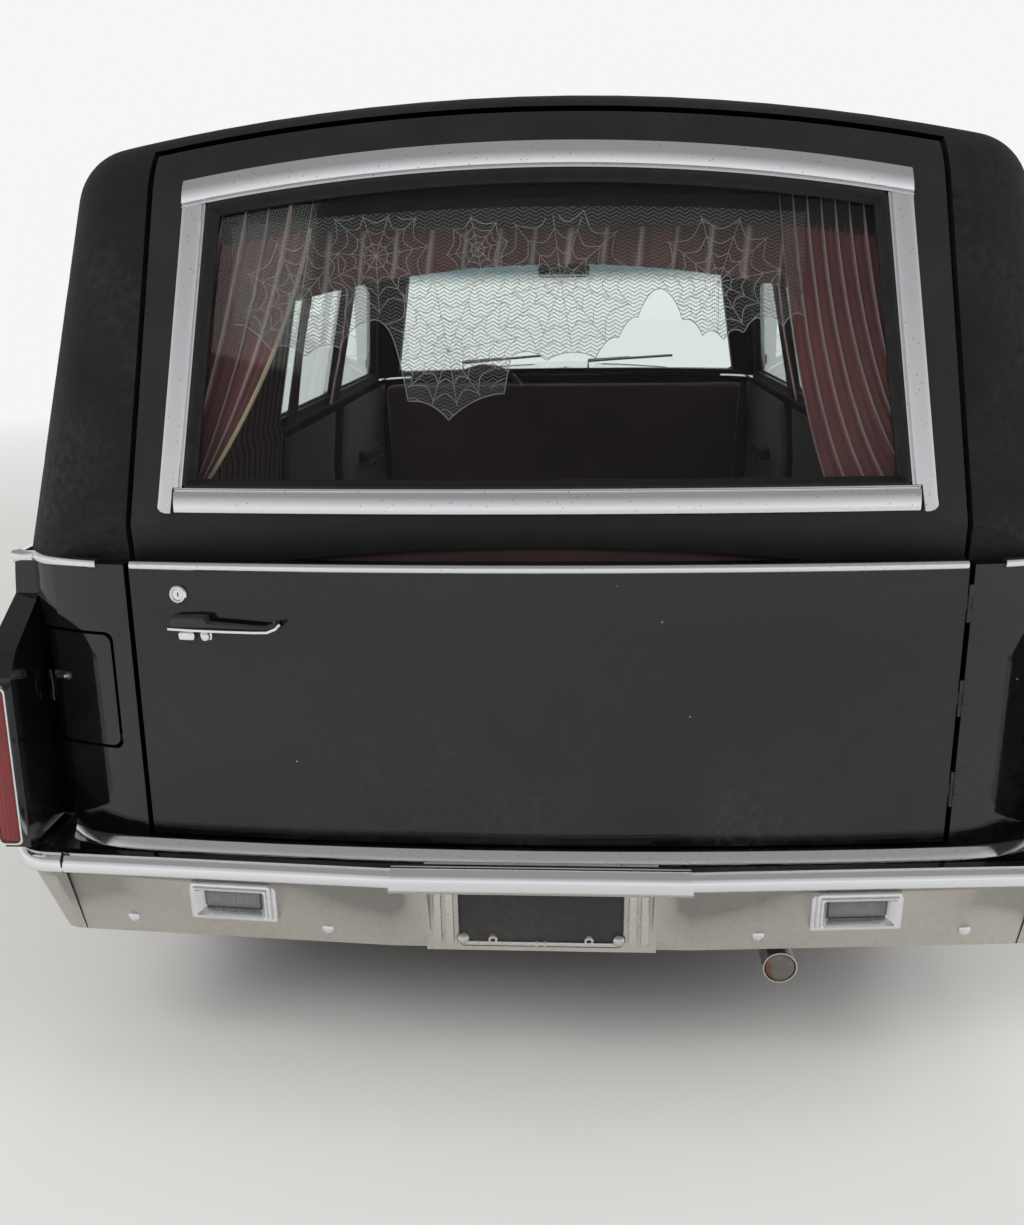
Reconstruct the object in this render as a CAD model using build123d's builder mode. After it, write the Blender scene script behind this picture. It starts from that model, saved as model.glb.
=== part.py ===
"""A 1970s American hearse on a long commercial chassis, in millimetres.

X points to the car's right, Y forward, Z up. The origin lies on the ground, at the
middle of the car's length and width. Each piece is its own solid or pair of solids.
"""
import math
import os

from build123d import *

# Overall places
REAR_END = -3200
FRONT_END = 3200
ROOF_Z = 1830
BELT_Z = 1030
SILL_Z = 250
BULGE_Z = 640
FIREWALL_Y = 1290
FIREWALL_T = 50

# Axles and wheels
FRONT_AXLE_Y = 2230
REAR_AXLE_Y = -1770
TYRE_R = 365
TYRE_W = 210
RIM_R = 196
RIM_W = 168
WHEEL_X = 800
KINGPIN_X = 690
FRONT_ARCH_R = 442
REAR_ARCH_R = 422
HUB_R = 28
RUN = 0.05
SEAT = 0.3

# Walls and gaps
DOOR_WALL = 70
UPPER_WALL = 45
TAIL_WALL = 60
FENDER_WALL = 45
GLASS_T = 6
GLASS_IN = 20
GAP = 8
TAIL_GAP = 10

# The lower body's sections, front to back:
# place, half width at the sill, at the bulge, at the belt, height of the belt
BODY_SECTIONS = [
    (-3165, 948, 994, 972, BELT_Z),
    (-2300, 965, 1012, 985, BELT_Z),
    (1150, 965, 1012, 985, BELT_Z),
    (3120, 903, 943, 918, 922),
]

# The greenhouse's two plan outlines:
# height, tail, half width, half width of the tail's bow, tail bend radius,
# windshield centre, windshield corner, corner half width, front of the side
GREENHOUSE_SECTIONS = [
    (990, -3083, 984, 753, 450, 1267, 1097, 870, 967),
    (1900, -2860, 788, 672, 120, 430, 260, 690, 130),
]
TAIL_BOW_R = 7700
TAIL_BEND = 24
ROOF_FRONT_Y = -450
ROOF_FRONT_R = 3029
ROOF_REAR_Y = -2350
ROOF_REAR_R = 2800
CROWN_R = 4000
CROWN_HALF = 1150
ROOF_EDGE_R = 120
ROOF_T = 40

# The tail face below the belt, and the fins beside it
TAIL_BELT_Y = -3073
TAIL_LEAN = 0.07
TAIL_BOW_HALF = 753
TAIL_CORNER_R = 450
TAIL_TURN_R = 155
FIN_X = 940
FIN_END_Y = -3150
FIN_TOP_Z = 885
FIN_ROOT_Y = -2966

# The tail door, its window and its trim
TAIL_DOOR_HALF = 735
TAIL_DOOR_TOP_HALF = 660
TAIL_DOOR_LOW_Z = 520
TAIL_DOOR_CORNER_Z = 1706
TAIL_DOOR_TOP_Z = 1762
TAIL_WINDOW_HALF = 628
TAIL_WINDOW_TOP_HALF = 570
TAIL_WINDOW_LOW_Z = 1163
TAIL_WINDOW_CORNER_Z = 1627
TAIL_WINDOW_TOP_Z = 1672
FRAME_BAND = 44
FRAME_PROUD = 12

# Side doors: front edge, back edge, and heights of the top at each
DOOR_LOW_Z = 365
FRONT_DOOR_Y = 1120
PILLAR_Y = -130
SIDE_DOOR_Y = -188
QUARTER_Y = -1180
DOOR_TOP_Z = 1582
WINDOW_LOW_Z = 1068
WINDOW_TOP_Z = 1538
WINDOW_CORNER_R = 35

# Hinges
PIN_R = 1.8
KNUCKLE_R = 3.7
KNUCKLE_H = 22
HINGE_X = 1013
DOOR_HINGE_ZS = (560, 720)
TAIL_HINGE_ZS = (590, 760, 930)
HOOD_HINGE_X = 520
HOOD_HINGE_Y = 1295
HOOD_HINGE_Z = 1037.5

# Windshield
SHIELD_LOW_Z = 1062
SHIELD_LOW_HALF = 835
SHIELD_TOP_HALF = 700
SHIELD_CORNER_Z = 1556
SHIELD_TOP_Z = 1600

# Quarters behind the rear wheels
QUARTER_LIFT_Y = -2735
QUARTER_LIFT_Z = 525
TAIL_PAN_Z = 460
HOUSING_X = 660

# Fuel flap
FLAP_T = 8
FLAP_DEPTH = 34
FLAP_GAP = 6
FLAP_OUT_X = 922
FLAP_IN_X = 785
FLAP_LOW_Z = 690
FLAP_TOP_Z = 900

# Hood and nose
HOOD_REAR_Y = 1300
HOOD_FRONT_Y = 3003
HOOD_REAR_Z = 1021
HOOD_FRONT_Z = 928
HOOD_HALF = 700
HOOD_CROWN = 34
HOOD_T = 25
BULGE_RISE = 15
SHOULDER_R = 24
NOSE_Y = 3011
NOSE_LOW_Z = 540
GRILLE_HALF = 420
GRILLE_LOW_Z = 600
GRILLE_TOP_Z = 860
GRILLE_COLS = 20
GRILLE_ROWS = 7
GRILLE_BAR = 8
LAMP_XS = (560, 770)
LAMP_Z = 745
LAMP_R = 73

# Bumpers: centre flat half and end, wing, side and its end
REAR_BUMPER = [(280, -3200), (930, -3150), (1005, -2750)]
FRONT_BUMPER = [(400, 3200), (930, 3130), (985, 2900)]
BUMPER_BEND = 95
BUMPER_T = 26
BUMPER_STEP = 15
BUMPER_TOP_Z = 514
BUMPER_SHOULDER_Z = 472
BUMPER_LOW_Z = 320
BUMPER_EDGE_R = 13
FRONT_BUMPER_TOP_Z = 520
FRONT_BUMPER_LOW_Z = 380
RECESS_HALF = 205
LAMP_IN = 492
LAMP_OUT = 648
BACKUP_LOW_Z = 382
BACKUP_TOP_Z = 454
PLATE_Y = -3146
PLATE_W = 305
PLATE_H = 152
PLATE_LOW_Z = 332
PLATE_BOLTS = 178
BOLT_R = 3.5

# Landau irons
IRON_T = 10
IRON_W = 34
IRON_LINE = [(-1380, 1530), (-1500, 1385), (-1930, 1310), (-2360, 1235), (-2480, 1090)]

# Floor and deck
FLOOR_Z = 350
FLOOR_T = 20
DECK_Z = 580
BIER_BOLT_R = 5
BIER_BOLTS = (240, 120)
BIER_PLATE_YS = (-900, -2600)

# Running gear
SPINDLE_END = 852
SHAFT_Z = 280
ARM_LOW_Z = 222
ARM_HIGH_Z = 470
ARM_T = 32
ARM_ROOT_X = 405.3
GEARBOX_R = 120
PIPE_X = 300
PIPE_Z = 240
PIPE_R = 27

os.makedirs("parts", exist_ok=True)


def block(x, y, z):
    """A box from its low and high places along each axis."""
    with BuildPart() as made:
        with Locations(((x[0] + x[1]) / 2, (y[0] + y[1]) / 2, (z[0] + z[1]) / 2)):
            Box(x[1] - x[0], y[1] - y[0], z[1] - z[0])
    return made.part


def rod(start, end, radius):
    """A round bar between two points."""
    line = Vector(*end) - Vector(*start)
    with BuildPart() as made:
        with BuildSketch(Plane(origin=start, z_dir=line)):
            Circle(radius)
        extrude(amount=line.length)
    return made.part


def side_prism(points, x_low, x_high, grow=0, corner=0):
    """A side outline of (Y, Z) points, carried across from x_low to x_high."""
    with BuildPart() as made:
        with BuildSketch(Plane.YZ.offset(x_low)) as outline:
            with BuildLine():
                Polyline(*points, close=True)
            make_face()
            if grow:
                offset(amount=grow, kind=Kind.INTERSECTION)
            if corner:
                fillet(outline.vertices(), corner)
        extrude(amount=x_high - x_low)
    return made.part


def both_sides(part):
    """A right-hand piece with its mirror image."""
    with BuildPart() as made:
        add(part)
        mirror(about=Plane.YZ)
    return made.part


def left_of(part):
    """The mirror image of a right-hand piece."""
    with BuildPart() as made:
        add(part)
        mirror(about=Plane.YZ, mode=Mode.REPLACE)
    return made.part


def common(*parts):
    """What all the parts share."""
    with BuildPart() as made:
        add(parts[0])
        for other in parts[1:]:
            add(other, mode=Mode.INTERSECT)
    return made.part


def cut(base, *tools):
    """The base with the tools taken away."""
    with BuildPart() as made:
        add(base)
        for tool in tools:
            add(tool, mode=Mode.SUBTRACT)
    return made.part


def joined(*parts):
    """The parts as one."""
    with BuildPart() as made:
        for other in parts:
            add(other)
    return made.part


# The body's envelope
def lower_body(inset=0, low_z=SILL_Z, drop=0):
    """The lower body's slab sides and belt, set in by a wall's thickness."""
    sections = []
    for y, sill, bulge, belt, belt_z in BODY_SECTIONS:
        with BuildSketch(Plane.XZ.offset(-y)) as section:
            with BuildLine():
                Line((0, low_z), (sill - inset, low_z))
                Line((sill - inset, low_z), (sill - inset, SILL_Z + 1))
                ThreePointArc(
                    (sill - inset, SILL_Z + 1),
                    (bulge - inset, BULGE_Z),
                    (belt - inset, belt_z - drop),
                )
                Line((belt - inset, belt_z - drop), (0, belt_z - drop))
                Line((0, belt_z - drop), (0, low_z))
            make_face()
            mirror(about=Plane.YZ)
        sections.append(section.sketch)
    with BuildPart() as made:
        loft(sections=sections, ruled=True)
    return made.part


def bow_turn(half):
    """The angle that the tail's bow has turned by at half its width."""
    return math.degrees(math.asin(half / TAIL_BOW_R))


def tail_bow(middle_y, half):
    """The tail's long shallow bow, from the middle of the car outwards."""
    return JernArc(
        start=(0, middle_y), tangent=(1, 0), radius=TAIL_BOW_R, arc_size=bow_turn(half)
    )


def greenhouse_outline(row, inset, tail_inset):
    """One plan outline of the greenhouse, from the table's row."""
    z, tail, half, flat, bend, centre, corner, corner_half, side = row
    half, tail = half - inset, tail + tail_inset
    with BuildSketch(Plane.XY.offset(z)) as outline:
        with BuildLine():
            bow = tail_bow(tail, flat)
            wide = JernArc(start=bow @ 1, tangent=bow % 1, radius=bend, arc_size=TAIL_BEND - bow_turn(flat))
            tight = (half - (wide @ 1).X) / (1 - math.sin(math.radians(TAIL_BEND)))
            turn = JernArc(start=wide @ 1, tangent=wide % 1, radius=tight, arc_size=90 - TAIL_BEND)
            Line(turn @ 1, (half, side - inset))
            RadiusArc((half, side - inset), (corner_half - inset, corner - inset), -260)
            middle = ((corner_half - inset) * 0.52, corner - inset + (centre - corner) * 0.75)
            ThreePointArc((corner_half - inset, corner - inset), middle, (0, centre - inset))
            Line((0, centre - inset), (0, tail))
        make_face()
        mirror(about=Plane.YZ)
    return outline.sketch


def roof_mass(drop=0):
    """Everything under the crowned roof, swept along its side profile."""
    top = ROOF_Z - drop
    edge = CROWN_R - math.sqrt(CROWN_R**2 - CROWN_HALF**2)
    depth = 950
    with BuildPart() as made:
        with BuildLine(Plane.YZ) as path:
            nose = JernArc(
                start=(ROOF_FRONT_Y, top), tangent=(1, 0), radius=ROOF_FRONT_R, arc_size=-28
            )
            Line(nose @ 1, (nose @ 1) + (nose % 1) * 600)
            Line((ROOF_FRONT_Y, top), (ROOF_REAR_Y, top))
            JernArc(start=(ROOF_REAR_Y, top), tangent=(-1, 0), radius=ROOF_REAR_R, arc_size=18)
        spine = path.wires()[0]
        with BuildSketch(Plane(origin=spine @ 0, x_dir=(1, 0, 0), z_dir=spine % 0)):
            with BuildLine():
                ThreePointArc((-CROWN_HALF, edge), (0, 0), (CROWN_HALF, edge))
                Polyline(
                    (CROWN_HALF, edge), (CROWN_HALF, depth), (-CROWN_HALF, depth), (-CROWN_HALF, edge)
                )
            make_face()
        sweep(path=spine)
    return made.part


def greenhouse(inset=0, tail_inset=0, drop=0, edge_r=0):
    """The cabin above the belt: leaning sides and windshield under the crowned roof."""
    with BuildPart() as made:
        loft(
            sections=[greenhouse_outline(row, inset, tail_inset) for row in GREENHOUSE_SECTIONS],
            ruled=True,
        )
        add(roof_mass(drop), mode=Mode.INTERSECT)
        if edge_r:
            rim = [
                e
                for e in made.edges()
                if e.center().Z > 1640
                and e.center().Y < 700
                and not (abs(e.center().X) < 500 and e.center().Y > 0)
                and (abs(e.tangent_at(0.5).Z) < 0.7 and abs(e.center().X) > 10 or e.center().Y < -2700)
            ]
            fillet(rim, edge_r)
    return made.part


def fin_turn(start):
    """The angle that the tail's tight turn has reached at the fin."""
    risen = math.sin(math.radians(TAIL_BEND)) + (FIN_X - start.X) / TAIL_TURN_R
    return math.degrees(math.asin(risen))


def tail_space(shift=0):
    """All that lies behind the tail face below the belt, between the fins."""
    low_z = 150
    base_y = TAIL_BELT_Y - TAIL_LEAN * (BELT_Z - low_z) + shift
    far = -3600
    with BuildPart() as made:
        with BuildSketch(Plane.XY.offset(low_z)):
            with BuildLine():
                bow = tail_bow(base_y, TAIL_BOW_HALF)
                wide = JernArc(
                    start=bow @ 1, tangent=bow % 1, radius=TAIL_CORNER_R,
                    arc_size=TAIL_BEND - bow_turn(TAIL_BOW_HALF),
                )
                turn = JernArc(
                    start=wide @ 1, tangent=wide % 1, radius=TAIL_TURN_R,
                    arc_size=fin_turn(wide @ 1) - TAIL_BEND,
                )
                Line(turn @ 1, (FIN_X, far))
                Line((FIN_X, far), (0, far))
                Line((0, far), (0, base_y))
            make_face()
            mirror(about=Plane.YZ)
        rise = BELT_Z + 0.5 - low_z
        extrude(amount=math.hypot(rise, TAIL_LEAN * rise), dir=(0, TAIL_LEAN, 1))
    return made.part


def fin_trim():
    """What is cut off behind and above the fins, seen from the side."""
    return both_sides(side_prism(
        [
            (-3400, 100), (FIN_END_Y, 100), (FIN_END_Y, 520), (FIN_END_Y + 26, FIN_TOP_Z - 40),
            (FIN_END_Y + 60, FIN_TOP_Z), (FIN_ROOT_Y, 960), (FIN_ROOT_Y, BELT_Z + 1),
            (-3400, BELT_Z + 1),
        ],
        FIN_X,
        1100,
    ))


def wheel_arch(y, radius):
    """A wheel opening right across the car."""
    return common(
        rod((-1200, y, TYRE_R), (1200, y, TYRE_R), radius),
        block((-1200, 1200), (y - radius, y + radius), (0, 1000)),
    )


FRONT_DOOR = [
    (FRONT_DOOR_Y, DOOR_LOW_Z), (FRONT_DOOR_Y, BELT_Z), (900, BELT_Z), (470, 1498),
    (180, 1562), (PILLAR_Y, DOOR_TOP_Z), (PILLAR_Y, DOOR_LOW_Z),
]
FRONT_WINDOW = [
    (805, WINDOW_LOW_Z), (452, 1452), (165, 1516), (PILLAR_Y + 42, WINDOW_TOP_Z),
    (PILLAR_Y + 42, WINDOW_LOW_Z),
]
SIDE_DOOR = [
    (SIDE_DOOR_Y, DOOR_LOW_Z), (SIDE_DOOR_Y, DOOR_TOP_Z), (QUARTER_Y, DOOR_TOP_Z),
    (QUARTER_Y, DOOR_LOW_Z),
]
SIDE_WINDOW = [
    (SIDE_DOOR_Y - 42, WINDOW_LOW_Z), (SIDE_DOOR_Y - 42, WINDOW_TOP_Z),
    (QUARTER_Y + 42, WINDOW_TOP_Z), (QUARTER_Y + 42, WINDOW_LOW_Z),
]


def tail_prism(low, low_half, corner_z, top_z, top_half, grow=0, corner=0):
    """A tail outline with an arched top, seen from behind, carried through the tail."""
    with BuildPart() as made:
        with BuildSketch(Plane.XZ.offset(2760)) as outline:
            with BuildLine():
                Line((-low_half, low), (low_half, low))
                if low < BELT_Z:
                    Line((low_half, low), (low_half, BELT_Z))
                    Line((low_half, BELT_Z), (top_half, corner_z))
                    Line((-top_half, corner_z), (-low_half, BELT_Z))
                    Line((-low_half, BELT_Z), (-low_half, low))
                else:
                    Line((low_half, low), (top_half, corner_z))
                    Line((-top_half, corner_z), (-low_half, low))
                ThreePointArc((top_half, corner_z), (0, top_z), (-top_half, corner_z))
            make_face()
            if grow:
                offset(amount=grow, kind=Kind.INTERSECTION)
            if corner:
                fillet(outline.vertices(), corner)
        extrude(amount=640)
    return made.part


tail_hole = tail_prism(
    TAIL_DOOR_LOW_Z, TAIL_DOOR_HALF, TAIL_DOOR_CORNER_Z, TAIL_DOOR_TOP_Z, TAIL_DOOR_TOP_HALF, TAIL_GAP
)
tail_slab = tail_prism(
    TAIL_DOOR_LOW_Z, TAIL_DOOR_HALF, TAIL_DOOR_CORNER_Z, TAIL_DOOR_TOP_Z, TAIL_DOOR_TOP_HALF
)
tail_window = (
    TAIL_WINDOW_LOW_Z, TAIL_WINDOW_HALF, TAIL_WINDOW_CORNER_Z, TAIL_WINDOW_TOP_Z, TAIL_WINDOW_TOP_HALF
)
tail_pane = tail_prism(*tail_window)
tail_band = tail_prism(*tail_window, grow=FRAME_BAND)


def shield_prism(grow=0):
    """The windshield's opening, seen from the front."""
    with BuildPart() as made:
        with BuildSketch(Plane.XZ.offset(-1400)) as outline:
            with BuildLine():
                Polyline(
                    (-SHIELD_TOP_HALF, SHIELD_CORNER_Z), (-SHIELD_LOW_HALF, SHIELD_LOW_Z),
                    (SHIELD_LOW_HALF, SHIELD_LOW_Z), (SHIELD_TOP_HALF, SHIELD_CORNER_Z),
                )
                ThreePointArc(
                    (SHIELD_TOP_HALF, SHIELD_CORNER_Z), (0, SHIELD_TOP_Z),
                    (-SHIELD_TOP_HALF, SHIELD_CORNER_Z),
                )
            make_face()
            if grow:
                offset(amount=grow, kind=Kind.INTERSECTION)
        extrude(amount=1020)
    return made.part


def hinge(start, end, body_leaf, door_leaf, pin_r=PIN_R, knuckle_r=KNUCKLE_R):
    """One hinge along its axis from start to end.

    The outer thirds, with the pin, are the body's; the middle third is the door's. Each
    leaf is a cross section, carried along the same thirds to reach into its panel.
    """
    start, end = Vector(*start), Vector(*end)
    along = (end - start).normalized()
    length = (end - start).length
    gap = SEAT / 2

    def at(distance):
        return tuple(start + along * distance)

    def leaf(offset_a, offset_b, low, high):
        low_p, high_p = start + along * low, start + along * high
        a, b = Vector(*offset_a), Vector(*offset_b)
        with BuildPart() as made:
            with BuildSketch(Plane(origin=low_p, x_dir=a, z_dir=along)):
                with BuildLine():
                    Polyline((0, 0), (a.length, 0), (a.length, b.length), (0, b.length), close=True)
                make_face()
            extrude(amount=high - low)
        return made.part

    third = length / 3
    pin = rod(at(0), at(length), pin_r)
    outer = joined(
        rod(at(0), at(third - gap), knuckle_r),
        rod(at(2 * third + gap), at(length), knuckle_r),
        pin,
        leaf(*body_leaf, 0, third - gap),
        leaf(*body_leaf, 2 * third + gap, length),
    )
    inner = cut(
        joined(
            rod(at(third + gap), at(2 * third - gap), knuckle_r),
            leaf(*door_leaf, third + gap, 2 * third - gap),
        ),
        rod(at(0), at(length), pin_r + RUN),
    )
    return outer, inner


# The hollow body, before its panels are parted
cabin_zone = block((-1100, 1100), (-3300, FIREWALL_Y), (0, BELT_Z))
green_outer = common(
    greenhouse(edge_r=ROOF_EDGE_R), block((-1100, 1100), (-3300, FIREWALL_Y), (BELT_Z, 1900))
)
green_inner = greenhouse(UPPER_WALL, TAIL_WALL, ROOF_T)
lower_outer = cut(common(lower_body(), cabin_zone), tail_space(), fin_trim())
lower_inner = cut(
    common(
        lower_body(DOOR_WALL, low_z=100),
        block((-1100, 1100), (-3300, FIREWALL_Y - FIREWALL_T), (0, BELT_Z)),
    ),
    tail_space(TAIL_WALL),
)
cowl = cut(
    common(
        lower_outer,
        joined(
            block((-900, 900), (940, FIREWALL_Y), (BELT_Z - 30, BELT_Z)),
            block((-1100, 1100), (FRONT_DOOR_Y + GAP, FIREWALL_Y), (BELT_Z - 30, BELT_Z)),
        ),
    ),
    green_inner,
)
rear_arches = wheel_arch(REAR_AXLE_Y, REAR_ARCH_R)
lower_shell = cut(lower_outer, lower_inner)
green_shell = cut(green_outer, green_inner)

front_gap = both_sides(side_prism(FRONT_DOOR, 780, 1100, GAP))
side_gap = both_sides(side_prism(SIDE_DOOR, 780, 1100, GAP))
bumper_room = joined(
    both_sides(block((905, 1100), (-3400, QUARTER_LIFT_Y), (0, QUARTER_LIFT_Z))),
    block((-1100, 1100), (-3400, QUARTER_LIFT_Y), (0, TAIL_PAN_Z)),
)
underfloor = joined(
    block((-470, 470), (FIREWALL_Y - 80, FIREWALL_Y + 10), (0, 340)),
    block((-170, 170), (FIREWALL_Y - 80, FIREWALL_Y + 10), (0, 440)),
)

# Housings over the rear wheels, inside the quarters
with BuildPart() as wheelhouses:
    add(common(
        rod((HOUSING_X, REAR_AXLE_Y, TYRE_R), (1100, REAR_AXLE_Y, TYRE_R), REAR_ARCH_R + 12),
        lower_inner,
        block((0, 1100), (-2400, -1100), (TYRE_R + 50, 900)),
    ))
    add(
        rod((HOUSING_X + 12, REAR_AXLE_Y, TYRE_R), (1100, REAR_AXLE_Y, TYRE_R), REAR_ARCH_R),
        mode=Mode.SUBTRACT,
    )
    mirror(about=Plane.YZ)

# The flap over the fuel filler, in the tail's left corner
flap_face = cut(tail_space(FLAP_T), tail_space())


def flap_prism(grow=0):
    """The fuel flap's outline, seen from behind."""
    with BuildPart() as made:
        with BuildSketch(Plane.XZ.offset(2900)) as outline:
            with Locations((-(FLAP_OUT_X + FLAP_IN_X) / 2, (FLAP_LOW_Z + FLAP_TOP_Z) / 2)):
                RectangleRounded(
                    FLAP_OUT_X - FLAP_IN_X + 2 * grow, FLAP_TOP_Z - FLAP_LOW_Z + 2 * grow, 16
                )
        extrude(amount=400)
    return made.part


# Hinges, each with its axis on the outer skin within the shut gap
def tail_skin(z, x=0):
    """The tail face's Y at a height below the belt."""
    reach, angle, y = abs(x), 0.0, TAIL_BELT_Y - TAIL_LEAN * (BELT_Z - z)
    spans = ((TAIL_BOW_R, bow_turn(TAIL_BOW_HALF)), (TAIL_CORNER_R, TAIL_BEND), (TAIL_TURN_R, 90))
    for radius, last in spans:
        end = math.radians(last)
        step = min(reach, radius * (math.sin(end) - math.sin(angle)))
        turned = math.asin(math.sin(angle) + step / radius)
        y += radius * (math.cos(angle) - math.cos(turned))
        reach, angle = reach - step, turned
        if reach < 1e-6:
            break
    return y


side_hinges = {}
for door, edge_y in (("front", FRONT_DOOR_Y), ("side", SIDE_DOOR_Y)):
    side_hinges[door] = [
        hinge(
            (HINGE_X, edge_y + GAP / 2, z - 1.5 * KNUCKLE_H),
            (HINGE_X, edge_y + GAP / 2, z + 1.5 * KNUCKLE_H),
            ((0, GAP, 0), (-14, 0, 0)),
            ((-14, 0, 0), (0, -GAP, 0)),
        )
        for z in DOOR_HINGE_ZS
    ]
tail_hinge_x = TAIL_DOOR_HALF + TAIL_GAP / 2
tail_hinges = [
    hinge(
        (tail_hinge_x, tail_skin(z, tail_hinge_x) - 1, z),
        (tail_hinge_x, tail_skin(z + 3 * KNUCKLE_H, tail_hinge_x) - 1, z + 3 * KNUCKLE_H),
        ((TAIL_GAP, 0, 0), (0, 14, 0)),
        ((0, 14, 0), (-TAIL_GAP, 0, 0)),
    )
    for z in TAIL_HINGE_ZS
]
flap_hinge_x = -(FLAP_OUT_X + FLAP_GAP / 2)
flap_hinge_y = tail_skin(FLAP_TOP_Z, FLAP_OUT_X) - TAIL_LEAN * (FLAP_TOP_Z - 760) - 1
flap_hinge = hinge(
    (flap_hinge_x, flap_hinge_y, 760),
    (flap_hinge_x, flap_hinge_y + TAIL_LEAN * 60, 820),
    ((0, 9, 0), (-FLAP_GAP, 0, 0)),
    ((FLAP_GAP, 0, 0), (0, 9, 0)),
    1.2,
    2.4,
)
hood_hinges = [
    hinge(
        (x - 1.5 * KNUCKLE_H, HOOD_HINGE_Y, HOOD_HINGE_Z),
        (x + 1.5 * KNUCKLE_H, HOOD_HINGE_Y, HOOD_HINGE_Z),
        ((0, -14, 0), (0, 0, -22)),
        ((0, 0, -10), (0, 14, 0)),
    )
    for x in (-HOOD_HINGE_X, HOOD_HINGE_X)
]

# Body panels
with BuildPart() as body_lower:
    add(lower_shell)
    add(front_gap, mode=Mode.SUBTRACT)
    add(side_gap, mode=Mode.SUBTRACT)
    add(tail_hole, mode=Mode.SUBTRACT)
    add(bumper_room, mode=Mode.SUBTRACT)
    add(rear_arches, mode=Mode.SUBTRACT)
    add(cowl)
    add(underfloor, mode=Mode.SUBTRACT)
    add(common(tail_space(FLAP_DEPTH), flap_prism(FLAP_GAP)), mode=Mode.SUBTRACT)
    add(wheelhouses.part)
    for outer, inner in side_hinges["front"] + side_hinges["side"]:
        add(both_sides(outer))
    for outer, inner in [*tail_hinges, flap_hinge, *hood_hinges]:
        add(outer)

with BuildPart() as body_upper:
    add(green_shell)
    add(front_gap, mode=Mode.SUBTRACT)
    add(side_gap, mode=Mode.SUBTRACT)
    add(tail_hole, mode=Mode.SUBTRACT)
    add(shield_prism(), mode=Mode.SUBTRACT)

def rounded_rims(part, radius, keep):
    """The part with the kept edges rounded."""
    with BuildPart() as made:
        add(part)
        fillet([edge for edge in made.edges() if keep(edge.center(), edge.tangent_at(0.5))], radius)
    return made.part


fender_outer = rounded_rims(
    common(lower_body(), block((708, 1100), (FIREWALL_Y + SEAT, NOSE_Y - SEAT), (0, 1100))),
    SHOULDER_R,
    lambda middle, along: middle.Z > 900 and middle.X > 880 and abs(along.Y) > 0.9,
)
with BuildPart() as fender_right:
    add(fender_outer)
    add(lower_body(FENDER_WALL, 100, FENDER_WALL), mode=Mode.SUBTRACT)
    add(
        common(
            rod((470, FRONT_AXLE_Y, TYRE_R), (1100, FRONT_AXLE_Y, TYRE_R), FRONT_ARCH_R + 10),
            lower_body(FENDER_WALL / 2),
            block((0, 1100), (1700, 2800), (TYRE_R - 30, 900)),
        )
    )
    add(
        rod((480, FRONT_AXLE_Y, TYRE_R), (1100, FRONT_AXLE_Y, TYRE_R), FRONT_ARCH_R),
        mode=Mode.SUBTRACT,
    )
    add(block((600, 1100), (2600, 3200), (0, 380)), mode=Mode.SUBTRACT)
    add(block((460, 490), (FRONT_AXLE_Y - 165, FRONT_AXLE_Y + 165), (440, 530)), mode=Mode.SUBTRACT)
with BuildPart() as fender_left:
    add(left_of(fender_right.part))

with BuildPart() as hood:
    sheets = []
    for y, edge_z in ((HOOD_REAR_Y, HOOD_REAR_Z), (HOOD_FRONT_Y, HOOD_FRONT_Z)):
        with BuildSketch(Plane.XZ.offset(-y)) as sheet:
            with BuildLine():
                ThreePointArc((-HOOD_HALF, edge_z), (0, edge_z + HOOD_CROWN), (HOOD_HALF, edge_z))
                Line((HOOD_HALF, edge_z), (HOOD_HALF, edge_z - HOOD_T))
                ThreePointArc(
                    (HOOD_HALF, edge_z - HOOD_T), (0, edge_z + HOOD_CROWN - HOOD_T),
                    (-HOOD_HALF, edge_z - HOOD_T),
                )
                Line((-HOOD_HALF, edge_z - HOOD_T), (-HOOD_HALF, edge_z))
            make_face()
        sheets.append(sheet.sketch)
    loft(sections=sheets, ruled=True)
    ridge = []
    for y, edge_z, half, rise in (
        (HOOD_REAR_Y + 110, 1015, 130, 1), (HOOD_FRONT_Y - 30, 929.6, 215, BULGE_RISE),
    ):
        with BuildSketch(Plane.XZ.offset(-y)) as section:
            with BuildLine():
                Polyline(
                    (-half - 22, edge_z + 16), (-half, edge_z + HOOD_CROWN + rise - 3),
                    (0, edge_z + HOOD_CROWN + rise), (half, edge_z + HOOD_CROWN + rise - 3),
                    (half + 22, edge_z + 16), close=True,
                )
            make_face()
        ridge.append(section.sketch)
    loft(sections=ridge, ruled=True)
    for outer, inner in hood_hinges:
        add(inner)

with BuildPart() as nose:
    add(rounded_rims(
        common(lower_body(), block((-1100, 1100), (NOSE_Y, 3120), (NOSE_LOW_Z, 1100))),
        SHOULDER_R,
        lambda middle, along: (
            middle.Z > 900 and (abs(middle.X) > 880 or middle.Y > 3100)
            or middle.Y > 3100 and abs(middle.X) > 880
        ) and not (middle.Y < 3040 and abs(along.Y) < 0.5),
    ))
    add(block((-GRILLE_HALF, GRILLE_HALF), (NOSE_Y - 1, 3130), (GRILLE_LOW_Z, GRILLE_TOP_Z)), mode=Mode.SUBTRACT)
    for x in LAMP_XS:
        for side in (-1, 1):
            add(
                rod((side * x, 3070, LAMP_Z), (side * x, 3130, LAMP_Z), LAMP_R + 14),
                mode=Mode.SUBTRACT,
            )

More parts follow.
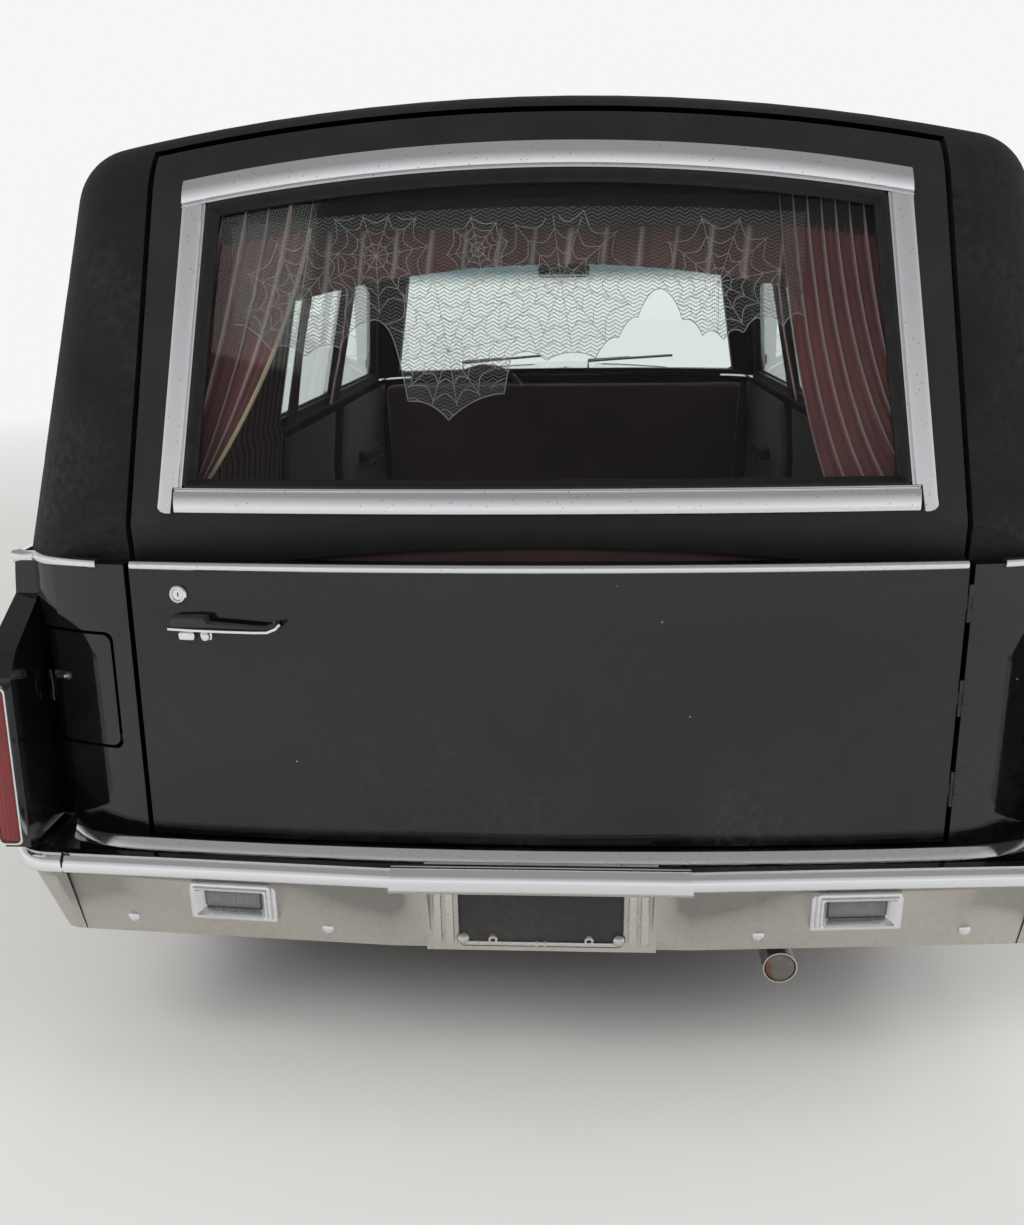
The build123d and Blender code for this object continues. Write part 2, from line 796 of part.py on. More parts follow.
with BuildPart() as lamp_pattern:
    add(rod((0, 0, 0), (0, 14, 0), LAMP_R + 14 - SEAT))
    add(rod((0, 0, 0), (0, 28, 0), LAMP_R))
    fillet(lamp_pattern.edges().sort_by(Axis.Y)[-1], 12)
with BuildPart() as headlamps:
    for x in LAMP_XS:
        for side in (-1, 1):
            add(lamp_pattern.part.moved(Location((side * x, 3070, LAMP_Z))))

with BuildPart() as grille:
    width, height = 2 * GRILLE_HALF - 2 * SEAT, GRILLE_TOP_Z - GRILLE_LOW_Z - 2 * SEAT
    middle = (GRILLE_LOW_Z + GRILLE_TOP_Z) / 2
    with BuildSketch(Plane.XZ.offset(-3090)):
        with Locations((0, middle)):
            Rectangle(width, height)
        with Locations((0, middle)):
            with GridLocations(width / GRILLE_COLS, height / GRILLE_ROWS, GRILLE_COLS, GRILLE_ROWS):
                Rectangle(
                    width / GRILLE_COLS - GRILLE_BAR, height / GRILLE_ROWS - GRILLE_BAR,
                    mode=Mode.SUBTRACT,
                )
    extrude(amount=-34)


def bumper_plan(table, grow, open_y):
    """Half a bumper's plan: centre flat, wing, round corner and side, as (X, Y) points."""
    (flat, end), (wing, wing_y), (side, side_y) = table
    sign = 1 if end < 0 else -1
    with BuildSketch(Plane.XY) as plan:
        with BuildLine():
            FilletPolyline(
                (0, end - sign * grow), (flat, end - sign * grow),
                (side + grow, wing_y - sign * grow), (side + grow, open_y),
                radius=BUMPER_BEND,
            )
            Polyline((side + grow, open_y), (0, open_y), (0, end - sign * grow))
        make_face()
        mirror(about=Plane.YZ)
    return plan.sketch


def bumper_body(table, grow, open_y, z_low, z_high, taper=0):
    """A bumper's filled shape between two heights, drawn in at the bottom."""
    with BuildPart() as made:
        with BuildSketch(Plane.XY.offset(z_high)):
            add(bumper_plan(table, grow, open_y))
        extrude(amount=z_low - z_high, taper=taper)
    return made.part


rear_inside = joined(
    bumper_body(REAR_BUMPER, -BUMPER_T, -2600, BUMPER_SHOULDER_Z, BUMPER_TOP_Z + 1),
    bumper_body(REAR_BUMPER, -BUMPER_STEP - BUMPER_T, -2600, BUMPER_LOW_Z - 30, BUMPER_SHOULDER_Z, 18),
)
with BuildPart() as bumper_bar:
    add(bumper_body(REAR_BUMPER, 0, REAR_BUMPER[2][1], BUMPER_SHOULDER_Z, BUMPER_TOP_Z))
    outer_rims = [
        edge for edge in bumper_bar.edges()
        if abs(edge.tangent_at(0.5).Z) < 0.1 and edge.center().Y < REAR_BUMPER[2][1] - 20
    ]
    fillet(outer_rims, BUMPER_EDGE_R)
with BuildPart() as bumper_rear:
    add(bumper_bar.part)
    add(bumper_body(REAR_BUMPER, -BUMPER_STEP, REAR_BUMPER[2][1], BUMPER_LOW_Z, BUMPER_SHOULDER_Z + 1, 18))
    add(rear_inside, mode=Mode.SUBTRACT)
    add(
        block((-RECESS_HALF, RECESS_HALF), (-3250, -3000), (0, BUMPER_SHOULDER_Z)),
        mode=Mode.SUBTRACT,
    )
    add(block((-RECESS_HALF - 8, RECESS_HALF + 8), (PLATE_Y, PLATE_Y + 6), (PLATE_LOW_Z - 12, BUMPER_TOP_Z - 14)))
    add(block((-RECESS_HALF - 8, RECESS_HALF + 8), (PLATE_Y - 32, PLATE_Y + 6), (BUMPER_TOP_Z - 22, BUMPER_TOP_Z - 14)))
    for side in (-1, 1):
        add(common(
            block(sorted((side * RECESS_HALF, side * (RECESS_HALF + 8))), (-3250, PLATE_Y + 6), (PLATE_LOW_Z - 12, BUMPER_SHOULDER_Z + 4)),
            bumper_body(REAR_BUMPER, -BUMPER_STEP, -2600, BUMPER_LOW_Z - 20, BUMPER_SHOULDER_Z + 1, 18),
        ))
    for x in (-PLATE_BOLTS / 2, PLATE_BOLTS / 2):
        for z in (PLATE_LOW_Z + 20, PLATE_LOW_Z + PLATE_H - 20):
            add(rod((x, PLATE_Y - 1, z), (x, PLATE_Y + 7, z), BOLT_R + 0.5), mode=Mode.SUBTRACT)
    for side in (-1, 1):
        add(
            block(sorted((side * (LAMP_IN - SEAT), side * (LAMP_OUT + SEAT))), (-3250, -3000), (BACKUP_LOW_Z - SEAT, BACKUP_TOP_Z + SEAT)),
            mode=Mode.SUBTRACT,
        )

with BuildPart() as backup_lamps:
    add(block((LAMP_IN, LAMP_OUT), (-3250, -3000), (BACKUP_LOW_Z, BACKUP_TOP_Z)))
    add(
        bumper_body(REAR_BUMPER, 5 - BUMPER_STEP, REAR_BUMPER[2][1], BUMPER_LOW_Z, BUMPER_SHOULDER_Z, 18),
        mode=Mode.INTERSECT,
    )
    add(rear_inside, mode=Mode.SUBTRACT)
    mirror(about=Plane.YZ)

with BuildPart() as plate:
    with BuildSketch(Plane.XZ.offset(-PLATE_Y)) as sheet:
        with Locations((0, PLATE_LOW_Z + PLATE_H / 2)):
            RectangleRounded(PLATE_W, PLATE_H, 10)
        with Locations((0, PLATE_LOW_Z + PLATE_H - 20)):
            with GridLocations(PLATE_BOLTS, 1, 2, 1):
                Circle(BOLT_R, mode=Mode.SUBTRACT)
        with Locations((0, PLATE_LOW_Z + 20)):
            with GridLocations(PLATE_BOLTS, 1, 2, 1):
                Circle(BOLT_R, mode=Mode.SUBTRACT)
    extrude(amount=3)

front_inside = bumper_body(FRONT_BUMPER, -BUMPER_T, 2600, FRONT_BUMPER_LOW_Z - 1, FRONT_BUMPER_TOP_Z + 1)
with BuildPart() as bumper_front:
    add(bumper_body(FRONT_BUMPER, 0, FRONT_BUMPER[2][1], FRONT_BUMPER_LOW_Z, FRONT_BUMPER_TOP_Z))
    add(front_inside, mode=Mode.SUBTRACT)

with BuildPart() as tail_lamps:
    add(side_prism(
        [(FIN_END_Y - 9, 545), (FIN_END_Y + 60, 545), (FIN_END_Y + 60, 828), (FIN_END_Y + 15, 828)],
        FIN_X + 8, 984,
    ))
    add(lower_outer, mode=Mode.SUBTRACT)
    mirror(about=Plane.YZ)

# Landau irons on the closed upper quarters
irons_layer = cut(greenhouse(-IRON_T), greenhouse())
with BuildPart() as landau_irons:
    with BuildSketch(Plane.YZ.offset(700)):
        with BuildLine(mode=Mode.PRIVATE) as bow:
            Spline(*IRON_LINE, tangents=[(0, -1), (0, -1)])
        trace(bow.line, IRON_W)
        with Locations(IRON_LINE[2]):
            Ellipse(95, 44)
        with Locations(IRON_LINE[0], IRON_LINE[-1]):
            Circle(IRON_W * 0.85)
    extrude(amount=400)
    add(irons_layer, mode=Mode.INTERSECT)
    mirror(about=Plane.YZ)

# Glass
glass_layer = cut(
    greenhouse(GLASS_IN, GLASS_IN, GLASS_IN), greenhouse(GLASS_IN + GLASS_T, GLASS_IN + GLASS_T, 0)
)
with BuildPart() as windshield:
    add(glass_layer)
    add(shield_prism(-SEAT / 2), mode=Mode.INTERSECT)
with BuildPart() as tail_glass:
    add(glass_layer)
    add(tail_prism(*tail_window, grow=-SEAT / 2), mode=Mode.INTERSECT)
with BuildPart() as glass_front_right:
    add(glass_layer)
    add(side_prism(FRONT_WINDOW, 780, 1100, -SEAT / 2), mode=Mode.INTERSECT)
with BuildPart() as glass_front_left:
    add(left_of(glass_front_right.part))
with BuildPart() as glass_side_right:
    add(glass_layer)
    add(side_prism(SIDE_WINDOW, 780, 1100, -SEAT / 2), mode=Mode.INTERSECT)
with BuildPart() as glass_side_left:
    add(left_of(glass_side_right.part))

# Doors
shell_all = joined(lower_shell, green_shell)
with BuildPart() as door_front_right:
    add(shell_all)
    add(side_prism(FRONT_DOOR, 780, 1100), mode=Mode.INTERSECT)
    add(side_prism(FRONT_WINDOW, 780, 1100), mode=Mode.SUBTRACT)
    for outer, inner in side_hinges["front"]:
        add(inner)
with BuildPart() as door_side_right:
    add(shell_all)
    add(side_prism(SIDE_DOOR, 780, 1100), mode=Mode.INTERSECT)
    add(side_prism(SIDE_WINDOW, 780, 1100), mode=Mode.SUBTRACT)
    for outer, inner in side_hinges["side"]:
        add(inner)
with BuildPart() as door_tail:
    add(shell_all)
    add(tail_slab, mode=Mode.INTERSECT)
    add(tail_pane, mode=Mode.SUBTRACT)
    for outer, inner in tail_hinges:
        add(inner)

with BuildPart() as door_front_left:
    add(left_of(door_front_right.part))
with BuildPart() as door_side_left:
    add(left_of(door_side_right.part))

with BuildPart() as fuel_flap:
    add(flap_face)
    add(flap_prism(), mode=Mode.INTERSECT)
    add(flap_hinge[1])

with BuildPart() as tail_frame:
    add(greenhouse(0, -FRAME_PROUD))
    add(greenhouse(), mode=Mode.SUBTRACT)
    add(tail_band, mode=Mode.INTERSECT)
    add(tail_pane, mode=Mode.SUBTRACT)

with BuildPart() as tail_handle:
    add(block((-660, -445), (-3104, -3084), (904, 926)))
    add(block((-652, -618), (-3088, -3040), (900, 930)))
    add(block((-474, -452), (-3088, -3040), (904, 926)))
    add(rod((-647, -3074, 972), (-647, -3030, 972), 17))
    add(lower_outer, mode=Mode.SUBTRACT)

# Floor, deck and cabin
with BuildPart() as floor:
    add(block((-1100, 1100), (-1130, FIREWALL_Y - FIREWALL_T - SEAT), (FLOOR_Z - FLOOR_T, FLOOR_Z)))
    add(block((-1100, 1100), (-3300, -2310), (455.3, 470)))
    add(cut(lower_body(DOOR_WALL + SEAT, low_z=100), tail_space(TAIL_WALL + SEAT)), mode=Mode.INTERSECT)
    add(block((-190, 190), (200, FIREWALL_Y - FIREWALL_T - SEAT), (FLOOR_Z - FLOOR_T, 460)))
    add(block((-170, 170), (220, FIREWALL_Y), (200, 440)), mode=Mode.SUBTRACT)

with BuildPart() as load_deck:
    add(block((-1100, 1100), (-3300, -1320), (DECK_Z - 20, DECK_Z)))
    add(cut(lower_body(DOOR_WALL + SEAT, low_z=100), tail_space(TAIL_WALL + 6)), mode=Mode.INTERSECT)
    add(block((-850, 850), (-1320, -430), (DECK_Z - 20, DECK_Z)))
    add(block((-850, 850), (-450, -430), (FLOOR_Z + SEAT, DECK_Z)))
    for y in BIER_PLATE_YS:
        for x in (-BIER_BOLTS[0] / 2, BIER_BOLTS[0] / 2):
            for step in (-BIER_BOLTS[1] / 2, BIER_BOLTS[1] / 2):
                add(
                    rod((x, y + step, DECK_Z - 30), (x, y + step, DECK_Z + 10), BIER_BOLT_R),
                    mode=Mode.SUBTRACT,
                )
    for side in (-1, 1):
        add(
            rod(
                (side * (HOUSING_X - SEAT), REAR_AXLE_Y, TYRE_R), (side * 1100, REAR_AXLE_Y, TYRE_R),
                REAR_ARCH_R + 12 + SEAT,
            ),
            mode=Mode.SUBTRACT,
        )

with BuildPart() as casket_rails:
    with Locations((0, -1775, DECK_Z + SEAT + 8)):
        with GridLocations(600, 1, 2, 1):
            Box(40, 2350, 16)
    with Locations((0, -1775, DECK_Z + SEAT + 16)):
        with GridLocations(1, 540, 1, 5):
            Cylinder(14, 560 - 2 * SEAT, rotation=(0, 90, 0))

with BuildPart() as dash:
    add(side_prism([(1239.7, 620), (1239.7, 990), (980, 990), (900, 940), (940, 760), (1060, 620)], -890, 890))

with BuildPart() as steering_wheel:
    with BuildSketch(Plane(origin=(-380, 700, 930), x_dir=(1, 0, 0), z_dir=(0, 0.88, -0.47))) as hub:
        Circle(45)
    extrude(amount=30)
    add(rod((-380, 700, 930), (-380, 960, 790), 18))
    with BuildSketch(Plane(origin=(-380, 700, 930), x_dir=(1, 0, 0), z_dir=(0, 0.88, -0.47)).offset(8)):
        Rectangle(390, 26)
    extrude(amount=10)
    rim_plane = Plane(origin=(-380, 700, 930), x_dir=(1, 0, 0), z_dir=(0, 0.88, -0.47)).offset(10)
    with Locations(rim_plane):
        Torus(195, 13)
    add(dash.part, mode=Mode.SUBTRACT)

with BuildPart() as seat:
    add(side_prism(
        [(-20, 560), (60, 480), (600, 480), (600, 600), (560, 630), (130, 590), (20, 1130), (-110, 1130), (-110, 1100)],
        -780, 780, corner=25,
    ))
    add(block((-700, 700), (60, 560), (FLOOR_Z + SEAT, 490)))
    add(block((-200, 200), (100, 700), (0, 470)), mode=Mode.SUBTRACT)

# Frame and running gear
RAIL_SIDE = [
    (-3050, 345), (-2250, 345), (-2080, 440), (-1460, 440), (-1200, 220), (1520, 220),
    (1520, 329.7), (-1140, 329.7), (-1400, 550), (-2120, 550), (-2300, 455), (-3050, 455),
]
RAIL_FRONT = [(1440, 220), (1560, 220), (1760, 330), (3000, 330), (3000, 430), (1700, 430), (1540, 329.7), (1440, 329.7)]
with BuildPart() as frame:
    add(side_prism(RAIL_SIDE, 400, 460))
    add(side_prism(RAIL_FRONT, 345, 405))
    add(block(
        (ARM_ROOT_X - SEAT - 20, ARM_ROOT_X - SEAT),
        (FRONT_AXLE_Y - 150, FRONT_AXLE_Y + 150), (ARM_LOW_Z, ARM_HIGH_Z + ARM_T),
    ))
    mirror(about=Plane.YZ)

with BuildPart() as crossmembers:
    for y, z, height in ((-3000, 400, 70), (-2260, 400, 70), (-1150, 262, 134), (-100, 262, 134)):
        with Locations((0, y, z)):
            Box(800, 60, height)
    for y, z in ((1600, 270 - SEAT), (2500, 380), (2960, 380)):
        with Locations((0, y, z)):
            Box(690, 60, 60)
    for side in (-1, 1):
        add(common(
            block(sorted((side * 405, side * 455)), (-3200, -3050), (380, 425)), rear_inside,
        ))
        add(common(
            block(sorted((side * 350, side * 400)), (3000, 3200), (395, 425)), front_inside,
        ))
    add(rod((0, 300, SHAFT_Z), (0, -1300, SHAFT_Z), 48), mode=Mode.SUBTRACT)
    add(rod((PIPE_X, 1500, PIPE_Z), (PIPE_X, -1100, PIPE_Z), PIPE_R + 7), mode=Mode.SUBTRACT)
    add(rod((PIPE_X, -1100, PIPE_Z), (PIPE_X, -1190, PIPE_Z), PIPE_R + SEAT), mode=Mode.SUBTRACT)

with BuildPart() as engine:
    add(block((-300, 300), (1560, 2260), (440, 900)))
    add(block((-200, 200), (1560, 2260), (300, 450)))
    add(rod((0, 240, SHAFT_Z), (0, 1560, SHAFT_Z), GEARBOX_R))

with BuildPart() as radiator:
    add(block((-400, 400), (2780, 2850), (430 + SEAT, 860)))

with BuildPart() as axle_rear:
    add(rod((-690, REAR_AXLE_Y, TYRE_R), (690, REAR_AXLE_Y, TYRE_R), 42))
    with Locations((0, REAR_AXLE_Y, TYRE_R)):
        Sphere(130)
    for side in (-1, 1):
        add(rod((side * 690, REAR_AXLE_Y, TYRE_R), (side * SPINDLE_END, REAR_AXLE_Y, TYRE_R), HUB_R))
    add(rod((0, -1250, SHAFT_Z), (0, REAR_AXLE_Y, TYRE_R), 36))
    add(rod((0, 230, SHAFT_Z), (0, -1262, SHAFT_Z), 36))

with BuildPart() as springs:
    with BuildSketch(Plane.YZ.offset(510)):
        with BuildLine():
            ThreePointArc((-1120, 400), (REAR_AXLE_Y, 322.7), (-2420, 400))
            Line((-2420, 400), (-2420, 378))
            ThreePointArc((-2420, 378), (REAR_AXLE_Y, 290), (-1120, 378))
            Line((-1120, 378), (-1120, 400))
        make_face()
    extrude(amount=60)
    add(block((460, 570), (-1150, -1090), (360, 420)))
    add(block((460, 570), (-2450, -2390), (360, 420)))
    mirror(about=Plane.YZ)

with BuildPart() as suspension_front:
    for z in (ARM_LOW_Z, ARM_HIGH_Z):
        with BuildSketch(Plane.XY.offset(z)):
            with BuildLine():
                Polyline(
                    (ARM_ROOT_X, FRONT_AXLE_Y - 150), (KINGPIN_X, FRONT_AXLE_Y - 22),
                    (KINGPIN_X, FRONT_AXLE_Y + 22), (ARM_ROOT_X, FRONT_AXLE_Y + 150), close=True,
                )
            make_face()
            with Locations((KINGPIN_X, FRONT_AXLE_Y)):
                Circle(25)
                Circle(12 + RUN, mode=Mode.SUBTRACT)
            with Locations((480, FRONT_AXLE_Y)):
                Circle(70, mode=Mode.SUBTRACT)
        extrude(amount=ARM_T)
    mirror(about=Plane.YZ)

with BuildPart() as knuckle_right:
    add(rod((KINGPIN_X, FRONT_AXLE_Y, ARM_LOW_Z + ARM_T + 2), (KINGPIN_X, FRONT_AXLE_Y, ARM_HIGH_Z - 2), 24))
    add(rod((KINGPIN_X, FRONT_AXLE_Y, ARM_LOW_Z), (KINGPIN_X, FRONT_AXLE_Y, ARM_HIGH_Z + ARM_T), 12))
    add(rod((KINGPIN_X, FRONT_AXLE_Y, TYRE_R), (KINGPIN_X + 40, FRONT_AXLE_Y, TYRE_R), 42))
    add(rod((KINGPIN_X, FRONT_AXLE_Y, TYRE_R), (SPINDLE_END, FRONT_AXLE_Y, TYRE_R), HUB_R))
with BuildPart() as knuckle_left:
    add(left_of(knuckle_right.part))

with BuildPart() as exhaust:
    with BuildLine() as pipe:
        FilletPolyline(
            (PIPE_X, 1480, PIPE_Z), (PIPE_X, -1250, PIPE_Z), (PIPE_X, -1560, 480),
            (PIPE_X, -1980, 480), (PIPE_X, -2300, 270), (PIPE_X, -2700, 270), (450, -2950, 270),
            (450, -3110, 270),
            radius=70,
        )
    with BuildSketch(Plane(origin=pipe.wires()[0] @ 0, z_dir=pipe.wires()[0] % 0)):
        Circle(PIPE_R)
    sweep(path=pipe.wires()[0])
    add(rod((PIPE_X, 850, PIPE_Z), (PIPE_X, 200, PIPE_Z), 75))

with BuildPart() as fuel_tank:
    add(block((-380, 180), (-2970 + SEAT, -2330), (300, 440)))
    fillet(fuel_tank.edges().filter_by(Axis.Z), 40)

# Wheels
with BuildPart() as rim_pattern:
    with BuildSketch(Plane.XY) as section:
        with BuildLine():
            Polyline(
                (-RIM_W / 2, RIM_R), (RIM_W / 2, RIM_R), (RIM_W / 2, RIM_R - 14), (50, RIM_R - 14),
                (50, 150), (30, 110), (56, 60), (56, HUB_R + RUN), (-24, HUB_R + RUN), (-24, 60),
                (14, 80), (14, 110), (34, 160), (34, RIM_R - 14), (-RIM_W / 2, RIM_R - 14), close=True,
            )
        make_face()
    revolve(axis=Axis.X)

with BuildPart() as tyre_pattern:
    half = TYRE_W / 2
    with BuildSketch(Plane.XY) as section:
        with BuildLine():
            Polyline((-RIM_W / 2 + 6, RIM_R + SEAT / 2), (RIM_W / 2 - 6, RIM_R + SEAT / 2))
            ThreePointArc((RIM_W / 2 - 6, RIM_R + SEAT / 2), (half, 268), (half - 24, TYRE_R - 10))
            ThreePointArc((half - 24, TYRE_R - 10), (0, TYRE_R), (-half + 24, TYRE_R - 10))
            ThreePointArc((-half + 24, TYRE_R - 10), (-half, 268), (-RIM_W / 2 + 6, RIM_R + SEAT / 2))
        make_face()
    revolve(axis=Axis.X)

wheel_places = {
    "front_right": (WHEEL_X, FRONT_AXLE_Y), "front_left": (-WHEEL_X, FRONT_AXLE_Y),
    "rear_right": (WHEEL_X, REAR_AXLE_Y), "rear_left": (-WHEEL_X, REAR_AXLE_Y),
}
for place, (x, y) in wheel_places.items():
    for kind, pattern in (("rim", rim_pattern), ("tyre", tyre_pattern)):
        turn = 0 if x > 0 else 180
        with BuildPart() as copy:
            add(pattern.part.moved(Location((x, y, TYRE_R), (0, 0, turn))))
        copy.part.label = f"{kind}_{place}"
        export_step(copy.part, f"parts/{kind}_{place}.step")

pieces = {
    "body_lower": body_lower, "body_upper": body_upper, "fender_left": fender_left,
    "fender_right": fender_right, "hood": hood, "nose": nose, "headlamps": headlamps,
    "grille": grille, "bumper_rear": bumper_rear, "backup_lamps": backup_lamps, "plate": plate,
    "bumper_front": bumper_front, "tail_lamps": tail_lamps, "landau_irons": landau_irons,
    "windshield": windshield, "tail_glass": tail_glass, "glass_front_right": glass_front_right,
    "glass_front_left": glass_front_left, "glass_side_right": glass_side_right,
    "glass_side_left": glass_side_left, "door_front_right": door_front_right,
    "door_front_left": door_front_left, "door_side_right": door_side_right,
    "door_side_left": door_side_left, "door_tail": door_tail, "fuel_flap": fuel_flap,
    "tail_frame": tail_frame, "tail_handle": tail_handle, "floor": floor, "load_deck": load_deck,
    "casket_rails": casket_rails, "dash": dash, "steering_wheel": steering_wheel, "seat": seat,
    "frame": frame, "crossmembers": crossmembers, "engine": engine, "radiator": radiator, "axle_rear": axle_rear,
    "springs": springs, "suspension_front": suspension_front, "knuckle_right": knuckle_right,
    "knuckle_left": knuckle_left, "exhaust": exhaust, "fuel_tank": fuel_tank,
}
for name, piece in pieces.items():
    piece.part.label = name
    export_step(piece.part, f"parts/{name}.step")
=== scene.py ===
"""Dresses the hearse: finishes on its panels, trim, glass, drapes, wheels and cabin."""

from __future__ import annotations

import logging
import math
import random
from collections.abc import Callable, Iterable, Sequence
from dataclasses import dataclass
from enum import Enum

import bmesh
import bpy
from mathutils import Matrix, Vector
from mathutils.bvhtree import BVHTree


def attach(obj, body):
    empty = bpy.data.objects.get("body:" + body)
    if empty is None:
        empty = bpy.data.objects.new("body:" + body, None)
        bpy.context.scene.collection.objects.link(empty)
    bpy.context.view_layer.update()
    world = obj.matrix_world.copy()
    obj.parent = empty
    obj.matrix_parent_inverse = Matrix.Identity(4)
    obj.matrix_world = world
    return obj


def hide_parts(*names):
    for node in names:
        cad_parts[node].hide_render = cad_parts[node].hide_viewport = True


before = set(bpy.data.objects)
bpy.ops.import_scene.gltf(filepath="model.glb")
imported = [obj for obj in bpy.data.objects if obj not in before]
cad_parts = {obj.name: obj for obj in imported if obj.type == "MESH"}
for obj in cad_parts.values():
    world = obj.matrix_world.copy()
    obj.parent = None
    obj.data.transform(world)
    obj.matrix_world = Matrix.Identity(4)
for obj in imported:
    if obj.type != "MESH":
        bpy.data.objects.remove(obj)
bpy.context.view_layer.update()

LOG = logging.getLogger("hearse")
Point = tuple[float, float, float]

BELT = 1.030
REAR_AXLE = -1.770
FRONT_AXLE = 2.230
WHEEL_X = 0.800
TYRE_R = 0.365
GLASS_X = 0.984
WAIST_Z = 0.990
GLASS_LEAN = 0.2154
TAIL_CROWN_R = 7.700
HALF_WIDTH = 0.985
COWL_Y = 1.150
FENDER_RUN = 1.970


class Body(str, Enum):
    """The moving bodies that pieces ride on."""

    MAIN = "body"
    TAIL = "tail_door"
    HOOD = "hood_lid"
    FUEL = "fuel_door"


class Graph:
    """A node tree with short calls for adding nodes."""

    def __init__(self, tree: bpy.types.NodeTree) -> None:
        """Keeps the tree.

        Args:
            tree: The material's or group's node tree.
        """
        self.tree = tree

    def node(self, kind: str, inputs: dict | None = None, **settings: object) -> bpy.types.Node:
        """Adds one node.

        Args:
            kind: The node's type, without its ShaderNode prefix.
            inputs: Sockets to values or to other sockets.
            settings: The node's own settings.

        Returns:
            The new node.
        """
        made = self.tree.nodes.new(f"ShaderNode{kind}")
        for key, value in settings.items():
            setattr(made, key, value)
        for key, value in (inputs or {}).items():
            if isinstance(value, bpy.types.NodeSocket):
                self.tree.links.new(value, made.inputs[key])
            else:
                made.inputs[key].default_value = value
        return made

    def noise(self, where: bpy.types.NodeSocket, scale: float, detail: float = 3.0) -> bpy.types.NodeSocket:
        """A noise value at a scale.

        Args:
            where: The coordinates.
            scale: Cycles in a metre.
            detail: Octaves.

        Returns:
            The value's socket.
        """
        return self.node("TexNoise", {"Vector": where, "Scale": scale, "Detail": detail}).outputs["Fac"]

    def ramp(
        self, value: bpy.types.NodeSocket, low: float, high: float, out: tuple[float, float] = (0.0, 1.0),
    ) -> bpy.types.NodeSocket:
        """Maps a range of a value, held at its ends.

        Args:
            value: What is mapped.
            low: Where the first output starts.
            high: Where the second output is reached.
            out: The two outputs.

        Returns:
            The mapped value's socket.
        """
        return self.node("MapRange", {
            "Value": value, "From Min": low, "From Max": high, "To Min": out[0], "To Max": out[1],
        }).outputs["Result"]

    def math(self, how: str, a: object, b: object = 0.0) -> bpy.types.NodeSocket:
        """One sum.

        Args:
            how: The Math node's operation.
            a: First value or socket.
            b: Second value or socket.

        Returns:
            The result's socket.
        """
        return self.node("Math", {0: a, 1: b}, operation=how).outputs[0]

    def blend(self, factor: object, a: object, b: object) -> bpy.types.NodeSocket:
        """Mixes two colours.

        Args:
            factor: Value or socket from 0 to 1.
            a: Colour at 0.
            b: Colour at 1.

        Returns:
            The mixed colour's socket.
        """
        made = self.node("Mix", {0: factor}, data_type="RGBA")
        for index, value in ((6, a), (7, b)):
            if isinstance(value, bpy.types.NodeSocket):
                self.tree.links.new(value, made.inputs[index])
            else:
                made.inputs[index].default_value = (*value, 1.0)
        return made.outputs[2]


def shared_group(
    name: str, inputs: dict[str, float], outputs: Sequence[str],
    fill: Callable[[Graph, bpy.types.Node], dict],
) -> bpy.types.NodeTree:
    """Makes a node group once, or finds it.

    Args:
        name: The group's name.
        inputs: Named value inputs with their defaults; Vector comes first by itself.
        outputs: Named value outputs.
        fill: Builds the inside and returns the socket for each output.

    Returns:
        The group's tree.
    """
    found = bpy.data.node_groups.get(name)
    if found:
        return found
    tree = bpy.data.node_groups.new(name, "ShaderNodeTree")
    tree.interface.new_socket("Vector", in_out="INPUT", socket_type="NodeSocketVector")
    for key, default in inputs.items():
        socket = tree.interface.new_socket(key, in_out="INPUT", socket_type="NodeSocketFloat")
        socket.default_value = default
    for key in outputs:
        tree.interface.new_socket(key, in_out="OUTPUT", socket_type="NodeSocketFloat")
    start = tree.nodes.new("NodeGroupInput")
    end = tree.nodes.new("NodeGroupOutput")
    for key, socket in fill(Graph(tree), start).items():
        tree.links.new(socket, end.inputs[key])
    return tree


def grime_group() -> bpy.types.NodeTree:
    """Dust that lies thicker low down and in patches."""

    def fill(graph: Graph, start: bpy.types.Node) -> dict:
        """The dust's nodes."""
        where = start.outputs["Vector"]
        height = graph.node("SeparateXYZ", {0: where}).outputs["Z"]
        low = graph.node("MapRange", {
            "Value": height, "From Min": start.outputs["Low"], "From Max": start.outputs["High"],
            "To Min": 1.0, "To Max": 0.12,
        }).outputs["Result"]
        patches = graph.ramp(graph.noise(where, 5.0, 5.0), 0.35, 0.72)
        fine = graph.ramp(graph.noise(where, 70.0, 4.0), 0.3, 0.75)
        mask = graph.math("MULTIPLY", low, graph.math("MULTIPLY", patches, fine))
        return {"Mask": graph.math("MULTIPLY", mask, start.outputs["Amount"])}

    return shared_group("grime", {"Low": 0.3, "High": 0.9, "Amount": 1.0}, ["Mask"], fill)


def grain_group() -> bpy.types.NodeTree:
    """A leather-like grain of small rounded cells."""

    def fill(graph: Graph, start: bpy.types.Node) -> dict:
        """The grain's nodes."""
        where = start.outputs["Vector"]
        warp = graph.node("TexNoise", {"Vector": where, "Scale": start.outputs["Scale"]})
        shift = graph.node("VectorMath", {0: warp.outputs["Color"], "Scale": 0.0012}, operation="SCALE")
        moved = graph.node("VectorMath", {0: where, 1: shift.outputs[0]}, operation="ADD").outputs[0]
        cells = graph.node(
            "TexVoronoi", {"Vector": moved, "Scale": start.outputs["Scale"]}, feature="DISTANCE_TO_EDGE"
        ).outputs["Distance"]
        height = graph.ramp(cells, 0.0, 0.22)
        return {"Height": height, "Tone": graph.ramp(graph.noise(where, 9.0, 5.0), 0.3, 0.7)}

    return shared_group("grain", {"Scale": 500.0}, ["Height", "Tone"], fill)


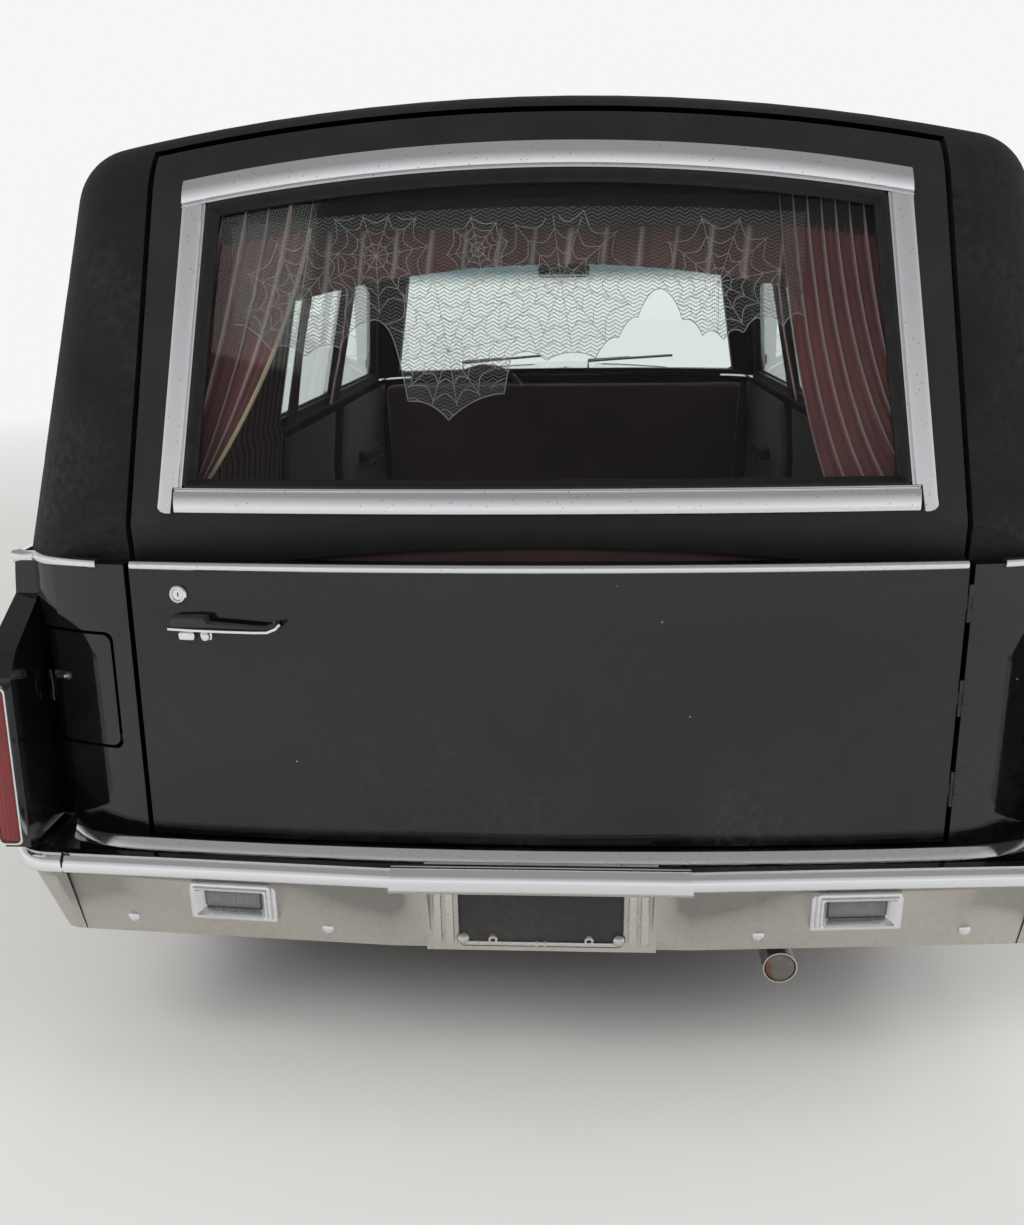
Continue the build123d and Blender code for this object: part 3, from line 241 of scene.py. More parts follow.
def weave_group() -> bpy.types.NodeTree:
    """Threads that cross, for cloth."""

    def fill(graph: Graph, start: bpy.types.Node) -> dict:
        """The weave's nodes."""
        where = start.outputs["Vector"]
        waves = []
        for axis in ("X", "Y"):
            wave = graph.node("TexWave", {
                "Vector": where, "Scale": start.outputs["Scale"], "Distortion": 1.2, "Detail": 2.0,
            }, bands_direction=axis)
            waves.append(wave.outputs["Fac"])
        height = graph.math("MULTIPLY", waves[0], waves[1])
        return {"Height": height, "Tone": graph.ramp(graph.noise(where, 6.0, 4.0), 0.3, 0.7)}

    return shared_group("weave", {"Scale": 400.0}, ["Height", "Tone"], fill)


def specks_group() -> bpy.types.NodeTree:
    """Scattered chips, pits or bubbles."""

    def fill(graph: Graph, start: bpy.types.Node) -> dict:
        """The specks' nodes."""
        where = start.outputs["Vector"]
        cell = graph.node("TexVoronoi", {"Vector": where, "Scale": start.outputs["Scale"]})
        near = graph.math("LESS_THAN", cell.outputs["Distance"], start.outputs["Size"])
        chance = graph.node("SeparateXYZ", {0: cell.outputs["Color"]}).outputs["X"]
        some = graph.math("LESS_THAN", chance, start.outputs["Share"])
        return {"Mask": graph.math("MULTIPLY", near, some)}

    return shared_group("specks", {"Scale": 60.0, "Size": 0.15, "Share": 0.1}, ["Mask"], fill)


class Maker:
    """One material under construction."""

    def __init__(self, name: str) -> None:
        """Starts a material.

        Args:
            name: The material's name.
        """
        self.material = bpy.data.materials.new(name)
        self.material.use_nodes = True
        self.graph = Graph(self.material.node_tree)
        self.shader = self.material.node_tree.nodes["Principled BSDF"]
        self.where = self.graph.node("TexCoord").outputs["Object"]

    def group(self, tree: bpy.types.NodeTree, **values: float) -> bpy.types.Node:
        """Places a shared group.

        Args:
            tree: The group's tree.
            values: Its named inputs.

        Returns:
            The group's node.
        """
        made = self.graph.node("Group", node_tree=tree)
        self.graph.tree.links.new(self.where, made.inputs["Vector"])
        for key, value in values.items():
            made.inputs[key].default_value = value
        return made

    def set(self, **values: object) -> None:
        """Sets the shader's own sockets.

        Args:
            values: Socket names, with spaces as underscores, to values or sockets.
        """
        for key, value in values.items():
            socket = self.shader.inputs[key.replace("_", " ")]
            if isinstance(value, bpy.types.NodeSocket):
                self.graph.tree.links.new(value, socket)
            elif isinstance(value, tuple) and len(value) == 3:
                socket.default_value = (*value, 1.0)
            else:
                socket.default_value = value

    def bump(self, height: bpy.types.NodeSocket, strength: float, distance: float) -> None:
        """Raises the surface by a height.

        Args:
            height: The height's socket.
            strength: From 0 to 1.
            distance: Metres at a height of 1.
        """
        made = self.graph.node("Bump", {"Height": height, "Strength": strength, "Distance": distance})
        if self.shader.inputs["Normal"].is_linked:
            previous = self.shader.inputs["Normal"].links[0].from_socket
            self.graph.tree.links.new(previous, made.inputs["Normal"])
        self.graph.tree.links.new(made.outputs["Normal"], self.shader.inputs["Normal"])


@dataclass(frozen=True)
class GlossPaint:
    """Deep enamel with light dust, small chips and a faint orange peel."""

    name: str
    colour: Point
    roughness: float = 0.07
    dust: float = 0.2
    vinyl_above: float = 9.0

    def build(self) -> bpy.types.Material:
        """The paint, with grained vinyl above a height where it has one."""
        made = Maker(self.name)
        graph = made.graph
        grime = made.group(grime_group(), Low=0.35, High=0.95, Amount=self.dust)
        chips = made.group(specks_group(), Scale=38.0, Size=0.055, Share=0.035)
        paint = graph.blend(grime.outputs["Mask"], self.colour, (0.16, 0.135, 0.105))
        paint = graph.blend(chips.outputs["Mask"], paint, (0.32, 0.31, 0.29))
        gloss = graph.ramp(grime.outputs["Mask"], 0.0, 0.6, (self.roughness, 0.45))
        peel = graph.noise(made.where, 55.0, 1.0)
        if self.vinyl_above > 5:
            made.set(Base_Color=paint, Roughness=gloss, Coat_Weight=0.15)
            made.bump(peel, 0.05, 0.001)
        else:
            height = graph.node("SeparateXYZ", {0: made.where}).outputs["Z"]
            above = graph.math("GREATER_THAN", height, self.vinyl_above)
            grain = made.group(grain_group(), Scale=420.0)
            cloth = graph.blend(grain.outputs["Tone"], (0.005, 0.005, 0.0055), (0.010, 0.010, 0.0105))
            made.set(
                Base_Color=graph.blend(above, paint, cloth),
                Roughness=graph.math("ADD", graph.math("MULTIPLY", above, 0.55), gloss),
            )
            made.bump(graph.math("MULTIPLY", above, grain.outputs["Height"]), 0.35, 0.0006)
        made.set(Specular_IOR_Level=0.5, Coat_Roughness=0.03)
        return made.material


@dataclass(frozen=True)
class VinylSkin:
    """Matte black grained vinyl glued over the upper body, with pale chips and dust."""

    name: str
    colour: Point = (0.006, 0.006, 0.0065)

    def build(self) -> bpy.types.Material:
        """The vinyl."""
        made = Maker(self.name)
        graph = made.graph
        grain = made.group(grain_group(), Scale=420.0)
        chips = made.group(specks_group(), Scale=16.0, Size=0.06, Share=0.02)
        grime = made.group(grime_group(), Low=1.0, High=2.4, Amount=0.3)
        colour = graph.blend(grain.outputs["Tone"], self.colour, tuple(c * 1.9 for c in self.colour))
        colour = graph.blend(grime.outputs["Mask"], colour, (0.09, 0.085, 0.08))
        colour = graph.blend(chips.outputs["Mask"], colour, (0.45, 0.44, 0.42))
        made.set(Base_Color=colour, Roughness=graph.ramp(grain.outputs["Tone"], 0.0, 1.0, (0.6, 0.78)))
        made.set(Specular_IOR_Level=0.22)
        made.bump(grain.outputs["Height"], 0.4, 0.0007)
        made.bump(graph.noise(made.where, 7.0, 3.0), 0.15, 0.004)
        return made.material


@dataclass(frozen=True)
class Plating:
    """Bright plate with water marks, fine pits and a dusty film."""

    name: str
    colour: Point = (0.74, 0.75, 0.77)
    roughness: float = 0.08
    pits: float = 0.1
    film: float = 0.5
    # Above this height the plating is painted in the lighter colour on the next line, as a highlight.
    bright_above: float = 0.0
    bright: Point = (0.76, 0.77, 0.79)
    polished: float = 0.04

    def build(self) -> bpy.types.Material:
        """The plating, painted in a lighter colour above a height where it has one, as a highlight on a bar's
        top.
        """
        made = Maker(self.name)
        graph = made.graph
        pits = made.group(specks_group(), Scale=210.0, Size=0.22, Share=self.pits)
        grime = made.group(grime_group(), Low=0.2, High=0.7, Amount=self.film)
        pitted, dirt, base = pits.outputs["Mask"], grime.outputs["Mask"], self.colour
        streak = graph.ramp(graph.noise(made.where, 14.0, 6.0), 0.3, 0.8, (0.0, 0.14))
        rough: object = self.roughness
        # Painted highlight: above the height the colour turns lighter; the plating there is also smoother,
        # with fewer pits and less dirt.
        if self.bright_above:
            height = graph.node("SeparateXYZ", {0: made.where}).outputs["Z"]
            under_highlight = graph.ramp(height, self.bright_above, self.bright_above + 0.004, (1.0, 0.0))
            pitted = graph.math("MULTIPLY", pitted, under_highlight)
            dirt = graph.math("MULTIPLY", dirt, graph.math("MAXIMUM", under_highlight, 0.12))
            base = graph.blend(under_highlight, self.bright, self.colour)
            rough = graph.ramp(under_highlight, 0.0, 1.0, (self.polished, self.roughness))
            streak = graph.math("MULTIPLY", streak, graph.math("MAXIMUM", under_highlight, 0.3))
        colour = graph.blend(pitted, base, tuple(c * 0.45 for c in self.colour))
        colour = graph.blend(dirt, colour, (0.42, 0.37, 0.3))
        rough = graph.math("ADD", graph.math("ADD", streak, rough), graph.math("MULTIPLY", dirt, 0.3))
        made.set(Base_Color=colour, Roughness=rough, Metallic=graph.ramp(dirt, 0.0, 1.0, (1.0, 0.55)))
        made.bump(graph.noise(made.where, 20.0, 2.0), 0.06, 0.002)
        return made.material


@dataclass(frozen=True)
class ClearGlass:
    """Window glass with a faint tint and a faint smear."""

    name: str
    tint: Point = (0.9, 0.95, 0.93)
    roughness: float = 0.01
    band: tuple[float, float] | None = None

    def build(self) -> bpy.types.Material:
        """The glass, with a dark band towards its top where it has one."""
        made = Maker(self.name)
        smear = made.graph.ramp(
            made.graph.noise(made.where, 9.0, 5.0), 0.45, 0.9, (self.roughness, self.roughness + 0.05)
        )
        tint: object = self.tint
        if self.band:
            height = made.graph.node("SeparateXYZ", {0: made.where}).outputs["Z"]
            tint = made.graph.blend(made.graph.ramp(height, *self.band), self.tint, (0.16, 0.24, 0.26))
        made.set(Base_Color=tint, Roughness=smear, Transmission_Weight=1.0, IOR=1.18)
        made.material.use_transparency_overlap = False
        return made.material


@dataclass(frozen=True)
class Lens:
    """A moulded lamp lens with fine ribs."""

    name: str
    colour: Point
    clear: float = 0.55
    ribs: float = 260.0

    def build(self) -> bpy.types.Material:
        """The lens."""
        made = Maker(self.name)
        graph = made.graph
        ribs = graph.node(
            "TexWave", {"Vector": made.where, "Scale": self.ribs / 6.28}, bands_direction="X",
        ).outputs["Fac"]
        tone = graph.blend(graph.noise(made.where, 30.0), self.colour, tuple(c * 0.6 for c in self.colour))
        made.set(Base_Color=tone, Roughness=0.12, Transmission_Weight=self.clear, IOR=1.49, Coat_Weight=0.4)
        made.bump(ribs, 0.5, 0.0015)
        return made.material


@dataclass(frozen=True)
class Cloth:
    """Woven or pile cloth."""

    name: str
    colour: Point
    shade: Point
    weave: float = 420.0
    roughness: float = 0.85
    sheen: float = 0.4
    # A paler colour painted along the folds' ridges, as a highlight.
    faded: Point | None = None

    def build(self) -> bpy.types.Material:
        """The cloth, painted paler along the ridges of its folds as a highlight where it has a highlight
        colour.
        """
        made = Maker(self.name)
        weave = made.group(weave_group(), Scale=self.weave)
        colour = made.graph.blend(weave.outputs["Tone"], self.colour, self.shade)
        if self.faded:
            # Painted highlight: the folds' ridges are painted paler.
            ridge = made.graph.node("Attribute", attribute_name="ridge").outputs["Fac"]
            colour = made.graph.blend(made.graph.math("MULTIPLY", ridge, 0.8), colour, self.faded)
        colour = made.graph.blend(
            made.graph.math("MULTIPLY", weave.outputs["Height"], 0.35), colour,
            tuple(c * 1.5 for c in self.colour)
        )
        made.set(Base_Color=colour, Roughness=self.roughness, Sheen_Weight=self.sheen, Sheen_Roughness=0.4)
        made.bump(weave.outputs["Height"], 0.35, 0.0005)
        return made.material


@dataclass(frozen=True)
class Rubber:
    """Black rubber with a grey bloom."""

    name: str
    colour: Point = (0.018, 0.018, 0.018)
    bloom: Point = (0.07, 0.065, 0.06)
    amount: float = 0.8

    def build(self) -> bpy.types.Material:
        """The rubber."""
        made = Maker(self.name)
        graph = made.graph
        grime = made.group(grime_group(), Low=0.0, High=0.8, Amount=self.amount)
        made.set(
            Base_Color=graph.blend(grime.outputs["Mask"], self.colour, self.bloom),
            Roughness=graph.ramp(graph.noise(made.where, 40.0), 0.3, 0.7, (0.6, 0.8)),
        )
        made.bump(graph.noise(made.where, 320.0, 3.0), 0.2, 0.0006)
        return made.material


@dataclass(frozen=True)
class Hard:
    """Moulded plastic, board, casting or flat paint, with wear and grime."""

    name: str
    colour: Point
    shade: Point
    roughness: float = 0.55
    metal: float = 0.0
    rust: float = 0.0
    grain: float = 0.0
    stretch: tuple[float, float, float] = (1.0, 1.0, 1.0)

    def build(self) -> bpy.types.Material:
        """The finish."""
        made = Maker(self.name)
        graph = made.graph
        where = graph.node("Mapping", {"Vector": made.where, "Scale": self.stretch}).outputs[0]
        tone = graph.ramp(graph.noise(where, 11.0, 6.0), 0.32, 0.7)
        colour = graph.blend(tone, self.colour, self.shade)
        grime = made.group(grime_group(), Low=0.1, High=0.8, Amount=0.5)
        colour = graph.blend(grime.outputs["Mask"], colour, (0.13, 0.11, 0.085))
        metallic: object = self.metal
        if self.rust:
            spots = graph.ramp(
                graph.noise(made.where, 24.0, 8.0), 0.62 - self.rust * 0.2, 0.74 - self.rust * 0.2,
            )
            colour = graph.blend(spots, colour, (0.14, 0.052, 0.02))
            if self.metal:
                metallic = graph.ramp(spots, 0.0, 1.0, (self.metal, 0.1))
        made.set(
            Base_Color=colour, Metallic=metallic,
            Roughness=graph.ramp(tone, 0.0, 1.0, (self.roughness, min(1.0, self.roughness + 0.16))),
        )
        made.bump(graph.noise(where, self.grain or 160.0, 3.0), 0.18, 0.0006)
        return made.material


@dataclass(frozen=True)
class Net:
    """A fine open net of chevron rows, clear between its threads."""

    name: str
    colour: Point
    row: float = 0.0062
    wave: float = 0.0105
    thread: float = 0.18

    def build(self) -> bpy.types.Material:
        """The net, drawn on the sheet's own flat coordinates, which are metres."""
        made = Maker(self.name)
        graph = made.graph
        flat = graph.node("SeparateXYZ", {0: graph.node("UVMap", uv_map="flat").outputs["UV"]}).outputs
        zigzag = graph.math("PINGPONG", graph.math("DIVIDE", flat["X"], self.wave), 1.0)
        rows = graph.math("ADD", graph.math("DIVIDE", flat["Y"], self.row), zigzag)
        lines = [
            graph.math("LESS_THAN", graph.math("PINGPONG", rows, 0.5), self.thread / 2),
            graph.math(
                "LESS_THAN", graph.math("PINGPONG", graph.math("DIVIDE", flat["X"], self.row * 0.6), 0.5),
                self.thread / 4,
            ),
        ]
        tone = graph.blend(graph.noise(made.where, 60.0), self.colour, tuple(c * 0.75 for c in self.colour))
        made.set(Base_Color=tone, Roughness=0.8, Alpha=graph.math("MAXIMUM", *lines))
        return made.material


class Finish(Enum):
    """Every finish on the car, with the record's slot that it belongs to."""

    PAINT = GlossPaint("gloss_black_enamel", (0.0035, 0.0035, 0.004)), "paint_black"
    TWO_TONE = GlossPaint("enamel_under_vinyl", (0.0035, 0.0035, 0.004), vinyl_above=BELT), "paint_black"
    VINYL = VinylSkin("grained_black_vinyl"), "vinyl_black"
    CHROME = Plating("bright_plate"), "chrome"
    DULL_CHROME = Plating("weathered_plate", (0.56, 0.55, 0.52), 0.2, 0.3, 0.95), "chrome"
    # The bumper's plate is painted lighter above 0.4705 m, a highlight on the bar's top.
    BUMPER = Plating("bumper_plate", (0.50, 0.485, 0.45), 0.26, 0.3, 0.95, 0.4705), "chrome"
    GLASS = ClearGlass("window_glass"), "glass_clear"
    TINT = ClearGlass("tail_window_glass", (0.86, 0.9, 0.88)), "glass_clear"
    SHIELD = ClearGlass("windshield_glass", band=(1.47, 1.53)), "glass_clear"
    RED_LENS = Lens("red_lens", (0.42, 0.006, 0.006)), "lens_red"
    AMBER_LENS = Lens("amber_lens", (0.75, 0.24, 0.02)), "lens_clear"
    CLEAR_LENS = Lens("clear_lens", (0.30, 0.30, 0.29), 0.35), "lens_clear"
    PLATE = Hard("plate_enamel", (0.012, 0.012, 0.015), (0.02, 0.02, 0.022), 0.35), "plate_blank"
    # The maroon cloth is painted paler along its folds' ridges, as a highlight.
    MAROON = Cloth(
        "maroon_drape_cloth", (0.13, 0.034, 0.038), (0.075, 0.018, 0.022), faded=(0.56, 0.42, 0.40),
    ), "seat_cloth"
    SEAT = Cloth("dark_seat_cloth", (0.06, 0.022, 0.026), (0.034, 0.014, 0.017), 300.0), "seat_cloth"
    BOARD = Cloth(
        "padded_board_cloth", (0.016, 0.011, 0.014), (0.009, 0.006, 0.008), 500.0, 0.95, 0.1,
    ), "seat_cloth"
    LINER = Cloth("headliner_cloth", (0.055, 0.03, 0.03), (0.035, 0.02, 0.02), 500.0, 0.95, 0.1), "seat_cloth"
    CARPET = Cloth("dark_carpet", (0.03, 0.022, 0.022), (0.018, 0.014, 0.014), 200.0, 1.0, 0.2), "floor_mat"
    CREAM = Cloth("cream_edging", (0.62, 0.52, 0.36), (0.48, 0.39, 0.26), 700.0), "seat_cloth"
    LACE = Net("lace_net", (0.19, 0.18, 0.18)), "seat_cloth"
    THREAD = Cloth("lace_thread", (0.36, 0.34, 0.33), (0.27, 0.26, 0.25), 900.0), "seat_cloth"
    TYRE = Rubber("tyre_rubber"), "tyre"
    WHITEWALL = Rubber("whitewall_rubber", (0.62, 0.6, 0.56), (0.3, 0.26, 0.21), 0.6), "tyre"
    GASKET = Rubber("gasket_rubber", (0.006, 0.006, 0.006), (0.02, 0.02, 0.02), 0.3), "trim_black"
    PLASTIC = Hard("black_moulding", (0.02, 0.02, 0.02), (0.032, 0.03, 0.03), 0.5), "trim_black"
    # Near-black for the exhaust's mouth: soot, and painted shade of the pipe's hollow.
    SOOT = Hard("exhaust_soot", (0.008, 0.007, 0.006), (0.02, 0.017, 0.014), 0.9), "trim_black"
    WOOD = Hard(
        "deck_board", (0.16, 0.075, 0.035), (0.075, 0.032, 0.016), 0.32, stretch=(9.0, 0.8, 9.0),
    ), "deck_laminate"
    STEEL = Hard("bright_steel", (0.55, 0.55, 0.56), (0.42, 0.42, 0.43), 0.28, 1.0), "bright_steel"
    DULL_STEEL = Hard("dull_steel", (0.3, 0.29, 0.28), (0.17, 0.16, 0.15), 0.5, 0.9, 0.6), "bare_steel"
    CHASSIS = Hard(
        "chassis_black", (0.018, 0.018, 0.018), (0.035, 0.032, 0.03), 0.65, 0.0, 0.5,
    ), "chassis_black"
    ENGINE = Hard("engine_casting", (0.05, 0.06, 0.075), (0.025, 0.025, 0.026), 0.6, 0.3, 0.2), "cast_engine"
    WHEEL = Hard("wheel_enamel", (0.03, 0.03, 0.032), (0.018, 0.018, 0.018), 0.35, 0.0, 0.1), "rim_paint"

    def __init__(self, look: object, slot: str) -> None:
        """Keeps the finish's look and its slot.

        Args:
            look: What builds the material.
            slot: The record's slot.
        """
        self.look, self.slot = look, slot

    @property
    def material(self) -> bpy.types.Material:
        """The finish's material, made once."""
        return bpy.data.materials.get(self.look.name) or self.look.build()


NODE_FINISHES = {
    Finish.PAINT: ("body_lower", "fender_left", "fender_right", "hood", "nose", "fuel_flap"),
    Finish.TWO_TONE: (
        "door_front_right", "door_front_left", "door_side_right", "door_side_left", "door_tail",
    ),
    Finish.VINYL: ("body_upper",),
    Finish.CHROME: ("grille", "landau_irons", "tail_frame", "tail_handle"),
    Finish.BUMPER: ("bumper_rear", "bumper_front"),
    Finish.GLASS: ("glass_front_right", "glass_front_left", "glass_side_right", "glass_side_left"),
    Finish.SHIELD: ("windshield",),
    Finish.TINT: ("tail_glass",),
    Finish.RED_LENS: ("tail_lamps",),
    Finish.CLEAR_LENS: ("headlamps", "backup_lamps"),
    Finish.PLATE: ("plate",),
    Finish.CARPET: ("floor",),
    Finish.WOOD: ("load_deck",),
    Finish.STEEL: ("casket_rails",),
    Finish.PLASTIC: ("dash", "steering_wheel"),
    Finish.SEAT: ("seat",),
    Finish.CHASSIS: (
        "frame", "crossmembers", "axle_rear", "springs", "suspension_front", "fuel_tank", "radiator",
    ),
    Finish.ENGINE: ("engine",),
    Finish.DULL_STEEL: ("exhaust", "knuckle_left", "knuckle_right"),
    Finish.WHEEL: ("rim_front_left", "rim_front_right", "rim_rear_left", "rim_rear_right"),
    Finish.TYRE: ("tyre_front_left", "tyre_front_right", "tyre_rear_left", "tyre_rear_right"),
}


def dress_nodes() -> None:
    """Gives each carried-over solid its finish."""
    for finish, names in NODE_FINISHES.items():
        for name in names:
            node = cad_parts[name]
            node.data.materials.clear()
            node.data.materials.append(finish.material)


@dataclass(frozen=True)
class Place:
    """A spot on the car with its own right, up and outward directions."""

    origin: Vector
    right: Vector
    up: Vector
    out: Vector

    @classmethod
    def facing(
        cls, origin: Sequence[float], out: Sequence[float], up: Sequence[float] = (0.0, 0.0, 1.0),
    ) -> Place:
        """A spot from its outward direction.

        Args:
            origin: Where it is.
            out: Its outward direction.
            up: Roughly its upward direction.

        Returns:
            The spot.
        """
        out_way = Vector(out).normalized()
        right = Vector(up).cross(out_way).normalized()
        return cls(Vector(origin), right, out_way.cross(right), out_way)

    def at(self, across: float, along: float, proud: float = 0.0) -> Vector:
        """A point given in the spot's own directions."""
        return self.origin + self.right * across + self.up * along + self.out * proud


def rounded_loop(half_w: float, half_h: float, corner: float, steps: int = 7) -> list[tuple[float, float]]:
    """A rounded rectangle, anticlockwise from its right side.

    Args:
        half_w: Half its width.
        half_h: Half its height.
        corner: Its corners' radius; a circle where it equals both halves.
        steps: Edges in each corner.

    Returns:
        The outline's points.
    """
    corner = min(corner, half_w, half_h)
    points = []
    for quarter, (side, height) in enumerate(((1, 1), (-1, 1), (-1, -1), (1, -1))):
        for step in range(steps + 1):
            angle = math.pi / 2 * (quarter + step / steps)
            points.append((
                side * (half_w - corner) + corner * math.cos(angle),
                height * (half_h - corner) + corner * math.sin(angle),
            ))
    return points


def rounded_path(
    points: Sequence[tuple[float, float]], radius: float, closed: bool = True, steps: int = 5,
) -> list[tuple[float, float]]:
    """A polyline with its corners rounded.

    Args:
        points: The corners.
        radius: The rounding.
        closed: Whether the last point joins the first.
        steps: Edges in each corner.

    Returns:
        The smoothed points.
    """
    made = []
    count = len(points)
    for index, point in enumerate(points):
        here = Vector(point)
        if not closed and index in (0, count - 1):
            made.append(tuple(here))
            continue
        before, after = Vector(points[index - 1]), Vector(points[(index + 1) % count])
        way_in, way_out = (before - here), (after - here)
        reach = min(radius, way_in.length * 0.45, way_out.length * 0.45)
        start, end = here + way_in.normalized() * reach, here + way_out.normalized() * reach
        for step in range(steps + 1):
            t = step / steps
            made.append(tuple(start * (1 - t) ** 2 + here * 2 * t * (1 - t) + end * t**2))
    return made


def divided(points: Sequence[Sequence[float]], step: float, closed: bool = False) -> list[Vector]:
    """Points added along straight runs, so that a long strip follows its panel.

    Args:
        points: The path.
        step: The longest run left.
        closed: Whether the last point joins the first.

    Returns:
        The path with the added points.
    """
    path = [Vector(point) for point in points]
    if closed:
        path.append(path[0])
    made = [path[0]]
    for start, end in zip(path, path[1:]):
        pieces = max(1, math.ceil((end - start).length / step))
        made += [start.lerp(end, index / pieces) for index in range(1, pieces + 1)]
    return made[:-1] if closed else made


def crown(width: float, height: float, sink: float = 0.004, steps: int = 6) -> list[tuple[float, float]]:
    """A crowned strip's cross section, as (across, out).

    Args:
        width: The strip's width.
        height: How proud it stands.
        sink: How far it is set into its panel.
        steps: Edges in the crown.

    Returns:
        The closed outline.
    """
    half = width / 2
    arc = [
        (-half * math.cos(math.pi * i / steps), height * (0.25 + 0.75 * math.sin(math.pi * i / steps)))
        for i in range(steps + 1)
    ]
    return [(-half, -sink), *arc, (half, -sink)]


def mirrored(half: Sequence[tuple[float, float]]) -> list[tuple[float, float]]:
    """A section's left half and its mirror image; a middle point at 0 isn't repeated."""
    return [*half, *[(-a, b) for a, b in reversed(half) if a]]


def place_mesh(
    mesh: bpy.types.Mesh, name: str, finish: Finish, body: str, stands_for: Sequence[str] = (),
    angle: float = 35.0,
) -> bpy.types.Object:
    """Puts a finished mesh on the car.

    Args:
        mesh: The mesh, in place.
        name: The piece's name.
        finish: Its finish.
        body: The moving body that it rides on.
        stands_for: Solids that it replaces.
        angle: Edges sharper than this stay sharp.

    Returns:
        The piece.
    """
    mesh.name = name
    mesh.materials.clear()
    mesh.materials.append(finish.material)
    mesh.polygons.foreach_set("use_smooth", [True] * len(mesh.polygons))
    mesh.set_sharp_from_angle(angle=math.radians(angle))
    piece = bpy.data.objects.new(name, mesh)
    bpy.context.collection.objects.link(piece)
    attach(piece, str(getattr(body, "value", body)))
    if stands_for:
        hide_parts(*stands_for)
    LOG.info("%s rides on %s, %d faces", name, body, len(mesh.polygons))
    return piece


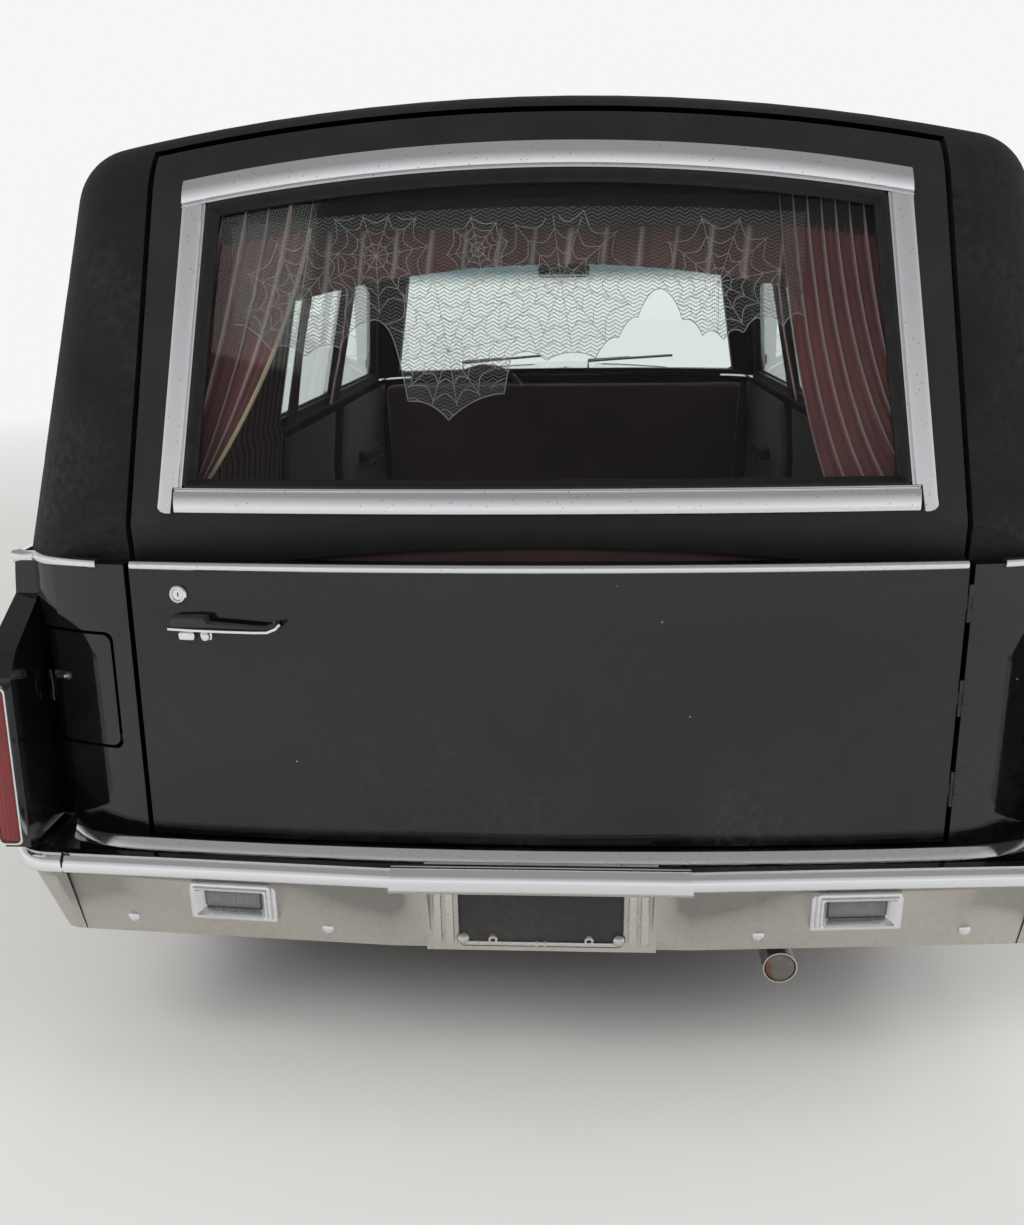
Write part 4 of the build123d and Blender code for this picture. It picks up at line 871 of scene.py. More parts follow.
class Shape:
    """A mesh under construction, in the car's own place."""

    def __init__(self) -> None:
        """Starts empty."""
        self.bm = bmesh.new()

    def grid(
        self, rows: Sequence[Sequence[Sequence[float]]], wrap: bool = False, close: bool = False,
        caps: bool = False,
    ) -> Shape:
        """Faces between rows of points.

        Args:
            rows: Rows with as many points each.
            wrap: Joins each row's last point to its first.
            close: Joins the last row to the first.
            caps: Closes the two ends.

        Returns:
            The shape.
        """
        made = [[self.bm.verts.new(point) for point in row] for row in rows]
        pairs = list(zip(made, made[1:])) + ([(made[-1], made[0])] if close else [])
        for low, high in pairs:
            count = len(low)
            for index in range(count if wrap else count - 1):
                after = (index + 1) % count
                self.bm.faces.new((low[index], low[after], high[after], high[index]))
        if caps:
            self.bm.faces.new(made[0])
            self.bm.faces.new(list(reversed(made[-1])))
        return self

    def sweep(
        self, path: Sequence[Sequence[float]], outs: Sequence[Sequence[float]],
        profile: Sequence[tuple[float, float]], closed: bool = False,
    ) -> Shape:
        """Carries a closed (across, out) outline along a path.

        Args:
            path: Points on the panel; across is to the left of the way they run.
            outs: The panel's outward direction at each.
            profile: The outline.
            closed: Whether the path is a loop.

        Returns:
            The shape.
        """
        points, count, rows = [Vector(p) for p in path], len(path), []
        for index, (point, out) in enumerate(zip(points, outs)):
            before = points[index - 1] if index or closed else point
            after = points[(index + 1) % count] if index < count - 1 or closed else point
            along = (after - before).normalized()
            run = (after - point).normalized() if (after - point).length > 1e-6 else along
            mitre = 1 / max(0.5, along.dot(run))
            across = Vector(out).cross(along).normalized()
            proud = along.cross(across)
            rows.append([point + across * (a * mitre) + proud * o for a, o in profile])
        return self.grid(rows, wrap=True, close=closed, caps=not closed)

    def stack(
        self, place: Place, rings: Sequence[tuple[float, float, float, float]], caps: bool = True,
        steps: int = 7,
    ) -> Shape:
        """Joins rounded outlines that stand above one another.

        Args:
            place: The spot that they stand on.
            rings: Half width, half height, corner and height above the spot of each.
            caps: Closes the first and last.
            steps: Edges in each corner.

        Returns:
            The shape.
        """
        rows = [
            [place.at(a, b, proud) for a, b in rounded_loop(half_w, half_h, corner, steps)]
            for half_w, half_h, corner, proud in rings
        ]
        return self.grid(rows, wrap=True, close=not caps, caps=caps)

    def turned(
        self, place: Place, profile: Sequence[tuple[float, float]], steps: int = 48, close: bool = False,
    ) -> Shape:
        """Turns an outline about a spot's outward axis.

        Args:
            place: The spot; its outward direction is the axis.
            profile: Radius and height above the spot of each point.
            steps: Facets round the axis.
            close: Whether the outline is a loop.

        Returns:
            The shape.
        """
        rows, profile = [], list(profile)
        if not close:
            profile = [(0.0, profile[0][1])] * (profile[0][0] > 1e-6) + profile
            profile += [(0.0, profile[-1][1])] * (profile[-1][0] > 1e-6)
        for step in range(steps):
            angle = math.tau * step / steps
            rows.append([place.at(r * math.cos(angle), r * math.sin(angle), h) for r, h in profile])
        return self.grid(rows, wrap=close, close=True)

    def block(
        self, place: Place, half_w: float, half_h: float, low: float, high: float, soft: float = 0.002,
    ) -> Shape:
        """A block with softened rims, standing on a spot.

        Args:
            place: The spot.
            half_w: Half its width.
            half_h: Half its height.
            low: Where it starts, outwards.
            high: Where it ends, outwards.
            soft: How much its rims are rounded.

        Returns:
            The shape.
        """
        return self.stack(place, [
            (half_w, half_h, soft * 2, low), (half_w, half_h, soft * 2, high - soft),
            (half_w - soft * 0.3, half_h - soft * 0.3, soft * 2, high - soft * 0.3),
            (half_w - soft, half_h - soft, soft * 1.5, high),
        ], steps=3)

    def tube(
        self, path: Sequence[Sequence[float]], radius: float, steps: int = 10, taper: float = 1.0,
    ) -> Shape:
        """A round bar along a path.

        Args:
            path: Its middle line.
            radius: Its radius at the start.
            steps: Facets round it.
            taper: Its end's radius, as a share of the start's.

        Returns:
            The shape.
        """
        points, rows = [Vector(p) for p in path], []
        side = None
        for index, point in enumerate(points):
            along = (points[min(index + 1, len(points) - 1)] - points[max(index - 1, 0)]).normalized()
            if side is None:
                side = along.orthogonal().normalized()
            side = (side - along * side.dot(along)).normalized()
            up = along.cross(side)
            reach = radius * (1 + (taper - 1) * index / max(1, len(points) - 1))
            rows.append([
                point + (side * math.cos(math.tau * i / steps) + up * math.sin(math.tau * i / steps)) * reach
                for i in range(steps)
            ])
        return self.grid(rows, wrap=True, caps=True)

    def both_sides(self) -> Shape:
        """Adds the mirror image across the car's middle."""
        made = bmesh.ops.duplicate(
            self.bm, geom=self.bm.verts[:] + self.bm.edges[:] + self.bm.faces[:],
        )["geom"]
        for vert in (item for item in made if isinstance(item, bmesh.types.BMVert)):
            vert.co.x = -vert.co.x
        bmesh.ops.reverse_faces(
            self.bm, faces=[item for item in made if isinstance(item, bmesh.types.BMFace)],
        )
        return self

    def copy(self) -> Shape:
        """The same shape again."""
        made = Shape()
        made.bm = self.bm.copy()
        return made

    def mesh(self, solid: bool = True) -> bpy.types.Mesh:
        """The cleaned mesh.

        Args:
            solid: Whether its faces can be turned outwards by themselves.

        Returns:
            The mesh.
        """
        bmesh.ops.remove_doubles(self.bm, verts=self.bm.verts[:], dist=2e-5)
        bmesh.ops.dissolve_degenerate(self.bm, edges=self.bm.edges[:], dist=1e-5)
        if solid:
            bmesh.ops.recalc_face_normals(self.bm, faces=self.bm.faces[:])
        made = bpy.data.meshes.new("shape")
        self.bm.to_mesh(made)
        self.bm.free()
        return made

    def finish(
        self, name: str, finish: Finish, body: str = Body.MAIN, stands_for: Sequence[str] = (),
        angle: float = 35.0, solid: bool = True,
    ) -> bpy.types.Object:
        """Ends the shape as a piece of the car.

        Args:
            name: The piece's name.
            finish: Its finish.
            body: The body that it rides on.
            stands_for: Solids that it replaces.
            angle: Edges sharper than this stay sharp.
            solid: Whether its faces can be turned outwards by themselves.

        Returns:
            The piece.
        """
        return place_mesh(self.mesh(solid), name, finish, body, stands_for, angle)


class Skin:
    """Finds the surface of carried-over solids."""

    def __init__(self, *names: str) -> None:
        """Reads the solids' faces.

        Args:
            names: The solids.
        """
        points, faces = [], []
        for name in names:
            mesh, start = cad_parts[name].data, len(points)
            points += [vert.co.copy() for vert in mesh.vertices]
            faces += [[start + corner for corner in face.vertices] for face in mesh.polygons]
        self.tree = BVHTree.FromPolygons(points, faces)

    def hit(self, origin: Sequence[float], way: Sequence[float]) -> tuple[Vector, Vector] | None:
        """The first surface along a line.

        Args:
            origin: Where the line starts.
            way: Its direction.

        Returns:
            The point and the direction that faces the line's start, or nothing.
        """
        way = Vector(way).normalized()
        point, normal, _, _ = self.tree.ray_cast(Vector(origin), way)
        if point is None:
            return None
        return point, (normal if normal.dot(way) < 0 else -normal)

    def place(self, origin: Sequence[float], way: Sequence[float]) -> Place | None:
        """The place where a ray meets the skin, facing off it."""
        found = self.hit(origin, way)
        return Place.facing(found[0], found[1]) if found else None

    def trace(
        self, origins: Iterable[Sequence[float]], way: Sequence[float],
    ) -> tuple[list[Vector], list[Vector]]:
        """The surface along many lines, with its directions smoothed.

        Args:
            origins: Where the lines start.
            way: Their direction.

        Returns:
            The points and the outward directions of those that met it.
        """
        found = [spot for spot in (self.hit(origin, way) for origin in origins) if spot]
        points = [spot[0] for spot in found]
        outs = []
        for index in range(len(found)):
            near = [found[i][1] for i in range(max(0, index - 1), min(len(found), index + 2))]
            outs.append(sum(near, Vector()).normalized())
        return points, outs

    def side(
        self, line: Iterable[tuple[float, float]], right: bool = True,
    ) -> tuple[list[Vector], list[Vector]]:
        """A side's surface along (Y, Z) points."""
        sign = 1 if right else -1
        return self.trace([(1.4 * sign, y, z) for y, z in line], (-sign, 0, 0))


class Repeat:
    """Copies a small item in a row or round a ring with Geometry Nodes."""

    def __init__(self) -> None:
        """Builds the tree once."""
        found = bpy.data.node_groups.get("row_or_ring")
        self.tree = found or self.build()

    def build(self) -> bpy.types.NodeTree:
        """The tree: a line of points, an item on each, turned a little more each time."""
        tree = bpy.data.node_groups.new("row_or_ring", "GeometryNodeTree")
        tree.interface.new_socket("Geometry", in_out="INPUT", socket_type="NodeSocketGeometry")
        for name, kind in (
            ("Item", "Object"), ("Material", "Material"), ("Count", "Int"), ("Start", "Vector"),
            ("Step", "Vector"), ("Turn", "Vector"), ("First Turn", "Vector"),
        ):
            tree.interface.new_socket(name, in_out="INPUT", socket_type=f"NodeSocket{kind}")
        tree.interface.new_socket("Geometry", in_out="OUTPUT", socket_type="NodeSocketGeometry")
        nodes, links = tree.nodes, tree.links
        start, end = nodes.new("NodeGroupInput"), nodes.new("NodeGroupOutput")
        line = nodes.new("GeometryNodeMeshLine")
        item = nodes.new("GeometryNodeObjectInfo")
        index = nodes.new("GeometryNodeInputIndex")
        turn = nodes.new("ShaderNodeVectorMath")
        turn.operation = "MULTIPLY_ADD"
        place = nodes.new("GeometryNodeInstanceOnPoints")
        real = nodes.new("GeometryNodeRealizeInstances")
        dress = nodes.new("GeometryNodeSetMaterial")
        for source, target in (
            (start.outputs["Count"], line.inputs["Count"]),
            (start.outputs["Start"], line.inputs["Start Location"]),
            (start.outputs["Step"], line.inputs["Offset"]),
            (start.outputs["Item"], item.inputs["Object"]),
            (index.outputs[0], turn.inputs[0]),
            (start.outputs["Turn"], turn.inputs[1]),
            (start.outputs["First Turn"], turn.inputs[2]),
            (line.outputs["Mesh"], place.inputs["Points"]),
            (item.outputs["Geometry"], place.inputs["Instance"]),
            (turn.outputs[0], place.inputs["Rotation"]),
            (place.outputs["Instances"], real.inputs["Geometry"]),
            (real.outputs["Geometry"], dress.inputs["Geometry"]),
            (start.outputs["Material"], dress.inputs["Material"]),
            (dress.outputs["Geometry"], end.inputs["Geometry"]),
        ):
            links.new(source, target)
        return tree

    def row(
        self, item: Shape, finish: Finish, count: int, start: Sequence[float],
        step: Sequence[float] = (0, 0, 0), turn: Sequence[float] = (0, 0, 0),
        first: Sequence[float] = (0, 0, 0),
    ) -> bpy.types.Mesh:
        """One row or ring.

        Args:
            item: The item, about the origin.
            finish: Its finish.
            count: How many.
            start: The first one's place.
            step: From each to the next.
            turn: How much each is turned more than the last, in radians about each axis.
            first: How much the first is turned.

        Returns:
            The row as a plain mesh.
        """
        holder = bpy.data.objects.new("repeat_holder", bpy.data.meshes.new("repeat_holder"))
        pattern = bpy.data.objects.new("repeat_item", item.mesh())
        for made in (holder, pattern):
            bpy.context.collection.objects.link(made)
        modifier = holder.modifiers.new("repeat", "NODES")
        modifier.node_group = self.tree
        values = {
            "Item": pattern, "Material": finish.material, "Count": count, "Start": tuple(start),
            "Step": tuple(step), "Turn": tuple(turn), "First Turn": tuple(first),
        }
        for socket in self.tree.interface.items_tree:
            if socket.in_out == "INPUT" and socket.name in values:
                modifier[socket.identifier] = values[socket.name]
        graph = bpy.context.evaluated_depsgraph_get()
        mesh = bpy.data.meshes.new_from_object(holder.evaluated_get(graph))
        for made in (holder, pattern):
            bpy.data.objects.remove(made)
        return mesh

    def piece(
        self, name: str, body: str, finish: Finish, rows: Sequence[bpy.types.Mesh],
        place: Matrix | None = None,
    ) -> bpy.types.Object:
        """Rows joined as one piece.

        Args:
            name: The piece's name.
            body: The body that it rides on.
            finish: Its finish.
            rows: The rows' meshes.
            place: Where they go, for rows that are made about the origin.

        Returns:
            The piece.
        """
        shape = Shape()
        for mesh in rows:
            shape.bm.from_mesh(mesh)
        if place is not None:
            shape.bm.transform(place)
        return shape.finish(name, finish, body)


def tail_bow(x: float) -> float:
    """How far the tail's plan curves in at a place across."""
    return TAIL_CROWN_R - math.sqrt(TAIL_CROWN_R**2 - x * x)


def tail_y(x: float, z: float) -> float:
    """The tail's outer face at a place across and up, between its corners."""
    if z > BELT:
        return -3.083 + 0.223 * (z - WAIST_Z) / 0.91 + tail_bow(x)
    return -3.073 - 0.07 * (BELT - z) + tail_bow(x)


def tail_out(x: float, z: float) -> Vector:
    """The tail face's outward direction."""
    lean = 0.245 if z > BELT else 0.07
    return Vector((x / math.sqrt(TAIL_CROWN_R**2 - x * x), -1.0, lean)).normalized()


def tail_spot(x: float, z: float) -> Place:
    """A spot on the tail face."""
    return Place.facing((x, tail_y(x, z), z), tail_out(x, z))


@dataclass(frozen=True)
class Pane:
    """The tail window's outline: straight leaning sides under an arch."""

    low: float = 1.163
    low_half: float = 0.628
    lean: float = 0.125
    arch_r: float = 3.6325
    top: float = 1.672
    slant: float = 1.0078

    def side(self, z: float, grow: float = 0.0) -> float:
        """Half the width at a height, grown outwards."""
        return self.low_half + grow * self.slant - (z - self.low) * self.lean

    def arch(self, x: float, grow: float = 0.0) -> float:
        """The arch's height at a place across, grown outwards."""
        return self.top - self.arch_r + math.sqrt((self.arch_r + grow) ** 2 - x * x)

    def corner(self, grow: float, arch_grow: float) -> tuple[float, float]:
        """Where a grown side meets a grown arch."""
        x = self.side(1.63, grow)
        for _ in range(6):
            x = self.side(self.arch(x, arch_grow), grow)
        return x, self.arch(x, arch_grow)

    def loop(self, grow: float = 0.0, corner: float = 0.02) -> list[tuple[float, float]]:
        """The whole outline, anticlockwise from its lower left."""
        x_top, _ = self.corner(grow, grow)
        low = self.low - grow
        arch = [(x_top * (1 - 2 * i / 20), self.arch(x_top * (1 - 2 * i / 20), grow)) for i in range(21)]
        return rounded_path([(-self.side(low, grow), low), (self.side(low, grow), low), *arch], corner)


@dataclass
class TailTrim:
    """What sits on the tail door: window frame, gasket, strips, handle and lock."""

    pane: Pane = Pane()
    band: float = 0.044
    strip_w: float = 0.0155
    strip_half: float = 0.731
    strip_z: float = 1.0300
    butt: float = 0.016

    def build(self) -> None:
        """Makes every piece of the tail door's trim."""
        self.window_frame()
        self.gasket()
        self.belt_strip()
        self.handle()
        self.lock()
        self.inner_panel()

    def face(self) -> list[tuple[float, float]]:
        """The frame bars' cross section from the pane outwards."""
        return [
            (0.0, -0.016), (0.0, 0.0030), (0.0008, 0.0044), (0.0030, 0.0046), (0.0042, 0.0032),
            (0.0052, 0.0030), (0.0070, 0.0062), (0.0090, 0.0070), (0.0180, 0.0084), (0.0260, 0.0087),
            (0.0340, 0.0080), (0.0395, 0.0068), (0.0425, 0.0044), (self.band, 0.0006), (self.band, -0.016),
        ]

    def on_tail(self, x: float, z: float, proud: float) -> Vector:
        """A point proud of the tail face."""
        return tail_spot(x, z).at(0, 0, proud)

    def window_frame(self) -> None:
        """The bright frame: a full-width arched top, two sides that butt under it, and a bottom bar."""
        bars, pane = Shape(), self.pane
        ends = {a: pane.corner(self.band - 0.001, a)[0] for a, _ in self.face()}
        bars.grid([
            [self.on_tail(ends[a] * s / 24, pane.arch(ends[a] * s / 24, a), o) for a, o in self.face()]
            for s in range(-24, 25)
        ], wrap=True, caps=True)
        section = []
        for (a, o), (b, p) in zip(self.face(), self.face()[1:]):
            section.append((a, o))
            if a < self.butt <= b:
                mix = (self.butt - a) / (b - a)
                section += [(self.butt - 0.0001, o + (p - o) * mix), (self.butt, o + (p - o) * mix)]
        section.append(self.face()[-1])
        for side in (-1, 1):
            rows = []
            for step in range(33):
                row = []
                for a, o in section:
                    top = pane.corner(a, 0.0)[1] - 0.0007
                    if a < self.butt:
                        low = pane.low
                    else:
                        low = pane.low - self.band
                        low += 0.02 - math.sqrt(max(0.0, 0.02**2 - max(0.0, a - self.band + 0.02) ** 2))
                    z = low + (top - low) * step / 32
                    row.append(self.on_tail(side * pane.side(z, a), z, o))
                rows.append(row)
            bars.grid(rows, wrap=True, caps=True)
        reach = pane.low_half + self.butt - 0.0006
        bars.grid(
            [[self.on_tail(reach * s / 16, pane.low - a, o) for a, o in self.face()] for s in range(-16, 17)],
            wrap=True, caps=True,
        )
        bars.finish("tail_window_frame", Finish.CHROME, Body.TAIL, ["tail_frame"], 32)

    def gasket(self) -> None:
        """The black rubber between the frame and the glass."""
        loop = divided(self.pane.loop(0.0006, 0.012), 0.05, closed=True)
        path = [self.on_tail(p.x, p.y, 0) for p in loop]
        outs = [tail_out(p.x, p.y) for p in loop]
        profile = [
            (0.0, 0.0030), (0.0035, 0.0040), (0.0065, 0.0018), (0.0110, -0.0090), (0.0175, -0.0150),
            (0.0180, -0.0196), (0.0, -0.0196),
        ]
        Shape().sweep(path, outs, profile, closed=True).finish("tail_window_gasket", Finish.GASKET, Body.TAIL)

    def belt_strip(self) -> None:
        """The bright strip across the door at the belt."""
        count = 24
        xs = [self.strip_half * (2 * i / count - 1) for i in range(count + 1)]
        path = [Vector((x, tail_y(x, self.strip_z), self.strip_z)) for x in xs]
        outs = [tail_out(x, BELT - 0.001) for x in xs]
        Shape().sweep(path, outs, crown(self.strip_w, 0.0065)).finish(
            "tail_belt_strip", Finish.CHROME, Body.TAIL,
        )

    def handle(self) -> None:
        """The dark grip in its angular escutcheon, with a bright lower edge and a push button."""
        base = tail_spot(-0.552, 0.93)
        grip = Shape()
        sections = [
            (-0.108, -0.0050, 0.0090, 0.001, 0.020), (-0.103, -0.0062, 0.0132, 0.001, 0.027),
            (-0.060, -0.0062, 0.0150, 0.001, 0.029), (-0.040, -0.0062, 0.0140, 0.001, 0.029),
            (-0.034, -0.0064, 0.0052, 0.011, 0.028), (0.030, -0.0076, 0.0010, 0.014, 0.027),
            (0.066, -0.0086, -0.0010, 0.012, 0.025), (0.076, -0.0086, 0.0010, 0.001, 0.023),
            (0.090, -0.0070, 0.0050, 0.001, 0.017),
        ]
        grip.grid([
            [base.at(x, b, proud) for b, proud in (
                (low, back), (low + 0.001, front - 0.002), (low + 0.003, front), (high - 0.003, front),
                (high - 0.0008, front - 0.003), (high, back),
            )]
            for x, low, high, back, front in sections
        ], wrap=True, caps=True)
        grip.finish("tail_handle_grip", Finish.PLASTIC, Body.TAIL, ["tail_handle"])
        edge = Shape()
        line = [
            (-0.108, -0.0080, 0.0245), (-0.060, -0.0088, 0.0290), (0.000, -0.0098, 0.0290),
            (0.050, -0.0106, 0.0270), (0.074, -0.0104, 0.0250), (0.088, -0.0050, 0.0220),
            (0.096, 0.0030, 0.0190),
        ]
        edge.sweep(
            [base.at(*p) for p in line], [base.out] * len(line),
            mirrored([(-0.0032, -0.014), (-0.0036, -0.001), (-0.002, 0.0028)]),
        )
        edge.block(Place.facing(base.at(-0.0785, -0.0225), base.out), 0.0150, 0.0075, -0.004, 0.018)
        edge.block(Place.facing(base.at(-0.0440, -0.0225), base.out), 0.0110, 0.0080, -0.004, 0.012)
        button = Place.facing(base.at(-0.0440, -0.0225, 0.011), base.out)
        edge.turned(button, [
            (0.0, 0.0080), (0.0050, 0.0078), (0.0078, 0.0062), (0.0086, 0.0030), (0.0086, -0.001),
        ], 24)
        edge.finish("tail_handle_plate", Finish.CHROME, Body.TAIL, angle=40)

    def lock(self) -> None:
        """The round lock, with a thin dark block on its face painted as the keyway's shade."""
        spot = tail_spot(-0.6445, 0.980)
        made = Shape()
        made.turned(spot, [
            (0.0, 0.0050), (0.0085, 0.0052), (0.0090, 0.0042), (0.0100, 0.0042), (0.0112, 0.0074),
            (0.0140, 0.0080), (0.0162, 0.0058), (0.0168, 0.0), (0.0168, -0.002),
        ], 40)
        made.finish("tail_lock", Finish.CHROME, Body.TAIL)
        # A thin dark block standing proud of the lock's face: painted shade where the keyway's slot is.
        slot = Shape().block(
            Place.facing(spot.at(0, 0, 0.0046), spot.out), 0.0011, 0.0042, 0.0, 0.0009, 0.0003,
        )
        slot.finish("tail_keyway", Finish.GASKET, Body.TAIL)

    def inner_panel(self) -> None:
        """The trim board inside the door, with its pull and seams."""
        board = Shape()
        for low, high, half in ((0.60, 0.93, 0.66), (0.945, 1.10, 0.67)):
            rows, profile = [], [
                (low, 0, 0), (low, 0.012, 0.008), (low + 0.02, 0.017, 0.010),
                ((low + high) / 2, 0.020, 0.012), (high - 0.02, 0.017, 0.010), (high, 0.012, 0.008),
                (high, 0, 0),
            ]
            for i in range(25):
                x = half * (2 * i / 24 - 1)
                y = -3.0 + tail_bow(x)
                rim = max(0.0, abs(x) - half + 0.03) / 0.03
                rows.append([(x, y + proud - cut * rim, z) for z, proud, cut in profile])
            board.grid(rows, wrap=True, caps=True)
        board.finish("tail_door_board", Finish.LINER, Body.TAIL)
        pull = Shape().tube([
            (-0.26, -2.985, 0.80), (-0.25, -2.955, 0.80), (-0.06, -2.952, 0.80), (-0.05, -2.982, 0.80),
        ], 0.009)
        pull.finish("tail_door_pull", Finish.CHROME, Body.TAIL)


@dataclass
class LowerTail:
    """What sits on the body under and beside the tail door."""

    moulding_z: float = 0.4980
    moulding_h: float = 0.0225
    half: float = 0.932

    def build(self) -> None:
        """Makes the moulding, lamps' bezels and flap details."""
        self.moulding()
        self.lamp_bezels()
        self.flap()
        self.exhaust_tip()

    def moulding(self) -> None:
        """The bright moulding under the door, over the bumper."""
        skin = Skin("body_lower")
        xs = [self.half * (2 * i / 60 - 1) for i in range(61)]
        path, outs = skin.trace([(x, -3.6, self.moulding_z) for x in xs], (0, 1, 0))
        h = self.moulding_h
        profile = [
            (-h / 2, -0.004), (-h / 2, 0.0095), (-h * 0.42, 0.0112), (h * 0.40, 0.0042), (h / 2, 0.0015),
            (h / 2, -0.004),
        ]
        Shape().sweep(path, outs, profile).finish("tail_lower_moulding", Finish.CHROME)

    def lamp_bezels(self) -> None:
        """A bright frame and ribbed red face over each upright tail lamp."""
        bezel, lens = Shape(), Shape()
        spot = Place.facing((0.966, -3.1470, 0.6865), (0, -1, 0.085))
        rings = [
            (0.0235, 0.1490, 0.012, -0.014), (0.0235, 0.1490, 0.012, 0.010), (0.0222, 0.1477, 0.011, 0.0120),
            (0.0200, 0.1455, 0.010, 0.0120), (0.0185, 0.1440, 0.009, 0.0095), (0.0185, 0.1440, 0.009, -0.014),
        ]
        bezel.stack(spot, rings, caps=False).both_sides()
        bezel.finish("tail_lamp_bezels", Finish.CHROME)
        lens.stack(spot, [
            (0.0182, 0.1436, 0.009, -0.010), (0.0182, 0.1436, 0.009, 0.0078), (0.0150, 0.1400, 0.008, 0.0100),
            (0.0060, 0.1300, 0.005, 0.0112),
        ])
        lens.both_sides().finish("tail_lamp_lenses", Finish.RED_LENS, stands_for=["tail_lamps"])

    def flap(self) -> None:
        """The fuel flap's catch."""
        skin = Skin("fuel_flap")
        spot = skin.place((-0.895, -3.6, 0.815), (0, 1, 0))
        if not spot:
            return
        catch = Shape()
        catch.stack(spot, [
            (0.019, 0.0085, 0.006, -0.003), (0.019, 0.0085, 0.006, 0.0026), (0.0165, 0.0062, 0.005, 0.0036),
            (0.0160, 0.0058, 0.004, 0.0020),
        ])
        catch.stack(spot, [
            (0.0125, 0.0036, 0.003, 0.0010), (0.0130, 0.0040, 0.003, 0.0062),
            (0.0115, 0.0030, 0.0028, 0.0076),
        ])
        catch.finish("fuel_flap_catch", Finish.DULL_CHROME, Body.FUEL)

    def exhaust_tip(self) -> None:
        """The bright sleeve on the tail pipe's end, and a near-black disc in its mouth: the pipe's soot and
        the painted shade of its hollow.
        """
        spot = Place.facing((0.45, -3.108, 0.27), (0, -1, 0))
        tip = Shape().turned(spot, [
            (0.0275, -0.105), (0.0292, -0.105), (0.0315, -0.095), (0.0315, -0.004), (0.0325, 0.0),
            (0.0322, 0.0035), (0.0300, 0.0040), (0.0285, 0.001), (0.0280, -0.020),
        ], 40, close=True)
        tip.finish("exhaust_tip", Finish.DULL_CHROME)
        # Near-black disc flush with the mouth: soot, with the hollow's shade painted in.
        soot_and_shade = Shape().turned(spot, [(0.0, 0.0008), (0.0200, 0.0008), (0.0272, 0.0012), (0.0278, -0.004)], 32)
        soot_and_shade.finish("exhaust_soot", Finish.SOOT)


